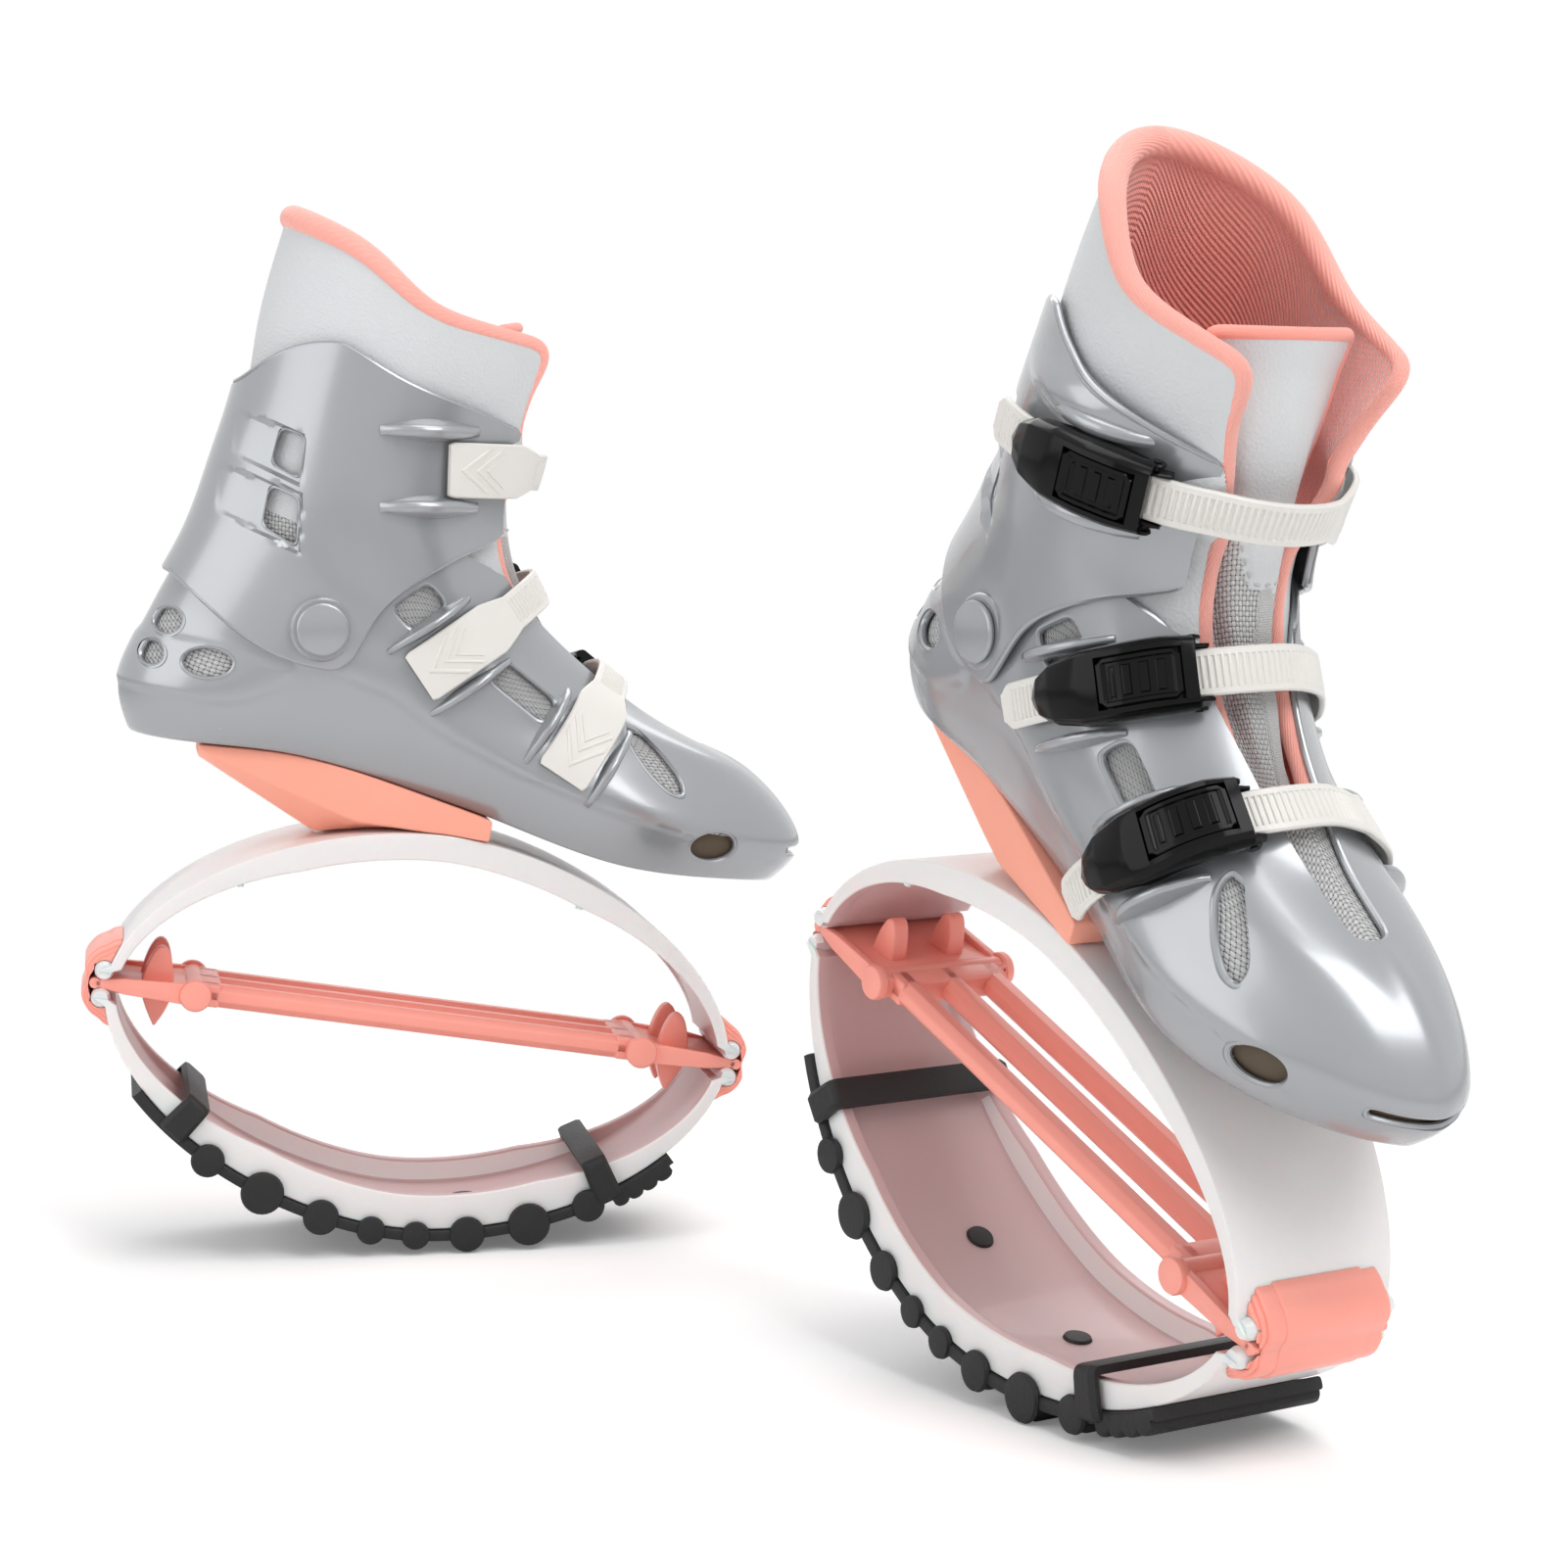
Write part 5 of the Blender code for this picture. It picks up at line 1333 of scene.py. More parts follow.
SHOES = (
    Shoe("left", (11.0, 9.15, 0.0), 1),
    Shoe("right", (-56.6, 23.57, 0.0), -1),
)


@dataclass
class Dresser:
    """Copies each shaped piece onto both shoes, finishes it and ties it to its body."""

    bow_keep: float = 0.815
    floor_keep: float = 0.82
    floor_depth: float = 0.092
    ankle: tuple[Pair, Pair] = ((-0.066, 0.150), (-0.040, 0.262))

    def add(self, piece: Piece, name: str, body: str, finishes: Sequence[Finish],
            replaces: Sequence[str] = (), motion: Motion = Motion.RIGID, smooth: float = 32,
            padding: float = 0) -> None:
        """Places one shaped piece on both shoes and removes the original.

        Args:
            piece: the piece in the shoe's own frame.
            name: the piece's name, without its side.
            body: the body that it rides on, without its side.
            finishes: one finish for each of its material slots.
            replaces: CAD nodes that it stands for, without their side.
            motion: how it follows the joints.
            smooth: the angle under which its faces are shaded smooth.
            padding: how full a padded piece is, or 0 for a plain one; not used.
        """
        for shoe in SHOES:
            mesh = piece.data.copy()
            mesh.name = f"{shoe.side}_{name}"
            matrix = shoe.matrix()
            mesh.transform(matrix)
            if shoe.mirror < 0:
                mesh.flip_normals()
            while len(mesh.materials) > len(finishes):
                mesh.materials.pop()
            for index, finish in enumerate(finishes):
                if index < len(mesh.materials):
                    mesh.materials[index] = finish.material()
                else:
                    mesh.materials.append(finish.material())
            mesh.shade_smooth()
            mesh.set_sharp_from_angle(angle=math.radians(smooth))
            copy = linked(mesh.name, mesh)
            self._tie(copy, shoe, body, motion)
            if replaces:
                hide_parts(*(f"{shoe.side}_{node}" for node in replaces))
        LOG.info("%s: %d faces", name, len(piece.data.polygons))
        bpy.data.objects.remove(piece)

    def _tie(self, piece: Piece, shoe: Shoe, body: str, motion: Motion) -> None:
        """Ties a placed piece to its body; one that follows the ankle is only set in place, and one with a
        bow motion gets a mesh of its own.

        Args:
            piece: the placed piece.
            shoe: the shoe that it belongs to.
            body: the body that it rides on, without its side.
            motion: how it follows the joints.
        """
        if motion is Motion.ANKLE:
            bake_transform(piece)
            return
        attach(piece, body if body == "soles" else f"{shoe.side}_{body}")
        if motion is Motion.UPPER_BOW:
            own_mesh(piece)
        if motion is Motion.LOWER_BOW:
            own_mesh(piece)


# Springy bows and what they carry


@dataclass(frozen=True)
class Bows:
    """The two milky bows: their side-view curve, channel section and end beads."""

    half_span: float = 0.131
    upper_rise: float = 0.081
    lower_drop: float = 0.084
    power: float = 1.8
    middle_half_width: float = 0.041
    end_half_width: float = 0.033
    upper_rim: float = 0.011
    lower_rim: float = 0.014
    web: float = 0.0045
    rim_width: float = 0.0055
    rim_fade: float = 1.9
    bead_radius: float = 0.004
    bead_offset: float = 0.0057
    end_turn: float = 82.0
    stations: int = 121
    edge_radius: float = 0.0011
    nub_radius: float = 0.0016
    nub_places: tuple[float, float] = (-0.083, 0.057)

    @classmethod
    def height_at(cls, x: Points, rise: float) -> Points:
        """Height of a bow's outer face at x."""
        share = np.clip(np.abs(x) / cls.half_span, 0, 1)
        return rise * (1 - share**cls.power) ** (1 / cls.power)

    def line(self, rise: float, part: float = 1, count: int = 0) -> tuple[Points, Points]:
        """Outer points and normals along the middle part of a bow, in side view.

        Args:
            rise: height of the outer face at the middle.
            part: share of the bow that the line covers.
            count: number of points, or 0 for the bow's own.

        Returns:
            The points and the normals.
        """
        turns = np.linspace(-part, part, count or self.stations)
        x = self.half_span * np.sin(turns * math.radians(self.end_turn))
        z = self.height_at(x, rise)
        slope = np.stack([np.gradient(x, turns), np.gradient(z, turns)], -1)
        slope /= np.linalg.norm(slope, axis=1, keepdims=True)
        return np.stack([x, z], -1), np.stack([-slope[:, 1], slope[:, 0]], -1)

    def half_width(self, x: float) -> float:
        """Half-width of a bow, which narrows toward its ends."""
        share = min(abs(x) / self.half_span, 1)
        return self.middle_half_width + (self.end_half_width - self.middle_half_width) * share**2

    def rim_depth(self, x: float, full: float) -> float:
        """Depth of a bow's side rims, which fade out toward its ends."""
        fade = min(1, self.rim_fade * (1 - abs(x) / self.half_span))
        return self.web + (full - self.web) * fade

    def bead(self, sign: int, end: int) -> Pair:
        """Side-view centre of a bow's end bead."""
        return end * (self.half_span + self.bead_radius / 4), sign * self.bead_offset

    def lower_point(self, share: float, depth: float) -> Points:
        """Side-view point below the lower bow's outer face.

        Args:
            share: place along, as a share of the bow's half span.
            depth: how far below the face.

        Returns:
            Its x and z.
        """
        x = self.half_span * share
        step = self.half_span / 500
        rise = self.height_at(x + step, self.lower_drop) - self.height_at(x - step, self.lower_drop)
        normal = np.array([-rise, 2 * step])
        normal /= np.linalg.norm(normal)
        low = self.height_at(x, self.lower_drop) + normal[1] * depth
        return np.array([x + normal[0] * depth, -low])

    def below(self, share: float, outline: Outline) -> list[tuple[float, float, float]]:
        """Places an outline of y and depth below the lower bow's outer face."""
        places = [(y, self.lower_point(share, depth)) for y, depth in outline]
        return [(x, y, z) for y, (x, z) in places]

    def _channel(self, half: float, depth: float) -> list[Pair]:
        """Cross-section of a bow: y, and reach out from its outer face.

        Args:
            half: half-width.
            depth: depth of the side rims.

        Returns:
            The outline.
        """
        inner = half - self.rim_width
        corners = mirrored([(half, 0), (half, -depth), (inner, -depth), (inner - self.web / 2, -self.web)])
        return rounded(corners, self.edge_radius, 4)

    def build(self, rise: float, rim: float, sign: int) -> Piece:
        """Shapes one bow, with its inner faces marked for the darker, pink-tinted painted shade.

        Args:
            rise: height of its outer face at the middle.
            rim: full depth of its side rims.
            sign: 1 for the upper bow and -1 for the lower.

        Returns:
            The bow.
        """
        sections = []
        for (x, z), (nx, nz) in zip(*self.line(rise)):
            outline = self._channel(self.half_width(x), self.rim_depth(x, rim))
            sections.append([(x + nx * n, y, sign * (z + nz * n)) for y, n in outline])
        neck = self.bead_radius * 0.7
        outline = self._channel(self.end_half_width, self.web)
        for end in SIDES:
            x, z = self.bead(sign, end)
            ring = [(x + end * neck * (1 if n > -self.web / 2 else -1), y, z) for y, n in outline]
            sections.insert(0 if end < 0 else len(sections), ring)
        parts = [loft(sections)]
        half = self.end_half_width - self.web / 4
        for end in SIDES:
            x, z = self.bead(sign, end)
            reach = np.array([-half, 0.7 * self.bead_radius - half, half - 0.7 * self.bead_radius, half])
            line = [(x, y, z) for y in reach]
            radii = self.bead_radius * np.array([0.75, 1, 1, 0.75])
            parts.append(tube(line, radii, False, 20))
        for x in self.nub_places if sign > 0 else ():
            z = float(self.height_at(x, rise)) - self.rim_depth(x, rim)
            for side in SIDES:
                y = side * (self.half_width(x) - self.rim_width / 2)
                ends = ((x, y, z + reach) for reach in (self.nub_radius, -self.nub_radius))
                parts.append(rod(self.nub_radius, *ends, 16))
        bow = merged(parts)

        def faces_in(centre: Vector, normal: Vector) -> bool:
            """Whether a face looks in between the bow's rims."""
            out = Vector((centre.x / self.half_span**2, 0, centre.z / rise**2)).normalized()
            return normal.dot(out) < -0.35 and abs(centre.y) < self.half_width(centre.x) - self.rim_width / 2

        return marked(bow, 1, faces_in)

    def dress(self, dresser: Dresser) -> None:
        """Builds both bows and ties them to the bounce.

        Args:
            dresser: places each piece and ties it to its body.
        """
        # The inner channel faces take the painted shade with its painted pink bounce light.
        upper = self.build(self.upper_rise, self.upper_rim, 1)
        dresser.add(upper, "upper_bow", "spring", (MILKY, MILKY_PAINTED_SHADE), ("upper_arch",), Motion.UPPER_BOW)
        lower = self.build(self.lower_drop, self.lower_rim, -1)
        dresser.add(lower, "lower_bow", "soles", (MILKY, MILKY_PAINTED_SHADE), ("lower_arch",), Motion.LOWER_BOW)


BOWS = Bows()


@dataclass
class Tread:
    """Rubber tread: a strip with lumps, two bands round the bow and a ridged front tab."""

    thickness: float = 0.005
    overhang: float = 0.003
    part: float = 0.70
    band_width: float = 0.010
    band_thickness: float = 0.0035
    tab_shares: Pair = (0.67, 0.83)
    lumps: tuple[Pair, ...] = (
        (-0.60, 1.40), (-0.42, 1.80), (-0.23, 1.50), (-0.07, 1.20),
        (0.07, 1.20), (0.23, 1.50), (0.42, 1.80), (0.60, 1.40),
    )
    bands: Pair = (-0.72, 0.66)
    pegs: Pair = (-0.25, 0.25)
    peg_radius: float = 0.004
    peg_head: tuple[Pair, ...] = ((-0.0002, 1.0), (0.0, 1.35), (0.0012, 1.2), (0.0016, 0.6))

    def _strip(self) -> Piece:
        """The thin strip under the lower bow.

        Returns:
            The strip.
        """
        sections = []
        for (x, z), (nx, nz) in zip(*BOWS.line(BOWS.lower_drop, self.part, 80)):
            half = BOWS.half_width(x) + self.overhang * 0.6
            outline = flat_bar(half, SEAT_GAP, self.thickness, 0.0016, 4)
            sections.append([(x + nx * n, y, -z - nz * n) for y, n in outline])
        return loft(sections)

    def _lump(self, share: float, size: float) -> list[Piece]:
        """A rounded lump across the tread, thicker where it shows at both sides.

        Args:
            share: place along, as a share of the bow's half span.
            size: radius in thicknesses of the strip.

        Returns:
            Its three parts.
        """
        radius = self.thickness * size
        half = BOWS.half_width(max(0.0, BOWS.half_span * abs(share) - radius))
        x, z = BOWS.lower_point(share, self.thickness / 2)
        parts = []
        for side in SIDES:
            reach = half + np.array([-0.004, 0.0002, 0.0012, 0.0026, self.overhang])
            radii = radius * np.array([0.60, 0.96, 1.0, 0.93, 0.70])
            parts.append(tube([(x, side * y, z) for y in reach], radii, False, 28))
        low = radius * 0.66
        x, z = BOWS.lower_point(share, self.thickness / 2 + radius - low * 0.96)
        reach = np.array([-half, 0.004 - half, half - 0.004, half])
        parts.append(tube([(x, y, z) for y in reach], low * np.array([0.8, 1, 1, 0.8]), False, 20))
        return parts

    def _band(self, share: float) -> Piece:
        """A flat loop round the bow's sides and over its inner rims.

        Args:
            share: place along, as a share of the bow's half span.

        Returns:
            The band.
        """
        half = BOWS.half_width(BOWS.half_span * abs(share) - 2 * self.band_width)
        depth = BOWS.rim_depth(BOWS.half_span * abs(share) - self.band_width, BOWS.lower_rim)
        step = self.band_width / BOWS.half_span / 2
        wide = half + self.band_thickness
        top, low = -depth - self.band_thickness, self.thickness * 0.8
        loop = flat_bar(wide, low, top, 0.004)
        hole = flat_bar(half, SEAT_GAP, -depth, 0.0015)
        centre = np.array([(0.0, (top + low) / 2)])
        rings = []
        for spread, along, outline in (
            (0.96, -1, loop), (1.0, -0.7, loop), (1.0, 0.7, loop),
            (0.96, 1, loop), (1.0, 1, hole), (1.0, -1, hole),
        ):
            rings.append(BOWS.below(share + along * step, centre + (np.array(outline) - centre) * spread))
        return loft(rings, True)

    def _peg(self, share: float) -> Piece:
        """A peg up through the bow, with a round head on its inner face.

        Args:
            share: place along, as a share of the bow's half span.

        Returns:
            The peg.
        """
        head = [(BOWS.web + rise, size) for rise, size in self.peg_head]
        depths, sizes = zip((-self.thickness / 2, 1.0), *head)
        line = BOWS.below(share, [(0, -depth) for depth in depths])
        return tube(line, self.peg_radius * np.array(sizes), False, 24)

    def _tab(self) -> list[Piece]:
        """The thick ridged end under the front of the bow.

        Returns:
            Its ridges.
        """
        parts = []
        places = np.linspace(*self.tab_shares, 5)
        for start, end in zip(places, places[1:]):
            sections = []
            for share in np.linspace(start, end, 7):
                part = (share - start) / (end - start)
                swell = 0.82 + 0.18 * math.sin(math.pi * part) ** 0.5
                half = BOWS.half_width(BOWS.half_span * share) + self.overhang * 0.7 * swell
                deep = (self.thickness + 0.004) * swell
                sections.append(BOWS.below(share, flat_bar(half, SEAT_GAP, deep, 0.0018, 4)))
            parts.append(loft(sections))
        return parts

    def dress(self, dresser: Dresser) -> None:
        """Builds the tread, tied to the soles under the lower bow.

        Args:
            dresser: places each piece and ties it to its body.
        """
        parts = [self._strip()]
        for share, size in self.lumps:
            parts += self._lump(share, size)
        parts += [self._band(share) for share in self.bands]
        parts += [self._peg(share) for share in self.pegs]
        parts += self._tab()
        tread = merged(parts)
        dresser.add(tread, "tread_lumps", "soles", (RUBBER,), ("tread",), Motion.LOWER_BOW)


@dataclass
class TensionBar:
    """Three-strip tension bar with its cross pins, lugs, bumpers and end clips."""

    half_length: float = 0.094
    strip_width: float = 0.0096
    strip_gap: float = 0.0096
    strip_height: float = 0.0095
    plate_half_width: float = 0.029
    plate_thickness: float = 0.0028
    pin_radius: float = 0.0052
    lug_radius: float = 0.0066
    lug_width: float = 0.0045
    fin_height: float = 0.0168
    fin_length: float = 0.0135
    fin_width: float = 0.0070
    fin_spacing: float = 0.0260
    fin_place: float = 0.0155
    rim_clear: float = 0.009
    head_radius: float = 0.0022
    clip_half_width: float = 0.029
    clip_length: float = 0.0215
    clip_rise: float = 0.0185
    clip_wall: float = 0.0024
    clip_outline: tuple[Pair, ...] = (
        (1.00, 0.10), (1.03, 0.32), (1.05, 0.90), (0.98, 1.02), (0.72, 0.98), (0.50, 0.92),
        (0.38, 0.80), (0.20, 0.70), (0.06, 0.50), (0.00, 0.30), (0.06, 0.06),
    )

    def _head(self, end: int) -> float:
        """How far along the bar's holding head stands.

        Args:
            end: 1 for the front end and -1 for the rear.

        Returns:
            The head's x.
        """
        reach = BOWS.bead_radius + self.head_radius + SEAT_GAP
        low = (BOWS.bead_radius / 2) ** 2
        return BOWS.bead(1, end)[0] + end * math.sqrt(max(reach**2 - BOWS.bead_offset**2, low))

    def _strips(self) -> list[Piece]:
        """The three strips and the blocks that join them.

        Returns:
            The parts.
        """
        pitch = self.strip_width + self.strip_gap
        half = self.strip_height / 2
        parts = []
        for row in (-1, 0, 1):
            middle, wide = row * pitch, self.strip_width / 2
            corners = mirrored([(0.45, -1), (1, -0.4), (1, 0.4), (0.45, 1)])
            outline = rounded([(middle + wide * y, half * z) for y, z in corners], 0.0005, 4)
            reach = self.half_length
            parts.append(loft([[(x, y, z) for y, z in outline] for x in (-reach, reach)]))
        wide = pitch + self.strip_width / 2
        for end in SIDES:
            near, far = sorted((end * (self.half_length - 2 * self.pin_radius), end * self.half_length))
            corners = [(near, -wide), (far, -wide), (far, wide), (near, wide)]
            block = prism(corners, -half, half, "Z")
            parts.append(eased_edges(block, 0.0012, 3))
        return parts

    def _end(self, end: int) -> list[Piece]:
        """One end: plate with raised side rims, cross pin, lugs, bumpers and holding head.

        Args:
            end: 1 for the front end and -1 for the rear.

        Returns:
            The parts.
        """
        half, thin, edge = self.strip_height / 2, self.plate_thickness / 2, self.plate_half_width
        head = self._head(end)
        start = end * (self.half_length - half)
        taper = head - end * 4 * BOWS.bead_offset
        upper = [(start, half * 0.9), (taper, thin), (head, thin)]
        side_view = upper + [(x, -z) for x, z in reversed(upper)]
        inset = edge - self.plate_thickness / 2
        parts = [eased_edges(prism(side_view, -inset, inset, "Y"), 0.0006)]
        close = BOWS.bead(1, end)[0] - end * self.rim_clear
        upper = [(start, half), (close, half * 0.68), (head, thin)]
        rim = upper + [(x, -z) for x, z in reversed(upper)]
        for side in SIDES:
            low, high = sorted((side * (edge - 0.0034), side * edge))
            parts.append(eased_edges(prism(rim, low, high, "Y"), 0.0007))
        parts.append(rod(self.head_radius, (head, -edge, 0), (head, edge, 0), 16))
        x = end * self.half_length
        parts.append(rod(self.pin_radius, (x, -edge, 0), (x, edge, 0), 28))
        for side in SIDES:
            reach = edge - self.lug_width / 2
            profile = (
                (self.lug_radius * 0.9, reach), (self.lug_radius, reach + 0.0008),
                (self.lug_radius, reach + self.lug_width - 0.0014),
                (self.lug_radius * 0.92, reach + self.lug_width - 0.0005),
                (self.lug_radius * 0.70, reach + self.lug_width),
            )
            parts.append(turned(profile, (x, 0), side, 32))
            middle = side * self.fin_spacing / 2
            parts += self._fin(end, middle)
        return parts

    def _fin(self, end: int, middle: float) -> list[Piece]:
        """A leaf-shaped bumper: a round dome above the bar and a point below it.

        Args:
            end: 1 for the front end and -1 for the rear.
            middle: its place across the bar.

        Returns:
            Its two halves.
        """
        place = self.half_length + self.fin_place
        long, high = self.fin_length / 2, self.fin_height
        low, far = middle - self.fin_width / 2, middle + self.fin_width / 2
        turns = np.linspace(-1, 1, 25)
        dome = [(place + long * turn, high * (1 - abs(turn) ** 2.2) ** 0.75) for turn in turns]
        skewed = -turns + 0.12 * (1 - turns**2)
        point = [(place - long * turn, -high * (1 - abs(skew)) ** 0.62) for turn, skew in zip(turns, skewed)]
        parts = []
        for curve in (dome, point):
            outline = [(end * x, z) for x, z in curve]
            parts.append(eased_edges(prism(outline, low, far, "Y"), 0.0010, 3, 50))
        return parts

    def _clip(self, end: int) -> Piece:
        """End clip with stepped side contours and a raised middle panel.

        Args:
            end: 1 for the front end and -1 for the rear.

        Returns:
            The clip.
        """
        tip = abs(self._head(end)) + self.head_radius + self.clip_wall
        parts = []
        steps = (
            (1.0, self.clip_half_width - 0.0030), (0.90, self.clip_half_width - 0.0014),
            (0.79, self.clip_half_width), (1.045, self.clip_half_width * 0.66),
        )
        for size, half in steps:
            middle = tip - self.clip_length / 2
            upper = [
                (middle + (self.clip_length * (0.5 - back)) * size, self.clip_rise * up * size)
                for back, up in self.clip_outline
            ]
            curve = upper + [(x, -z) for x, z in reversed(upper)]
            outline = [(end * x, z) for x, z in rounded(curve, 0.0022, 4)]
            parts.append(eased_edges(prism(outline, -half, half, "Y"), 0.0007, 3, 50))
        clip = parts[0]
        for other in parts[1:]:
            combine(clip, other, "UNION")
        reach = self.clip_half_width + CUT_OVERRUN
        pocket = BOWS.bead_radius + SEAT_GAP
        bead, rise = BOWS.bead(1, 1)
        back = abs(self._head(end)) + self.head_radius + SEAT_GAP
        cavity: list[Pair] = []
        for sign, height in ((1, BOWS.upper_rise), (-1, BOWS.lower_drop)):
            points, normals = BOWS.line(height, 1, 41)
            near = [tuple(p + n * SEAT_GAP) for p, n in zip(points, normals) if p[0] > BOWS.half_span / 2]
            near += [(bead + pocket, rise + pocket / 2), (bead + pocket, rise), (back, self.head_radius)]
            cavity += [(end * x, sign * z) for x, z in near][::sign]
        combine(clip, prism(cavity, -reach, reach, "Y"), "DIFFERENCE")
        for sign in SIDES:
            x, z = BOWS.bead(sign, end)
            combine(clip, rod(pocket, (x, -reach, z), (x, reach, z), 28), "DIFFERENCE")
        clip.data.polygons.foreach_set("material_index", [0] * len(clip.data.polygons))
        return clip

    def dress(self, dresser: Dresser) -> None:
        """Builds the bar and both clips, which move with the spring's middle.

        Args:
            dresser: places each piece and ties it to its body.
        """
        parts = self._strips()
        for end in SIDES:
            parts += self._end(end)
        dresser.add(merged(parts), "strip_bar", "spring", (BAR,), ("tension_bar",))
        for name, end in (("rear", -1), ("front", 1)):
            clip = self._clip(end)
            dresser.add(clip, f"{name}_hook", "spring", (BAR,), (f"{name}_clip",))


@dataclass
class Wedge:
    """Faceted wedge that fills the space between the sole and the upper bow."""

    height: float = 0.022
    rear: float = -0.107
    front: float = 0.015
    rear_half_width: float = 0.024
    front_half_width: float = 0.043
    nose_share: float = 0.25
    under_slope: float = 2.6
    facet_slope: float = 1.6
    under_width_share: float = 0.62
    edge: float = 0.0010

    def dress(self, dresser: Dresser, form: BootForm) -> None:
        """Builds the wedge under the boot.

        Args:
            dresser: places each piece and ties it to its body.
            form: the boot's form.
        """
        turns = np.linspace(0, math.pi, 61)
        lines = [form.surface(np.full(turns.size, level), turns) for level in (0.0, 0.5, 1.0)]
        places = lines[0][:, 0]
        heights = np.min([np.interp(places, line[:, 0], line[:, 2]) for line in lines], axis=0)
        sections = []
        for x in np.linspace(self.rear, self.front, 40):
            share = (x - self.rear) / (self.front - self.rear)
            top = float(np.interp(x, places, heights)) - SEAT_GAP
            half = self.rear_half_width + (self.front_half_width - self.rear_half_width) * share
            under = form.sole_height - self.height * (self.nose_share + self.under_slope * share)
            bow = float(BOWS.height_at(x, BOWS.upper_rise))
            room = (1 - dresser.bow_keep) * (BOWS.upper_rise - bow)
            low = max(under, bow + room + SEAT_GAP)
            facet = form.sole_height - self.height * min(1, self.nose_share / 2 + self.facet_slope * share)
            facet = min(max(low, facet), top - SEAT_GAP)
            outline = mirrored([(half * self.under_width_share, low), (half, facet), (half, top)])
            sections.append([(x, y, z) for y, z in outline])
        wedge = eased_edges(loft(sections), self.edge, 3)
        dresser.add(wedge, "foot_wedge", "boot", (WEDGE,), ("sole_wedge",), smooth=28)


# Boot, cuff and lining


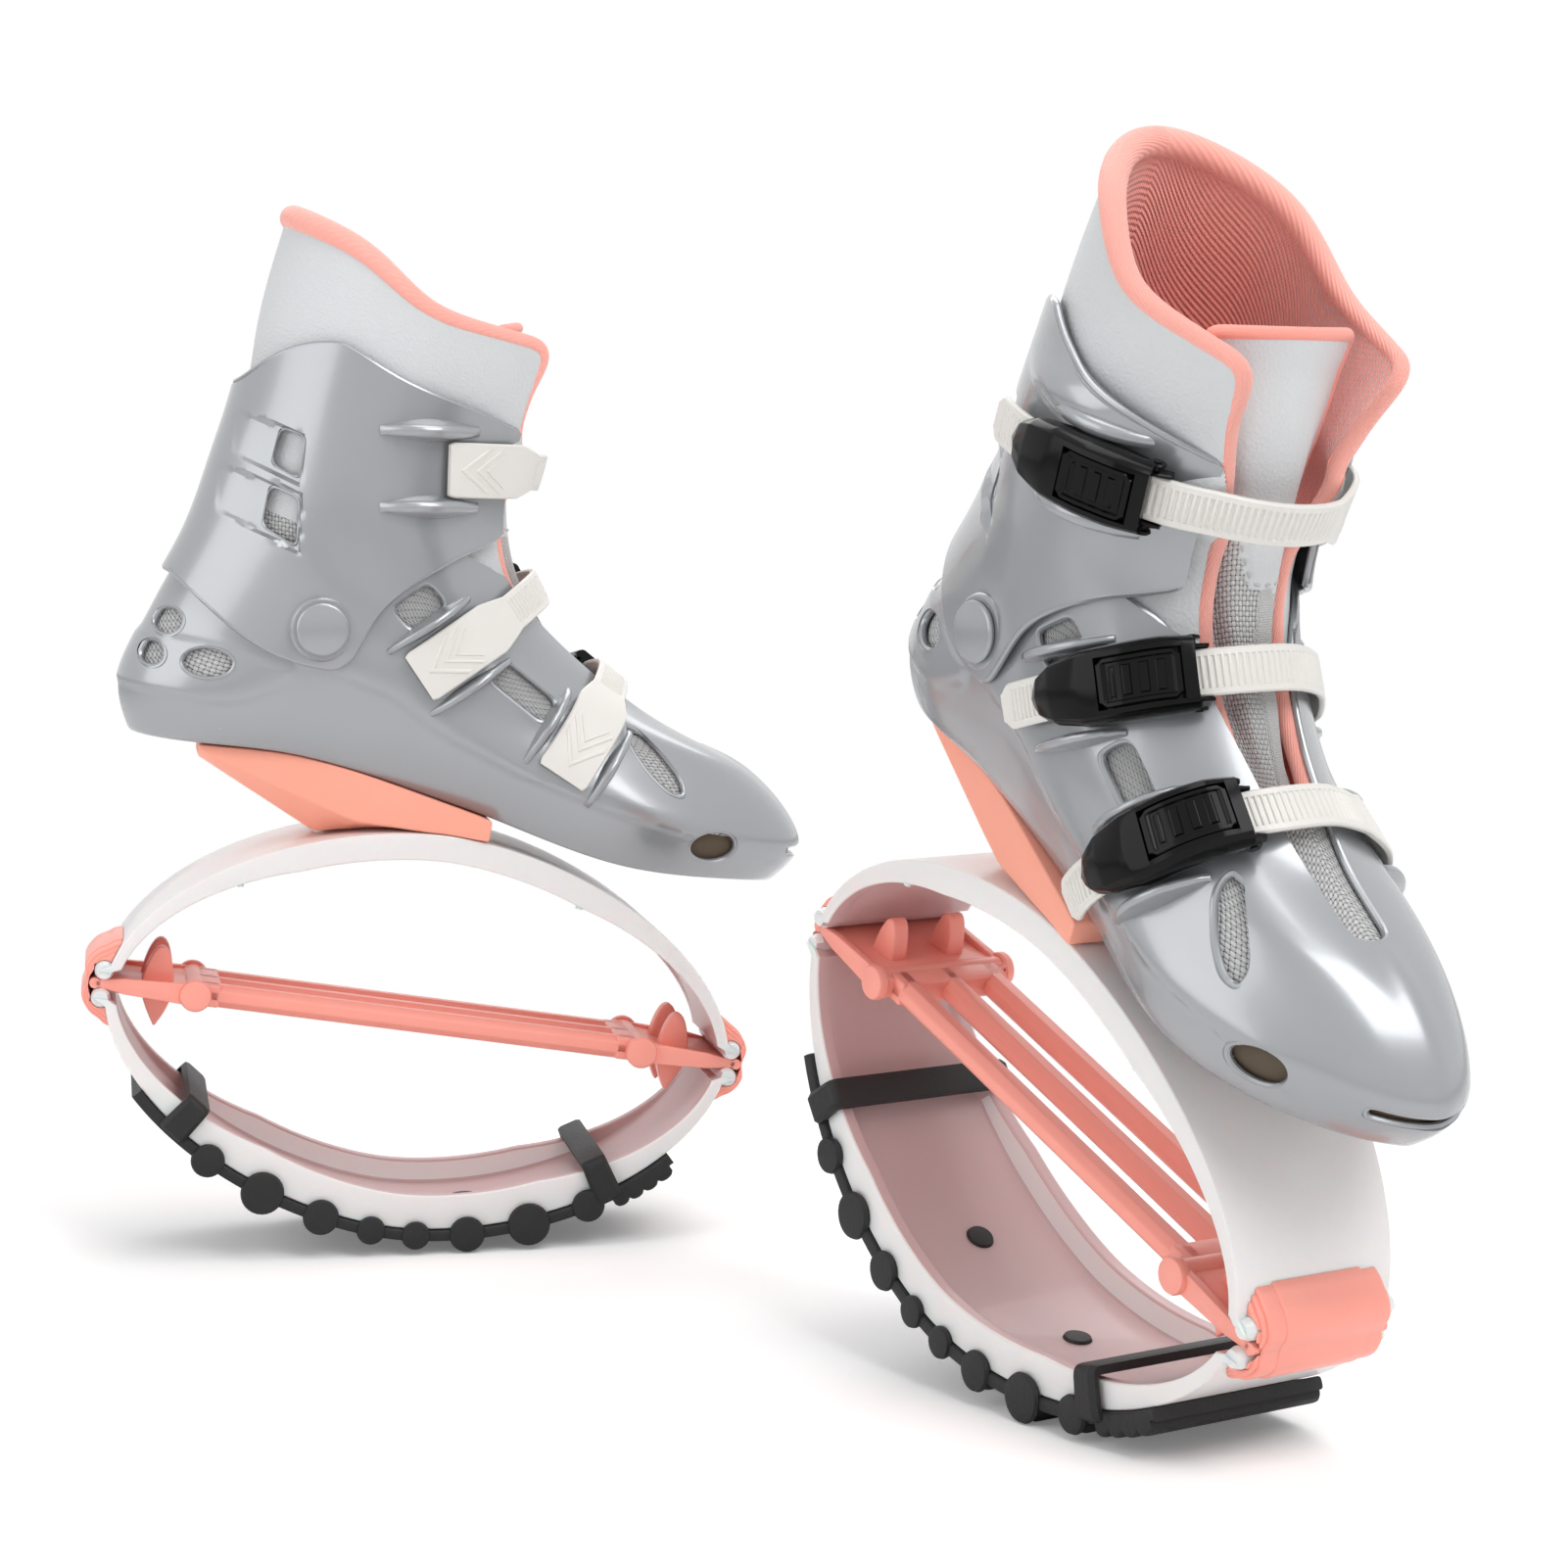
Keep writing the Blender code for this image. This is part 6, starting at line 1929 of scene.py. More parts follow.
@dataclass
class Shell:
    """Moulded lower shell with its crease, heel panel, windows, vents and strap fins."""

    thickness: float = 0.003
    opening_half_width: float = 0.028
    lip: float = 0.0015
    crease_step: float = 0.0013
    crease_fade: float = 0.022
    panel_rise: float = 0.0009
    ridge_rise: float = 0.0009
    fin_spacing: float = 0.0155
    fin_thickness: float = 0.0034
    fin_height: float = 0.0084
    fin_ends: tuple[tuple[str, Pair], ...] = (("instep", (0.41, 1.00)), ("toe", (0.34, 1.03)))
    vent_margin: float = 0.0014
    top: tuple[Pair, ...] = (
        (-0.060, 0.300), (0.044, 0.305), (0.146, 0.310), (0.262, 0.328), (0.350, 0.377),
        (0.398, 0.423), (0.473, 0.459), (0.640, 0.520), (0.640, 1.200), (-0.060, 1.200),
    )
    opening: tuple[Pair, ...] = (
        (0.843, 0.10), (0.835, 0.24), (0.815, 0.30), (0.740, 0.32), (0.680, 0.40),
        (0.610, 0.50), (0.550, 0.66), (0.514, 0.82), (0.473, 1.00), (0.420, 1.05),
    )
    windows: tuple[tuple[Pair, ...], ...] = (
        ((0.345, 0.306), (0.387, 0.262), (0.434, 0.330), (0.397, 0.372)),
        ((0.496, 0.200), (0.588, 0.128), (0.609, 0.178), (0.520, 0.248)),
        ((0.701, 0.158), (0.711, 0.117), (0.745, 0.067), (0.779, 0.034),
         (0.806, 0.030), (0.799, 0.067), (0.765, 0.112), (0.724, 0.153)),
    )
    vents: tuple[tuple[float, ...], ...] = (
        (0.056, 0.218, 0.019, 0.022, 0.10),
        (0.040, 0.155, 0.016, 0.022, 0.05),
        (0.116, 0.155, 0.034, 0.026, 0.02),
        (0.854, -0.050, 0.034, 0.026, 0.03),
    )
    toe_slot: tuple[float, ...] = (0.963, -0.047, 0.045, 0.012)
    toe_slot_half_width: float = 0.020
    crease: tuple[Pair, ...] = (
        (0.245, 0.177), (0.303, 0.164), (0.374, 0.141), (0.398, 0.123), (0.456, 0.082),
        (0.565, 0.032), (0.690, -0.009), (0.810, -0.036), (0.918, -0.077),
    )
    heel_panel: tuple[Pair, ...] = (
        (-0.060, 0.195), (0.153, 0.195), (0.207, 0.173), (0.228, 0.177), (0.235, 0.155),
        (0.221, 0.127), (0.156, 0.082), (0.102, 0.082), (-0.060, 0.095),
    )

    def _relief(self, form: BootForm, levels: Points, turns: Points) -> Points:
        """How far the outer face stands proud of the plain form.

        Args:
            form: the boot's form.
            levels: rings up from the sole's middle line.
            turns: angles from heel to toe and back.

        Returns:
            The relief.
        """
        place = form.surface(levels, turns)
        x, z = place[..., 0], place[..., 2]
        line = np.array(form.outline(self.crease))
        above = z - np.interp(x, line[:, 0], line[:, 1])
        fade = ease(x, line[0, 0] - 0.01, line[0, 0] + 0.01) * (1 - ease(x, line[-1, 0] - 0.02, line[-1, 0]))
        fade = fade * (1 - ease(above, 0.002, self.crease_fade))
        relief = self.crease_step * ease(above, -0.0012, 0.0012) * fade
        panel = signed_distance(x, z, rounded(form.outline(self.heel_panel), 0.008))
        relief = relief + self.panel_rise * ease(panel, -0.0008, 0.0012)
        front = np.exp(-((turns - math.pi) / 0.10) ** 2) * ease(x, 0.100, 0.118)
        relief = relief + self.ridge_rise * front
        return relief * ease(levels, 0.9, 1.4)

    def _cutters(self, form: BootForm) -> list[Piece]:
        """Cutters of the top edge, the open instep, the windows, vents and toe slot.

        Args:
            form: the boot's form.

        Returns:
            The cutters.
        """
        reach = form.half_width + CUT_OVERRUN
        line = spline(form.outline(self.top), np.linspace(0, 7, 43))
        top = [tuple(point) for point in line] + form.outline(self.top[-2:])
        cutters = [prism(top, -reach, reach, "Y")]
        edge = spline(self.opening, np.linspace(0, len(self.opening) - 1, 55))
        side = [(form.foot_length * x - form.heel_reach, self.opening_half_width * y) for x, y in edge]
        plan = side + [(x, -y) for x, y in reversed(side)]
        low = form.sole_height
        cutters.append(prism(plan, low, low + 2 * form.height, "Z"))
        outlines = [rounded(form.outline(window), 0.0045, 7) for window in self.windows]
        for x, z, long, high, tilt in self.vents:
            half_length = form.foot_length * long + self.vent_margin
            half_height = form.height * high + self.vent_margin
            outlines.append(oval(form.side_point((x, z)), half_length, half_height, tilt, 40))
        cutters += [side_cutter(form, outline, side) for outline in outlines for side in SIDES]
        x, z, long, high = self.toe_slot
        x, z = form.side_point((x, z))
        half, tall = self.toe_slot_half_width, form.height * high
        slot = flat_bar(half, z - tall, z + tall, tall, 6)
        reach = form.foot_length * long
        cutters.append(loft([[(x + step, y, up) for y, up in slot] for step in (-reach, reach)]))
        return cutters

    def fin(
        self, path: StrapPath, tree: BVHTree, side: int, offset: float, ends: Pair, stout: float = 1.0,
    ) -> Piece:
        """A crescent fin beside a strap, thicker where it is stout.

        Args:
            path: the strap's line.
            tree: search tree of the boot's form.
            side: 1 for the outer side and -1 for the inner.
            offset: how far beside the strap's middle.
            ends: where it starts and ends, as shares of the strap's inner side.
            stout: how much thicker than plain.

        Returns:
            The fin.
        """
        line = path.lines[side][0]
        length = path.lines[-1][1]
        aside = np.array([-line[2], 0, line[0]]) * offset
        half = self.fin_thickness * stout / 2
        sections = []
        for share in np.linspace(0, 1, 33):
            reach = length * (ends[0] + (ends[1] - ends[0]) * share)
            place = path.middle + line * reach + aside
            point, normal = side_hit(tree, place[0], place[2], side)
            across = np.cross(normal, line)
            across /= np.linalg.norm(across)
            swell = math.sin(math.pi * share)
            height = self.fin_height * (0.10 + 0.90 * swell**0.8)
            root = half * (0.7 + 1.3 * swell)
            corners = [(-root, -0.0018), (root, -0.0018), (half * 0.8, height), (-half * 0.8, height)]
            outline = rounded(corners, half * 0.75, 4)
            sections.append([point + across * wide + normal * high for wide, high in outline])
        return loft(sections)

    def dress(self, dresser: Dresser, form: BootForm, tree: BVHTree, paths: dict[str, StrapPath]) -> None:
        """Builds the shell with its lips and fins.

        Args:
            dresser: places each piece and ties it to its body.
            form: the boot's form.
            tree: search tree of the boot's form.
            paths: the straps' lines by name.
        """
        levels = np.concatenate([np.linspace(0, 1, 10), np.linspace(1, 6.2, 84)[1:]])[:, None]
        turns = around(300)[None, :]
        outer = form.offset(levels, turns, self._relief(form, levels, turns))
        inner = form.offset(levels, turns, -self.thickness)
        shell = wall(outer, inner, True)
        for cutter in self._cutters(form):
            combine(shell, cutter, "DIFFERENCE")
        parts = [shell]
        for line in rim_lines(shell, self.thickness, RIM_STEP):
            parts.append(tube(line, self.lip, True, 10))
        LOG.info("shell: %d edge lips", len(parts) - 1)
        for name, ends in self.fin_ends:
            for side in SIDES:
                for offset in (-self.fin_spacing, self.fin_spacing):
                    parts.append(self.fin(paths[name], tree, side, offset, ends))
        dresser.add(merged(parts), "shell_skin", "boot", (PEARL, PEARL, PEARL), ("boot_shell",))


@dataclass
class Cuff:
    """Hinged ankle cuff with its windows, fins, outer bulge and two domed rivets."""

    thickness: float = 0.003
    gap: float = 0.001
    lip: float = 0.0014
    window_lip_limit: float = 0.12
    recess: float = 0.0026
    recess_reach: float = 0.018
    bulge: float = 0.0062
    front_half_width: float = 0.0265
    front: Pair = (0.250, 0.390)
    rivet: Pair = (0.262, 0.250)
    rivet_radius: float = 0.0108
    rivet_height: float = 0.0028
    boss_radius: float = 0.0128
    outline: tuple[Pair, ...] = (
        (0.048, 0.314), (0.099, 0.268), (0.146, 0.227), (0.201, 0.195), (0.262, 0.182),
        (0.299, 0.195), (0.333, 0.295), (0.371, 0.355), (0.425, 0.414), (0.480, 0.459),
        (0.560, 0.541), (0.560, 0.636), (0.459, 0.691), (0.398, 0.732), (0.323, 0.764),
        (0.255, 0.773), (0.194, 0.764), (0.146, 0.732), (0.102, 0.677), (0.055, 0.650),
        (0.000, 0.500), (-0.020, 0.340),
    )
    windows: tuple[tuple[Pair, ...], ...] = (
        ((0.160, 0.535), (0.203, 0.514), (0.203, 0.597), (0.166, 0.608)),
        ((0.160, 0.419), (0.213, 0.389), (0.207, 0.483), (0.163, 0.500)),
    )
    window_frames: tuple[tuple[Pair, ...], ...] = (
        ((0.116, 0.622), (0.206, 0.600), (0.208, 0.505), (0.118, 0.541)),
        ((0.103, 0.520), (0.212, 0.492), (0.219, 0.380), (0.106, 0.436)),
    )
    bulge_place: Pair = (0.333, 0.682)
    bulge_size: Pair = (0.135, 0.055)
    levels: Pair = (3, 7.4)
    fin_ends: Pair = (0.62, 1.45)
    fin_stout: float = 1.6

    def _relief(self, form: BootForm, levels: Points, turns: Points) -> Points:
        """How far the cuff's outer face stands proud of the plain form.

        Args:
            form: the boot's form.
            levels: rings up from the sole's middle line.
            turns: angles from heel to toe and back.

        Returns:
            The relief.
        """
        place = form.surface(levels, turns)
        x, y, z = place[..., 0], place[..., 1], place[..., 2]
        centre = form.side_point(self.bulge_place)
        across = (x - centre[0]) / (form.foot_length * self.bulge_size[0])
        up = (z - centre[1]) / (form.height * self.bulge_size[1] * (1.1 + 0.5 * np.clip(across, -1, 1)))
        relief = self.bulge * (1 - ease(np.hypot(across, up), 0.1, 1.0)) * (y > 0)
        return relief - self._dip(form, x, z)

    def _dip(self, form: BootForm, x: Points, z: Points) -> Points:
        """Depth of the recesses that slope in toward the windows.

        Args:
            form: the boot's form.
            x: places forward.
            z: places up.

        Returns:
            The depths.
        """
        dip = np.zeros(x.shape)
        for frame_outline in self.window_frames:
            corners = form.outline(frame_outline)
            inside = signed_distance(x, z, rounded(corners, 0.002))
            rear = min(corner[0] for corner in corners)
            slope = ease(x, rear - 0.004, rear + self.recess_reach)
            dip = dip + self.recess * slope * ease(inside, -0.0004, 0.0008)
        return dip

    def _face(self, form: BootForm, tree: BVHTree, side: int) -> float:
        """How far out the rivet's boss stands.

        Args:
            form: the boot's form.
            tree: search tree of the boot's form.
            side: 1 for the outer side and -1 for the inner.

        Returns:
            The distance from the middle.
        """
        x, z = form.side_point(self.rivet)
        reach = 0.0
        for turn in around(8):
            along, up = self.rivet_radius * math.cos(turn), self.rivet_radius * math.sin(turn)
            reach = max(reach, abs(side_hit(tree, x + along, z + up, side)[0][1]))
        return reach

    def dress(self, dresser: Dresser, form: BootForm, tree: BVHTree, path: StrapPath, shell: Shell) -> None:
        """Builds the cuff with its lips, bosses and fins, and the rivets.

        Args:
            dresser: places each piece and ties it to its body.
            form: the boot's form.
            tree: search tree of the cuff's outer face.
            path: the cuff strap's line.
            shell: the shell, whose fins it shares.
        """
        levels = np.linspace(*self.levels, 96)[:, None]
        turns = around(300)[None, :]
        out = self.gap + self.thickness
        outer = form.offset(levels, turns, out + self._relief(form, levels, turns))
        place = form.surface(levels, turns)
        inner = form.offset(levels, turns, self.gap - self._dip(form, place[..., 0], place[..., 2]))
        cuff = wall(outer, inner, False)
        reach = form.half_width + CUT_OVERRUN
        corners = form.outline(self.outline)
        line = spline(corners + corners[:1], np.linspace(0, len(corners), 6 * len(corners), endpoint=False))
        combine(cuff, prism([tuple(point) for point in line], -reach, reach, "Y"), "INTERSECT")
        x, low = form.side_point((self.front[1], self.front[0]))
        half, high = self.front_half_width, form.sole_height + form.height + CUT_OVERRUN
        corners = ((-half, low), (half, low), (half, high), (-half, high))
        front = loft([[(at, y, z) for y, z in corners] for at in (x, x + form.foot_length)])
        combine(cuff, front, "DIFFERENCE")
        for window in self.windows:
            shape = rounded(form.outline(window), 0.003, 7)
            for side in SIDES:
                combine(cuff, side_cutter(form, shape, side), "DIFFERENCE")
        parts = [cuff]
        for line in rim_lines(cuff, self.thickness, RIM_STEP):
            small = len(line) * RIM_STEP < self.window_lip_limit
            parts.append(tube(line, self.lip * (0.6 if small else 1), True, 10))
        x, z = form.side_point(self.rivet)
        for name, side in (("inner", -1), ("outer", 1)):
            face = self._face(form, tree, side)
            start = face - self.thickness / 2
            shares = ((1.04, start), (1, face - 0.0006), (0.95, face))
            boss = [(self.boss_radius * share, reach) for share, reach in shares]
            parts.append(turned(boss, (x, z), side, 48))
            rivet = self._rivet(face + SEAT_GAP, (x, z), side)
            dresser.add(rivet, f"rivet_{name}", "boot", (PEARL,), (f"cuff_rivet_{name}",))
            for offset in (-shell.fin_spacing, shell.fin_spacing):
                parts.append(shell.fin(path, tree, side, offset, self.fin_ends, self.fin_stout))
        dresser.add(merged(parts), "cuff_skin", "cuff", (PEARL, PEARL, PEARL), ("cuff",))

    def _rivet(self, face: float, centre: Pair, side: int) -> Piece:
        """Low domed rivet with a rolled rim.

        Args:
            face: how far out its boss stands.
            centre: side-view x and z.
            side: 1 for the outer side and -1 for the inner.

        Returns:
            The rivet.
        """
        radius, rise = self.rivet_radius, self.rivet_height
        shares = (
            (0.33, -2.6), (0.33, 0), (0.97, 0), (1.0, 0.20), (1.0, 0.42), (0.97, 0.60), (0.92, 0.70),
            (0.86, 0.72), (0.70, 0.82), (0.50, 0.91), (0.25, 0.98), (0.04, 1.0),
        )
        profile = [(radius * wide, face + rise * up) for wide, up in shares]
        return turned(profile, centre, side, 56)


@dataclass
class Liner:
    """Padded inner boot: leatherette collar over mesh, salmon lining, rolls and stitches."""

    thickness: float = 0.0045
    inset: float = 0.0032
    stack: float = 0.0052
    slit_half_width: float = 0.023
    front: Pair = (0.400, 0.390)
    corner: float = 0.006
    board_place: Pair = (0.097, 0.0965)
    flap_levels: Pair = (6.9, 7.4)
    flap_power: float = 12.0
    taper_levels: tuple[float, ...] = (6.9, 7.35, 8.0)
    tapers: tuple[float, ...] = (0.0, 0.50, 0.27)
    reach_levels: Pair = (7.3, 7.9)
    flap_reach: float = 0.0045
    edge_heights: tuple[float, ...] = (0.186, 0.222, 0.236, 0.249, 0.262, 0.285)
    edge_arcs: tuple[float, ...] = (0.0152, 0.0175, 0.0230, 0.0305, 0.0365, 0.0415)
    roll_radius: float = 0.0052
    binding_radius: float = 0.0029
    leather_level: float = 5.6
    puff: float = 0.0016
    stitch_inset: float = 0.0040
    stitch_radius: float = 0.00048
    stitch_pitch: float = 0.0034
    slit: tuple[Pair, ...] = (
        (0.668, 0.10), (0.664, 0.30), (0.654, 0.42), (0.635, 0.50), (0.600, 0.56),
        (0.550, 0.61), (0.514, 0.64), (0.480, 0.66), (0.460, 0.66),
    )

    def _inset(self, levels: Points) -> Points:
        """How far inside the boot's form the sock's outer face lies.

        Args:
            levels: rings up from the sole's middle line.

        Returns:
            The insets.
        """
        deep = np.clip(1 - (levels - 1) / 1.5, 0, 1) * (self.stack - self.inset)
        flush = np.clip((levels - 6.5) / 0.8, 0, 1) * (self.inset - 0.0015)
        return self.inset + deep - flush

    def _puffed(self, levels: Points, turns: Points) -> Points:
        """Padding that swells between the collar's seams.

        Args:
            levels: rings up from the sole's middle line.
            turns: angles from heel to toe and back.

        Returns:
            The swell.
        """
        rows = 0.5 - 0.5 * np.cos(math.tau * np.clip((levels - 6.9) / 1.1, 0, 1))
        wave = 0.75 + 0.25 * np.cos(3 * turns)
        return self.puff * rows * wave

    def _squared(self, grid: Points, levels: Points) -> Points:
        """The collar's sides drawn forward, so that its flaps end at the boot's front line.

        Args:
            grid: points in rows.
            levels: each row's level.

        Returns:
            The moved points.
        """
        share = ease(levels, *self.flap_levels)
        widest = np.abs(grid[..., 1]).argmax(axis=1)[:, None]
        middle = np.take_along_axis(grid[..., 0], widest, 1)
        width = np.take_along_axis(np.abs(grid[..., 1]), widest, 1)
        depth = grid[..., 0].max(axis=1, keepdims=True) - middle
        along = np.clip((grid[..., 0] - middle) / depth, 0, 1)
        across = np.abs(grid[..., 1]) / width
        power = 2 + (self.flap_power - 2) * share
        angle = np.arctan2(across, np.maximum(along, 1e-9))
        reach = (np.cos(angle) ** power + np.sin(angle) ** power) ** (-1 / power)
        moved = grid.copy()
        front = grid[..., 0] > middle
        taper = np.interp(levels, self.taper_levels, self.tapers)
        ahead = middle + along * reach * (depth + self.flap_reach * ease(levels, *self.reach_levels))
        aside = grid[..., 1] * reach * (1 - taper * (along * reach) ** 1.5)
        moved[..., 0] = np.where(front, ahead, grid[..., 0])
        moved[..., 1] = np.where(front, aside, grid[..., 1])
        return moved

    def _front_cut(self, form: BootForm) -> Piece:
        """Cutter of the collar's slit, square to the wall, which rounds off the front corners.

        Args:
            form: the boot's form.

        Returns:
            The cutter.
        """
        levels = np.linspace(6, form.top_level, 120)[:, None]
        turns = math.pi + np.linspace(0, math.pi / 2, 240)[None, :]
        puffed = self._puffed(levels, turns) - self._inset(levels)
        full = self._squared(form.offset(levels, turns, puffed), levels)
        rings = full[full[:, 0, 2] > self.edge_heights[0]]
        top = rings[-1, 0, 2]
        sections = []
        for ring in rings:
            arcs = np.concatenate([[0], np.cumsum(np.linalg.norm(np.diff(ring, axis=0), axis=1))])
            part = min(1.0, max(0.0, (ring[0, 2] - top) / self.corner + 1))
            back = self.corner * (1 - math.sqrt(1 - part**2))
            place = np.interp(ring[0, 2], self.edge_heights, self.edge_arcs) + back
            near, far, at = (
                np.array([np.interp(place + step, arcs, ring[:, axis]) for axis in range(3)])
                for step in (-0.0005, 0.0005, 0)
            )
            out = np.cross(far - near, (0, 0, 1))
            out *= math.copysign(1, out[0]) / np.linalg.norm(out)
            inner, outer = at - 2 * self.thickness * out, at + 4 * self.thickness * out
            half = [inner, outer, np.array([form.foot_length, outer[1], outer[2]])]
            section = half + [point * (1, -1, 1) for point in reversed(half)]
            sections.append(section)
        sections.append([point + (0, 0, CUT_OVERRUN) for point in sections[-1]])
        return loft(sections)

    def build(self, form: BootForm) -> Piece:
        """The sock with its slit, in zones of leather, edge, lining and mesh.

        Args:
            form: the boot's form.

        Returns:
            The sock.
        """
        levels = np.concatenate([np.linspace(0, 1, 8), np.linspace(1, 8, 120)[1:]])[:, None]
        turns = around(280)[None, :]
        inset = self._inset(levels)
        outer = form.offset(levels, turns, self._puffed(levels, turns) - inset)
        inner = form.offset(levels, turns, -inset - self.thickness - 0.5 * self._puffed(levels, turns))
        outer, inner = self._squared(outer, levels), self._squared(inner, levels)
        sock = wall(outer, inner, True)
        edge = spline(self.slit, np.linspace(0, len(self.slit) - 1, 49))
        side = [(form.foot_length * x - form.heel_reach, self.slit_half_width * y) for x, y in edge]
        plan = side + [(x, -y) for x, y in reversed(side)]
        low = form.sole_height
        combine(sock, prism(plan, low, low + 2 * form.height, "Z"), "DIFFERENCE")
        combine(sock, self._front_cut(form), "DIFFERENCE")
        seam = form.surface(np.full(64, self.leather_level), np.linspace(0, math.pi, 64))

        def below(centre: Vector, normal: Vector) -> bool:
            """Whether a face lies below the leather's seam."""
            return centre.z < np.interp(centre.x, seam[:, 0], seam[:, 2])

        def at_toe(centre: Vector, normal: Vector) -> bool:
            """Whether a face shows in the toe vents."""
            return centre.x > self.board_place[0] and centre.z < self.board_place[1]

        marked(sock, Zone.EXTRA.value, below, Zone.OUTSIDE.value)
        return marked(sock, len(Zone), at_toe, Zone.EXTRA.value)

    def _radii(self, form: BootForm, rim: Points) -> Points:
        """Radius of the edge roll: full behind, thinner to the front corners and down the slit.

        Args:
            form: the boot's form.
            rim: the edge's middle line.

        Returns:
            One radius for each point.
        """
        levels = np.full((1, 1), float(form.top_level))
        ring = form.offset(levels, np.linspace(0, math.tau, 240)[None, :], -self._inset(levels))
        ring = self._squared(ring, levels)[0]
        gap = np.linalg.norm(rim[:, None] - ring[None], axis=2).min(axis=1)
        collar = 1 - ease(gap, 0.006, 0.016)
        rear = 1 - ease(rim[:, 0], form.side_point((0.12, 0))[0], form.side_point((0.50, 0))[0])
        full = self.binding_radius + (self.roll_radius - self.binding_radius) * rear
        radii = self.binding_radius + (full - self.binding_radius) * collar
        return smoothed(radii[:, None], 8, True)[:, 0]

    def _dots(self, tree: BVHTree, line: Points, spacing: float) -> Piece:
        """A row of short stitches laid on the binding along a line.

        Args:
            tree: search tree of the roll.
            line: points in order.
            spacing: from one stitch to the next.

        Returns:
            The stitches.
        """
        parts = []
        line = resample(line, spacing / 2, False)
        for start, end in zip(line[::2], line[1::2]):
            stitch = []
            for share in (0, 0.25, 0.5, 0.75, 1):
                point, normal, _, _ = tree.find_nearest(Vector(start + (end - start) * share))
                stitch.append(np.array(point + normal * 0.0004 * math.sin(math.pi * share)))
            parts.append(tube(stitch, STITCH_SHAPE * self.stitch_radius, False, 6))
        return merged(parts)

    def dress(self, dresser: Dresser, form: BootForm) -> None:
        """Builds the sock, its rolls and its stitches.

        Args:
            dresser: places each piece and ties it to its body.
            form: the boot's form.
        """
        sock = self.build(form)
        rim = smoothed(max(rim_lines(sock, self.thickness, 0.0015), key=len), 10, True)
        radii = self._radii(form, rim)
        roll = tube(rim, radii, True, 20)
        shape = bmesh.new()
        shape.from_mesh(roll.data)
        tree = BVHTree.FromBMesh(shape)
        shape.free()
        low = form.side_point((0, self.front[0]))[1]
        high = float(form.surface(float(form.top_level), math.pi)[2]) - 2 * self.corner
        ahead = form.side_point((self.front[1], 0))[0]
        rows = []
        for side in SIDES:
            edge = rim[(rim[:, 1] * side > 0) & (rim[:, 0] > ahead) & (rim[:, 2] > low) & (rim[:, 2] < high)]
            edge = edge[np.argsort(edge[:, 2])] + (-self.stitch_inset / 2, side * self.stitch_inset, 0)
            rows.append(self._dots(tree, smoothed(edge, 4, False), self.stitch_pitch))
        finishes = (LEATHER, PINK, KNIT, MESH, BOARD)
        dresser.add(sock, "sock", "boot", finishes, ("liner",), Motion.ANKLE, padding=0.7)
        dresser.add(roll, "collar_roll", "boot", (ROLL,), (), Motion.ANKLE, padding=0.8)
        dresser.add(merged(rows), "slit_stitches", "boot", (PINK_STITCH,), (), Motion.ANKLE)


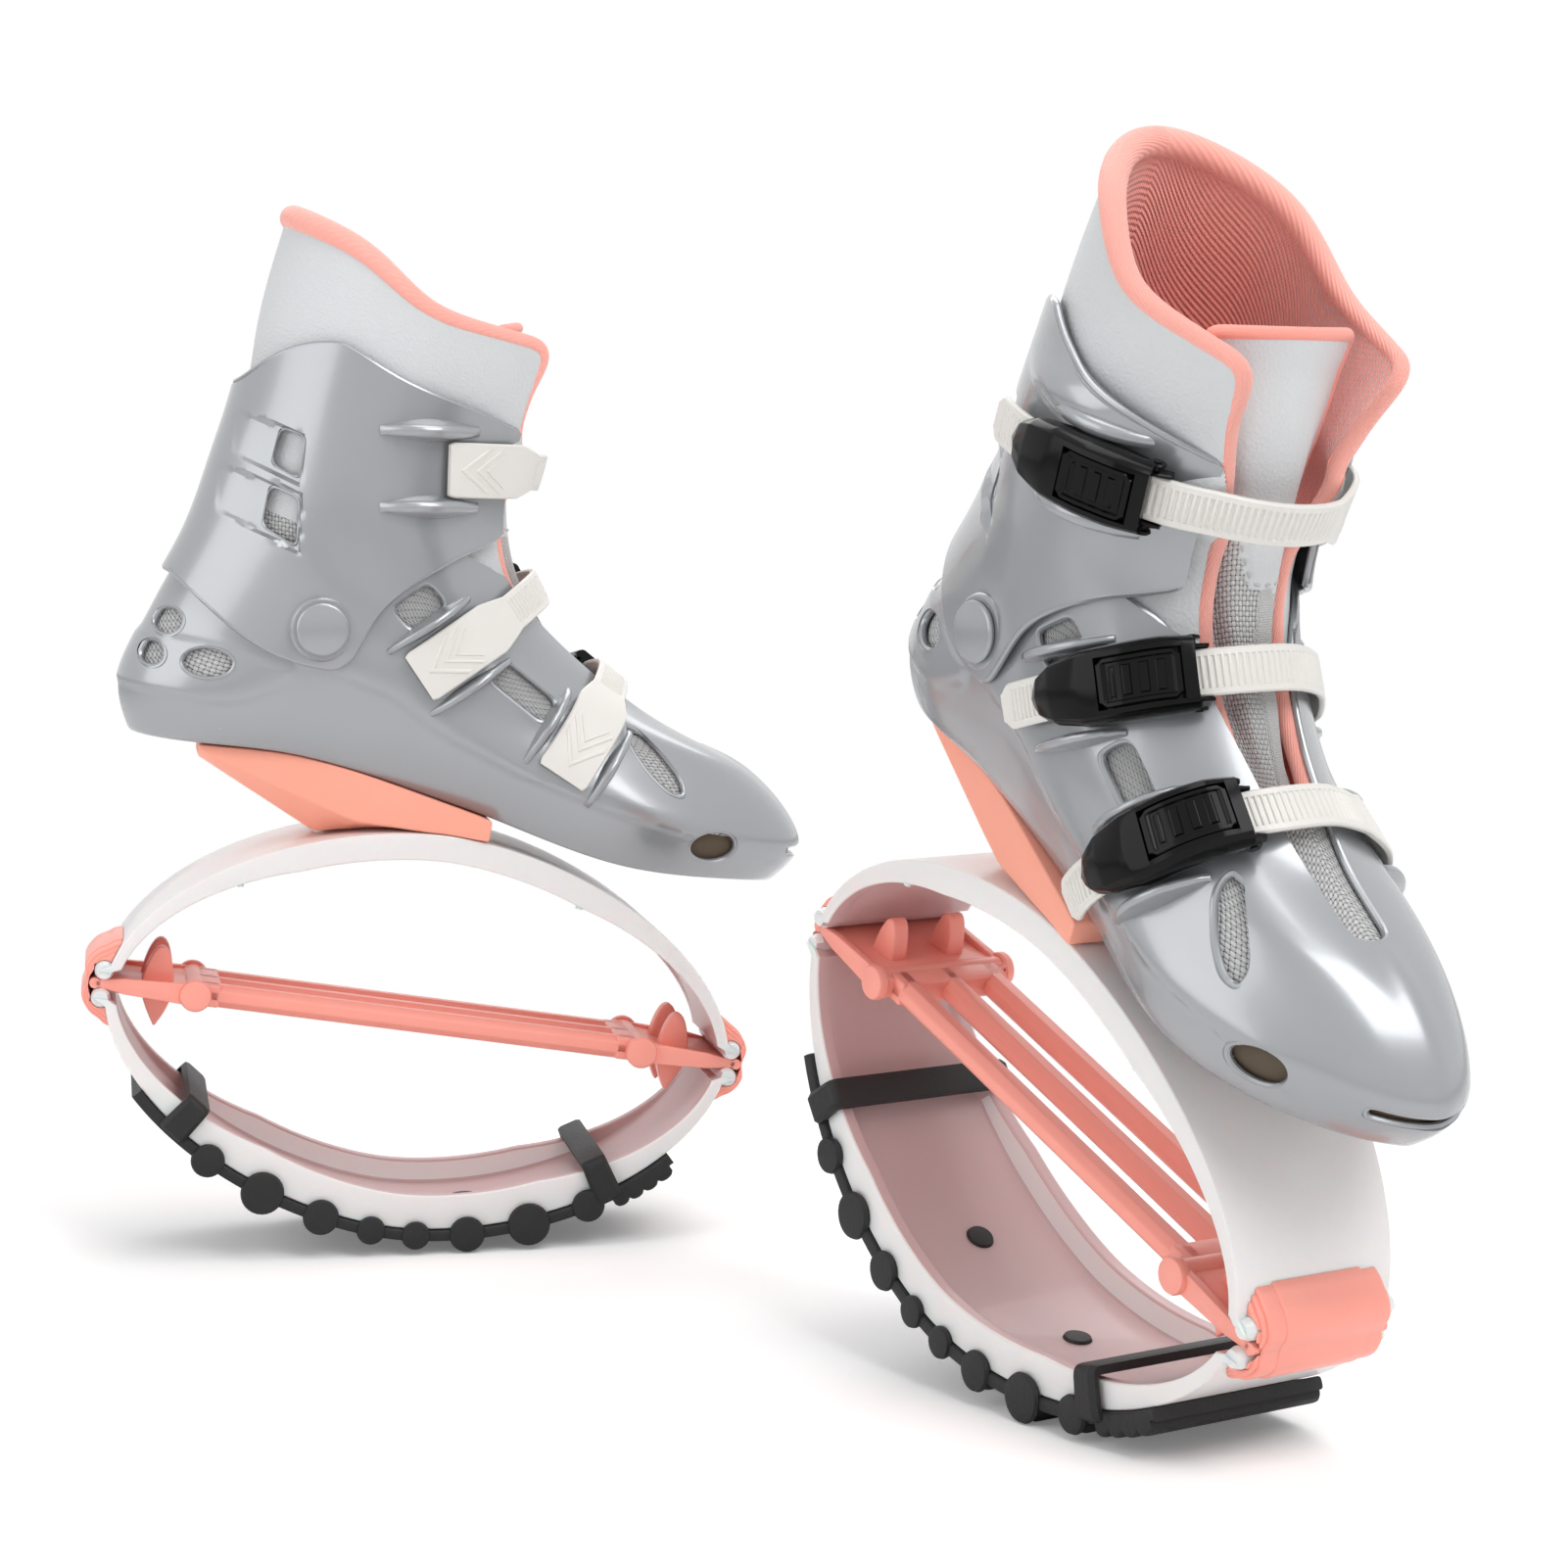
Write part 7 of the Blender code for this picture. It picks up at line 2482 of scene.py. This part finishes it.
@dataclass
class Tongue:
    """Padded tongue: leatherette pad above, woven mesh and a webbing strip below."""

    thickness: float = 0.004
    half_width: float = 0.029
    width_levels: tuple[float, ...] = (4.6, 5.4, 6.2, 6.7, 7.4, 8.05)
    width_shares: tuple[float, ...] = (0.42, 0.55, 0.68, 0.80, 0.95, 1.0)
    aside: float = 0.005
    flat_levels: Pair = (6.6, 7.8)
    top_place: Pair = (0.0015, 0.2935)
    low_place: Pair = (-0.0030, 0.2350)
    sag: Pair = (0.011, 0.004)
    tuck: float = 0.0091
    bulge: float = 0.006
    slit_share: float = 0.90
    free_level: float = 5.4
    pad_height: float = 0.207
    seam_rise: float = 0.024
    seam_reach: Pair = (0.001, 0.015)
    edge_radius: float = 0.0024
    webbing_place: float = -0.0065
    webbing_half_width: float = 0.0062
    webbing_rise: float = 0.0008
    dot_radius: float = 0.0006
    dot_pitch: float = 0.0024
    columns: int = 41
    levels: Pair = (4.6, 8.05)

    def _seam(self, y: Points) -> Points:
        """Height of the seam under the pad, which climbs on the outer side."""
        return self.pad_height + self.seam_rise * ease(y, *self.seam_reach)

    def _grid(self, form: BootForm) -> tuple[Points, Points]:
        """Outer and inner points of the tongue.

        Args:
            form: the boot's form.

        Returns:
            The two grids.
        """
        levels = np.linspace(*self.levels, 96)
        across = np.linspace(1, -1, self.columns)
        narrow = np.interp(levels, self.width_levels, self.width_shares)
        outer, inner = [], []
        for level, share in zip(levels, narrow):
            reach = across * self.half_width * share
            front = form.surface(level, math.pi / 2)
            width = abs(form.surface(level, math.radians(150))[1]) / math.sin(math.radians(150))
            turns = math.pi + np.arcsin(np.clip(reach / max(width, abs(front[1])), -0.95, 0.95))
            slit = self.half_width * share * self.slit_share
            proud = self.bulge * ease(1 - np.abs(reach) / slit, 0.0, 0.5)
            proud = proud * ease(level, self.free_level, self.free_level + 0.6)
            aside = np.abs(reach - self.webbing_place)
            strip = 1 - ease(aside, self.webbing_half_width - 0.0004, self.webbing_half_width + 0.0004)
            height = form.surface(level, math.pi)[2]
            pad = ease(height - self._seam(reach), -0.001, 0.001)
            proud = proud + self.webbing_rise * np.maximum(strip, pad)
            flat = ease(level, *self.flat_levels)
            up = (level - self.flat_levels[0]) / (self.levels[1] - self.flat_levels[0])
            plate = np.stack([
                self.low_place[0] + (self.top_place[0] - self.low_place[0]) * up - self.sag[0] * across**2,
                reach + self.aside * flat,
                self.low_place[1] + (self.top_place[1] - self.low_place[1]) * up - self.sag[1] * across**2,
            ], -1)
            near = form.offset(level, turns, proud - self.tuck)
            far = form.offset(level, turns, -self.tuck - self.thickness)
            outer.append(near + (plate - near) * flat)
            inner.append(far + (plate - (self.thickness, 0, 0) - far) * flat)
        return np.array(outer), np.array(inner)

    def dress(self, dresser: Dresser, form: BootForm) -> None:
        """Builds the tongue with its bound edge and dotted seam.

        Args:
            dresser: places each piece and ties it to its body.
            form: the boot's form.
        """
        outer, inner = self._grid(form)
        pad = sheet(outer, inner)

        def mesh_part(centre: Vector, normal: Vector) -> bool:
            """Whether a face lies below the pad."""
            return centre.z < self._seam(centre.y)

        def strip_part(centre: Vector, normal: Vector) -> bool:
            """Whether a face lies on the webbing strip."""
            aside = abs(centre.y - self.webbing_place)
            return centre.z < self._seam(centre.y) and aside < self.webbing_half_width

        marked(pad, Zone.EXTRA.value, mesh_part, Zone.OUTSIDE.value)
        marked(pad, len(Zone), strip_part, Zone.EXTRA.value)
        middle = (outer + inner) / 2
        high = np.flatnonzero(middle[:, self.columns // 2, 2] > self.pad_height)[0]
        edge = np.vstack([middle[high:, 0], middle[-1, 1:-1], middle[high:, -1][::-1]])
        edge = smoothed(resample(edge, 0.0015, False), 4, False)
        binding = tube(edge, self.edge_radius, False, 12)
        seam = []
        for column in range(6, outer.shape[1] - 6):
            line = outer[:, column]
            rise = line[:, 2] - self._seam(line[:, 1]) - 0.002
            seam.append([np.interp(0, rise, line[:, axis]) for axis in range(3)])
        seam = smoothed(np.array(seam), 2, False)
        dots = []
        for start, end in zip(*(resample(seam, self.dot_pitch, False)[first::2] for first in (0, 1))):
            line = np.linspace(start, end, 5) + np.array([0.0002, 0, 0.0001])
            dots.append(tube(line, STITCH_SHAPE * self.dot_radius, False, 6))
        finishes = (LEATHER, PINK, LEATHER, MESH, WEBBING)
        dresser.add(pad, "tongue_pad", "boot", finishes, ("tongue",), Motion.ANKLE, padding=0.6)
        dresser.add(binding, "tongue_binding", "boot", (PINK,), (), Motion.ANKLE)
        dresser.add(merged(dots), "tongue_stitches", "boot", (STITCH,), (), Motion.ANKLE)


# Straps and buckles


@dataclass
class Strap:
    """A ladder strap with its ratchet buckle."""

    name: str
    body: str
    path: StrapPath
    width: float = 0.0155
    plate_width: float = 0.0225
    plate_length: float = 0.036
    thickness: float = 0.0022
    chevron_rise: float = 0.0005
    chevron_length: float = 0.030
    tooth_pitch: float = 0.0021
    tooth: float = 0.0007
    side_gap: float = 0.0005
    wall: float = 0.0015
    floor: float = 0.0016
    base_height: float = 0.0062
    setback: float = 0.005
    lever_width: float = 0.026
    lever_height: float = 0.0130
    skirt: float = 0.0022
    clear: float = 0.0009
    swing_room: float = 0.0036
    pin_radius: float = 0.0013
    pin_height: float = 0.0036
    eye_radius: float = 0.0030
    pad_length: float = 0.021
    pad_width: float = 0.0165
    pad_depth: float = 0.0032
    pad_setback: float = 0.0043
    grip_bars: int = 5
    stations: tuple[tuple[float, float, float], ...] = (
        (0.00, 0.30, 0.52), (0.06, 0.58, 0.66), (0.18, 0.82, 0.80), (0.38, 0.97, 0.93),
        (0.62, 1.00, 1.00), (0.82, 1.00, 0.97), (1.00, 0.95, 0.86),
    )

    def band(self) -> Piece:
        """The strap: a smooth wide plate, then a band of teeth between two rails.

        Returns:
            The strap.
        """
        path = self.path
        first = self.plate_length * 4 / 3

        def outline(place: float) -> Outline:
            """The strap's outline at a length along it.

            Args:
                place: length along the strap.

            Returns:
                The outline.
            """
            share = np.clip((place - self.plate_length) / (self.plate_length / 3), 0, 1)
            tip = 1 - 0.35 * ease(place, path.length - 0.006, path.length) ** 2
            start = 1 - 0.08 * (1 - ease(place, 0, 0.003)) ** 2
            half = (self.plate_width + (self.width - self.plate_width) * share) / 2 * tip * start
            top = self.thickness
            wave = math.sin(math.tau * place / self.tooth_pitch)
            toothed = first < place < path.length - 0.006
            tooth = self.tooth * (float(ease(wave, -0.5, 0.5)) - 0.75) if toothed else 0.0
            rail = min(0.0024, half * 0.4)
            return mirrored([
                (half - 0.0004, 0), (half, 0.0005), (half, top - 0.0006), (half - 0.0006, top),
                (half - rail, top), (half - rail - 0.0003, top + tooth),
            ])

        count = int((path.length - first) / self.tooth_pitch * 8)
        places = np.concatenate([np.linspace(0, first, 40), np.linspace(first, path.length, count)[1:]])
        parts = [path.sweep(places, outline, path.raised)]
        low, high = self.thickness / 2, self.thickness + self.chevron_rise
        for at, thick, reach in ((0.006, 0.0022, 0.40), (0.0125, 0.0016, 0.40), (0.0170, 0.0010, 0.30)):
            size = rounded(mirrored([(thick, low), (thick * 0.6, high)]), 0.0004, 3)
            for side in SIDES:
                sections = []
                for share in np.linspace(0, 1, 6):
                    place = at + share * reach * self.chevron_length
                    point, along, across, out = path.axes(place, path.raised)
                    middle = point + across * side * share * self.plate_width * reach
                    sections.append([middle + along * wide + out * up for wide, up in size])
                parts.append(loft(sections))
        return merged(parts)

    def _base_places(self, count: int) -> Points:
        """Lengths along the strap that the buckle's base covers."""
        start = self.path.pin() - self.setback
        return np.linspace(start, start + self.path.base_length, count)

    def base(self) -> Piece:
        """The buckle's base: a floor under the strap and a ridged wall at each side.

        Returns:
            The base.
        """
        inner = self.width / 2 + self.side_gap
        places = self._base_places(121)

        def outline(place: float) -> Outline:
            """The base's outline at a length along the strap.

            Args:
                place: length along the strap.

            Returns:
                The outline.
            """
            share = (place - places[0]) / (places[-1] - places[0])
            wave = math.sin(math.tau * place / 0.003)
            ridge = 0.0003 * float(ease(wave, -0.4, 0.4)) if share > 0.35 else 0.0
            half = inner + self.wall - 0.0003 + ridge
            swell = min(float(ease(share, 0, 0.10)), float(ease(1 - share, 0, 0.14)))
            tall = self.base_height * (0.72 + 0.28 * swell)
            return mirrored([
                (half - 0.0003, 0), (half, 0.0004), (half, tall - 0.0005), (half - 0.0004, tall),
                (inner + 0.0001, tall), (inner, tall - 0.0002), (inner, self.floor),
            ])

        return self.path.sweep(places, outline, self.path.seat)

    def lever(self) -> Piece:
        """Boat-shaped lever: a hollow shell with a creased tail and a pocket for the pad.

        Returns:
            The lever.
        """
        path = self.path
        start = path.pin()
        span = path.lever_length - self.eye_radius
        table = np.array(self.stations)[::-1]
        ends = self._base_places(2)
        pad = (start + self.pad_setback - 0.0006, start + self.pad_setback + self.pad_length + 0.0006)
        low = self.floor + 0.0003
        tall_roof = self.base_height + self.clear
        low_roof = self.floor + self.thickness + self.clear + 0.0006
        shut = ends[1] + self.swing_room

        def outline(place: float) -> Outline:
            """The lever's outline at a length along the strap.

            Args:
                place: length along the strap.

            Returns:
                The outline.
            """
            share = 1 - (place - start) / span
            wide = float(np.interp(share, table[::-1, 0], table[::-1, 1]))
            high = float(np.interp(share, table[::-1, 0], table[::-1, 2]))
            half, top = self.lever_width / 2 * wide, self.lever_height * high
            roof = low_roof + (tall_roof - low_roof) * (1 - float(ease(place, shut - 0.001, shut)))
            roof = min(roof, top - 0.0012)
            inner = max(half - self.skirt, half * 0.4)
            shoulder = low + (top - low) * 0.55
            in_pad = pad[0] < place < pad[1]
            pocket = top - (self.pad_depth + 0.0005 if in_pad else 0.0)
            crease = 0.0 if in_pad else 0.0009 * float(ease(place, pad[1], pad[1] + 0.006))
            across = min(self.pad_width / 2 + 0.0004, half * 0.72)
            return mirrored([
                (-inner * 0.9, roof), (-inner, roof - 0.0008), (-inner * 0.97, low), (-half * 0.95, low),
                (-half, low + (shoulder - low) * 0.6), (-half * 0.985, shoulder),
                (-half * 0.90, top - 0.0018), (-half * 0.80, top - 0.0004),
                (-across, top), (-across, pocket), (0, pocket + crease),
            ])

        step = 0.00005
        middle = np.linspace(pad[0] + 0.001, pad[1] - 0.0001, 30)
        tail = np.linspace(pad[1] + 0.001, start + span, 46)
        steps = [np.linspace(start, pad[0], 10), [pad[0] + step], middle, [pad[1] + step], tail]
        parts = [path.sweep(np.concatenate(steps), outline, path.seat)]
        pin, _, across, out = path.axes(start, path.seat)
        pin = pin + out * self.pin_height
        inner = self.lever_width / 2 - self.skirt + 0.0003
        outer = self.lever_width / 2 * self.stations[-1][1]
        for side in SIDES:
            line = [pin + across * side * reach for reach in (inner, inner + 0.0006, outer - 0.0005, outer)]
            parts.append(tube(line, self.eye_radius * np.array([0.9, 1, 1, 0.85]), False, 24))
            ends = (self.width / 2 + self.side_gap + self.wall / 4, outer + 0.0004)
            stub = [pin + across * side * reach for reach in ends]
            parts.append(tube(stub, self.pin_radius, False, 14))
        return merged(parts)

    def pad(self) -> Piece:
        """The latch pad set in the lever, with a raised frame and grip bars.

        Returns:
            The pad.
        """
        path = self.path
        start = path.pin() + self.pad_setback
        table = np.array(self.stations)

        def outline(place: float) -> Outline:
            """The pad's outline at a length along the strap.

            Args:
                place: length along the strap.

            Returns:
                The outline.
            """
            share = (place - start) / self.pad_length
            edge = min(share, 1 - share)
            lever = 1 - (place - path.pin()) / (path.lever_length - self.eye_radius)
            top = self.lever_height * float(np.interp(lever, table[:, 0], table[:, 2])) + 0.0002
            half = self.pad_width / 2 * (0.80 + 0.20 * float(ease(edge, 0, 0.10)))
            rim = half - 0.0016
            dip = 0.0009 * float(ease(edge, 0.06, 0.11))
            wave = math.sin(math.tau * share * self.grip_bars)
            grip = 0.0006 * float(ease(wave, -0.3, 0.3)) * float(ease(edge, 0.12, 0.18))
            low = top - self.pad_depth
            return mirrored([
                (half - 0.0004, low), (half, low + 0.0005), (half, top - 0.0006), (half - 0.0005, top),
                (rim, top), (rim - 0.0005, top - dip), (rim - 0.0016, top - dip),
                (rim - 0.0020, top - dip + grip),
            ])

        places = np.linspace(start, start + self.pad_length, 90)
        return path.sweep(places, outline, path.seat)

    def dress(self, dresser: Dresser) -> None:
        """Builds the strap, its seat, its lever and its pad.

        Args:
            dresser: places each piece and ties it to its body.
        """
        name = self.name
        nodes = (f"strap_{name}", f"strap_screw_{name}")
        dresser.add(self.band(), f"strap_band_{name}", self.body, (STRAP,), nodes, smooth=40)
        for piece, label, body, node, smooth in (
            (self.base(), "seat", self.body, "base", 32),
            (self.lever(), "boat", f"lever_{name}", "lever", 24),
            (self.pad(), "pad", f"latch_{name}", "latch", 32),
        ):
            nodes = (f"buckle_{node}_{name}",)
            dresser.add(piece, f"buckle_{label}_{name}", body, (BUCKLE,), nodes, smooth=smooth)


STRAP_PLACES = {
    "cuff": ((0.548, 0.605), (0.381, 0.573), (0.211, 0.585)),
    "instep": ((0.565, 0.382), (0.391, 0.173), (0.350, 0.177)),
    "toe": ((0.694, 0.245), (0.616, 0.032), (0.534, -0.027)),
}


# Studio


@dataclass
class Studio:
    """White floor and backdrop, four soft lamps and the camera."""

    camera_place: tuple[float, float, float] = (0.0402, -1.2926, 0.3343)
    camera_drop: float = 5.53
    focal_pixels: float = 3538.0
    frame_pixels: float = 1601.0
    sensor: float = 36.0
    world_light: float = 0.50
    floor_lift: float = 0.14
    floor_size: float = 30.0
    shadow_reach: Pair = (0.34, 0.62)
    lamps: tuple[tuple[str, tuple[float, float, float], float, float], ...] = (
        ("key", (0.9, -1.1, 1.6), 1.1, 17),
        ("fill", (-1.5, -0.9, 0.9), 1.4, 9),
        ("rim", (0.1, 1.2, 1.5), 1.2, 9),
        ("top", (0.25, -0.05, 1.9), 0.9, 7),
    )
    lamp_aim: tuple[float, float, float] = (0, 0, 0.18)

    def _world(self) -> None:
        """A world that looks white and lights at a plain level."""
        world = bpy.data.worlds.new("studio")
        bpy.context.scene.world = world
        world.use_nodes = True
        tree = world.node_tree
        rays = add_node(tree, "LightPath").outputs
        seen = maths(tree, "MAXIMUM", rays["Is Camera Ray"], rays["Is Transmission Ray"])
        seen = maths(tree, "MAXIMUM", seen, rays["Is Glossy Ray"])
        back = tree.nodes["Background"].inputs
        feed(tree, back["Color"], (1, 1, 1, 1))
        strength = maths(tree, "MULTIPLY_ADD", seen, 1 - self.world_light, self.world_light)
        feed(tree, back["Strength"], strength)

    def _floor(self) -> None:
        """A white floor that keeps the soft shadow near the shoes."""
        half = self.floor_size / 2
        corners = [(-half, -half, 0), (half, -half, 0), (half, half, 0), (-half, half, 0)]
        floor = new_object(corners, [(0, 1, 2, 3)])
        floor.name = "floor"
        material = bpy.data.materials.new("white_floor")
        material.use_nodes = True
        tree = material.node_tree
        shader = tree.nodes["Principled BSDF"]
        for label, value in {"Base Color": (1, 1, 1, 1), "Roughness": 0.9, "Specular IOR Level": 0.0}.items():
            feed(tree, shader.inputs[label], value)
        place = add_node(tree, "TexCoord").outputs["Object"]
        length = add_node(tree, "VectorMath", {0: place}, operation="LENGTH").outputs["Value"]
        reach = {"From Min": self.shadow_reach[0], "From Max": self.shadow_reach[1], "Value": length}
        far = add_node(tree, "MapRange", reach, interpolation_type="SMOOTHSTEP").outputs["Result"]
        camera = add_node(tree, "LightPath").outputs["Is Camera Ray"]
        lift = add_node(tree, "Emission", {"Strength": maths(tree, "MULTIPLY", camera, self.floor_lift)})
        both = add_node(tree, "AddShader", {0: shader.outputs["BSDF"], 1: lift.outputs["Emission"]})
        glow = add_node(tree, "Emission").outputs["Emission"]
        seen = maths(tree, "MULTIPLY", far, camera)
        mix = add_node(tree, "MixShader", {"Fac": seen, 1: both.outputs["Shader"], 2: glow})
        feed(tree, tree.nodes["Material Output"].inputs["Surface"], mix.outputs["Shader"])
        floor.data.materials.append(material)

    def _lamp(self, name: str, place: tuple[float, float, float], size: float, power: float) -> None:
        """A square lamp that faces the middle of the pair.

        Args:
            name: the lamp's name.
            place: where it stands.
            size: length of its sides.
            power: its power in watts.
        """
        light = bpy.data.lights.new(name, "AREA")
        light.shape = "SQUARE"
        light.size = size
        light.energy = power
        lamp = linked(name, light)
        lamp.location = place
        way = Vector(self.lamp_aim) - Vector(place)
        lamp.rotation_euler = way.to_track_quat("-Z", "Y").to_euler()

    def _camera(self) -> None:
        """The camera, level but for a slight drop."""
        data = bpy.data.cameras.new("camera")
        data.sensor_width = self.sensor
        data.lens = self.focal_pixels / self.frame_pixels * self.sensor
        data.clip_end = 60
        camera = linked("camera", data)
        camera.location = self.camera_place
        camera.rotation_euler = (math.radians(90 - self.camera_drop), 0, 0)
        bpy.context.scene.camera = camera

    def build(self) -> None:
        """Sets the floor, the light and the camera."""
        bpy.context.scene.view_settings.view_transform = "Standard"
        self._world()
        self._floor()
        for lamp in self.lamps:
            self._lamp(*lamp)
        self._camera()


def dress_kept_nodes() -> None:
    """Gives the CAD nodes that stay in view their finishes."""
    finishes = {"insole": BOARD, "mounting_plate": STEEL}
    for name, node in frame["nodes"].items():
        for part, finish in finishes.items():
            if part in name:
                node.data.materials.clear()
                node.data.materials.append(finish.material())
                LOG.info("%s: %s", name, finish.name)


def main() -> None:
    """Builds the pair, piece by piece, then the studio round it."""
    logging.basicConfig(level=logging.INFO, format="%(message)s")
    form = BootForm()
    dresser = Dresser()
    shell, cuff = Shell(), Cuff()
    skin, over = form.tree(0.0), form.tree(cuff.gap + cuff.thickness)
    paths = {
        name: StrapPath(form, over if name == "cuff" else skin, *places)
        for name, places in STRAP_PLACES.items()
    }
    BOWS.dress(dresser)
    Tread().dress(dresser)
    TensionBar().dress(dresser)
    Wedge().dress(dresser, form)
    shell.dress(dresser, form, skin, paths)
    cuff.dress(dresser, form, over, paths["cuff"], shell)
    Liner().dress(dresser, form)
    Tongue().dress(dresser, form)
    for name, path in paths.items():
        Strap(name, "cuff" if name == "cuff" else "boot", path).dress(dresser)
    dress_kept_nodes()
    Studio().build()


if __name__ == "__main__":
    main()
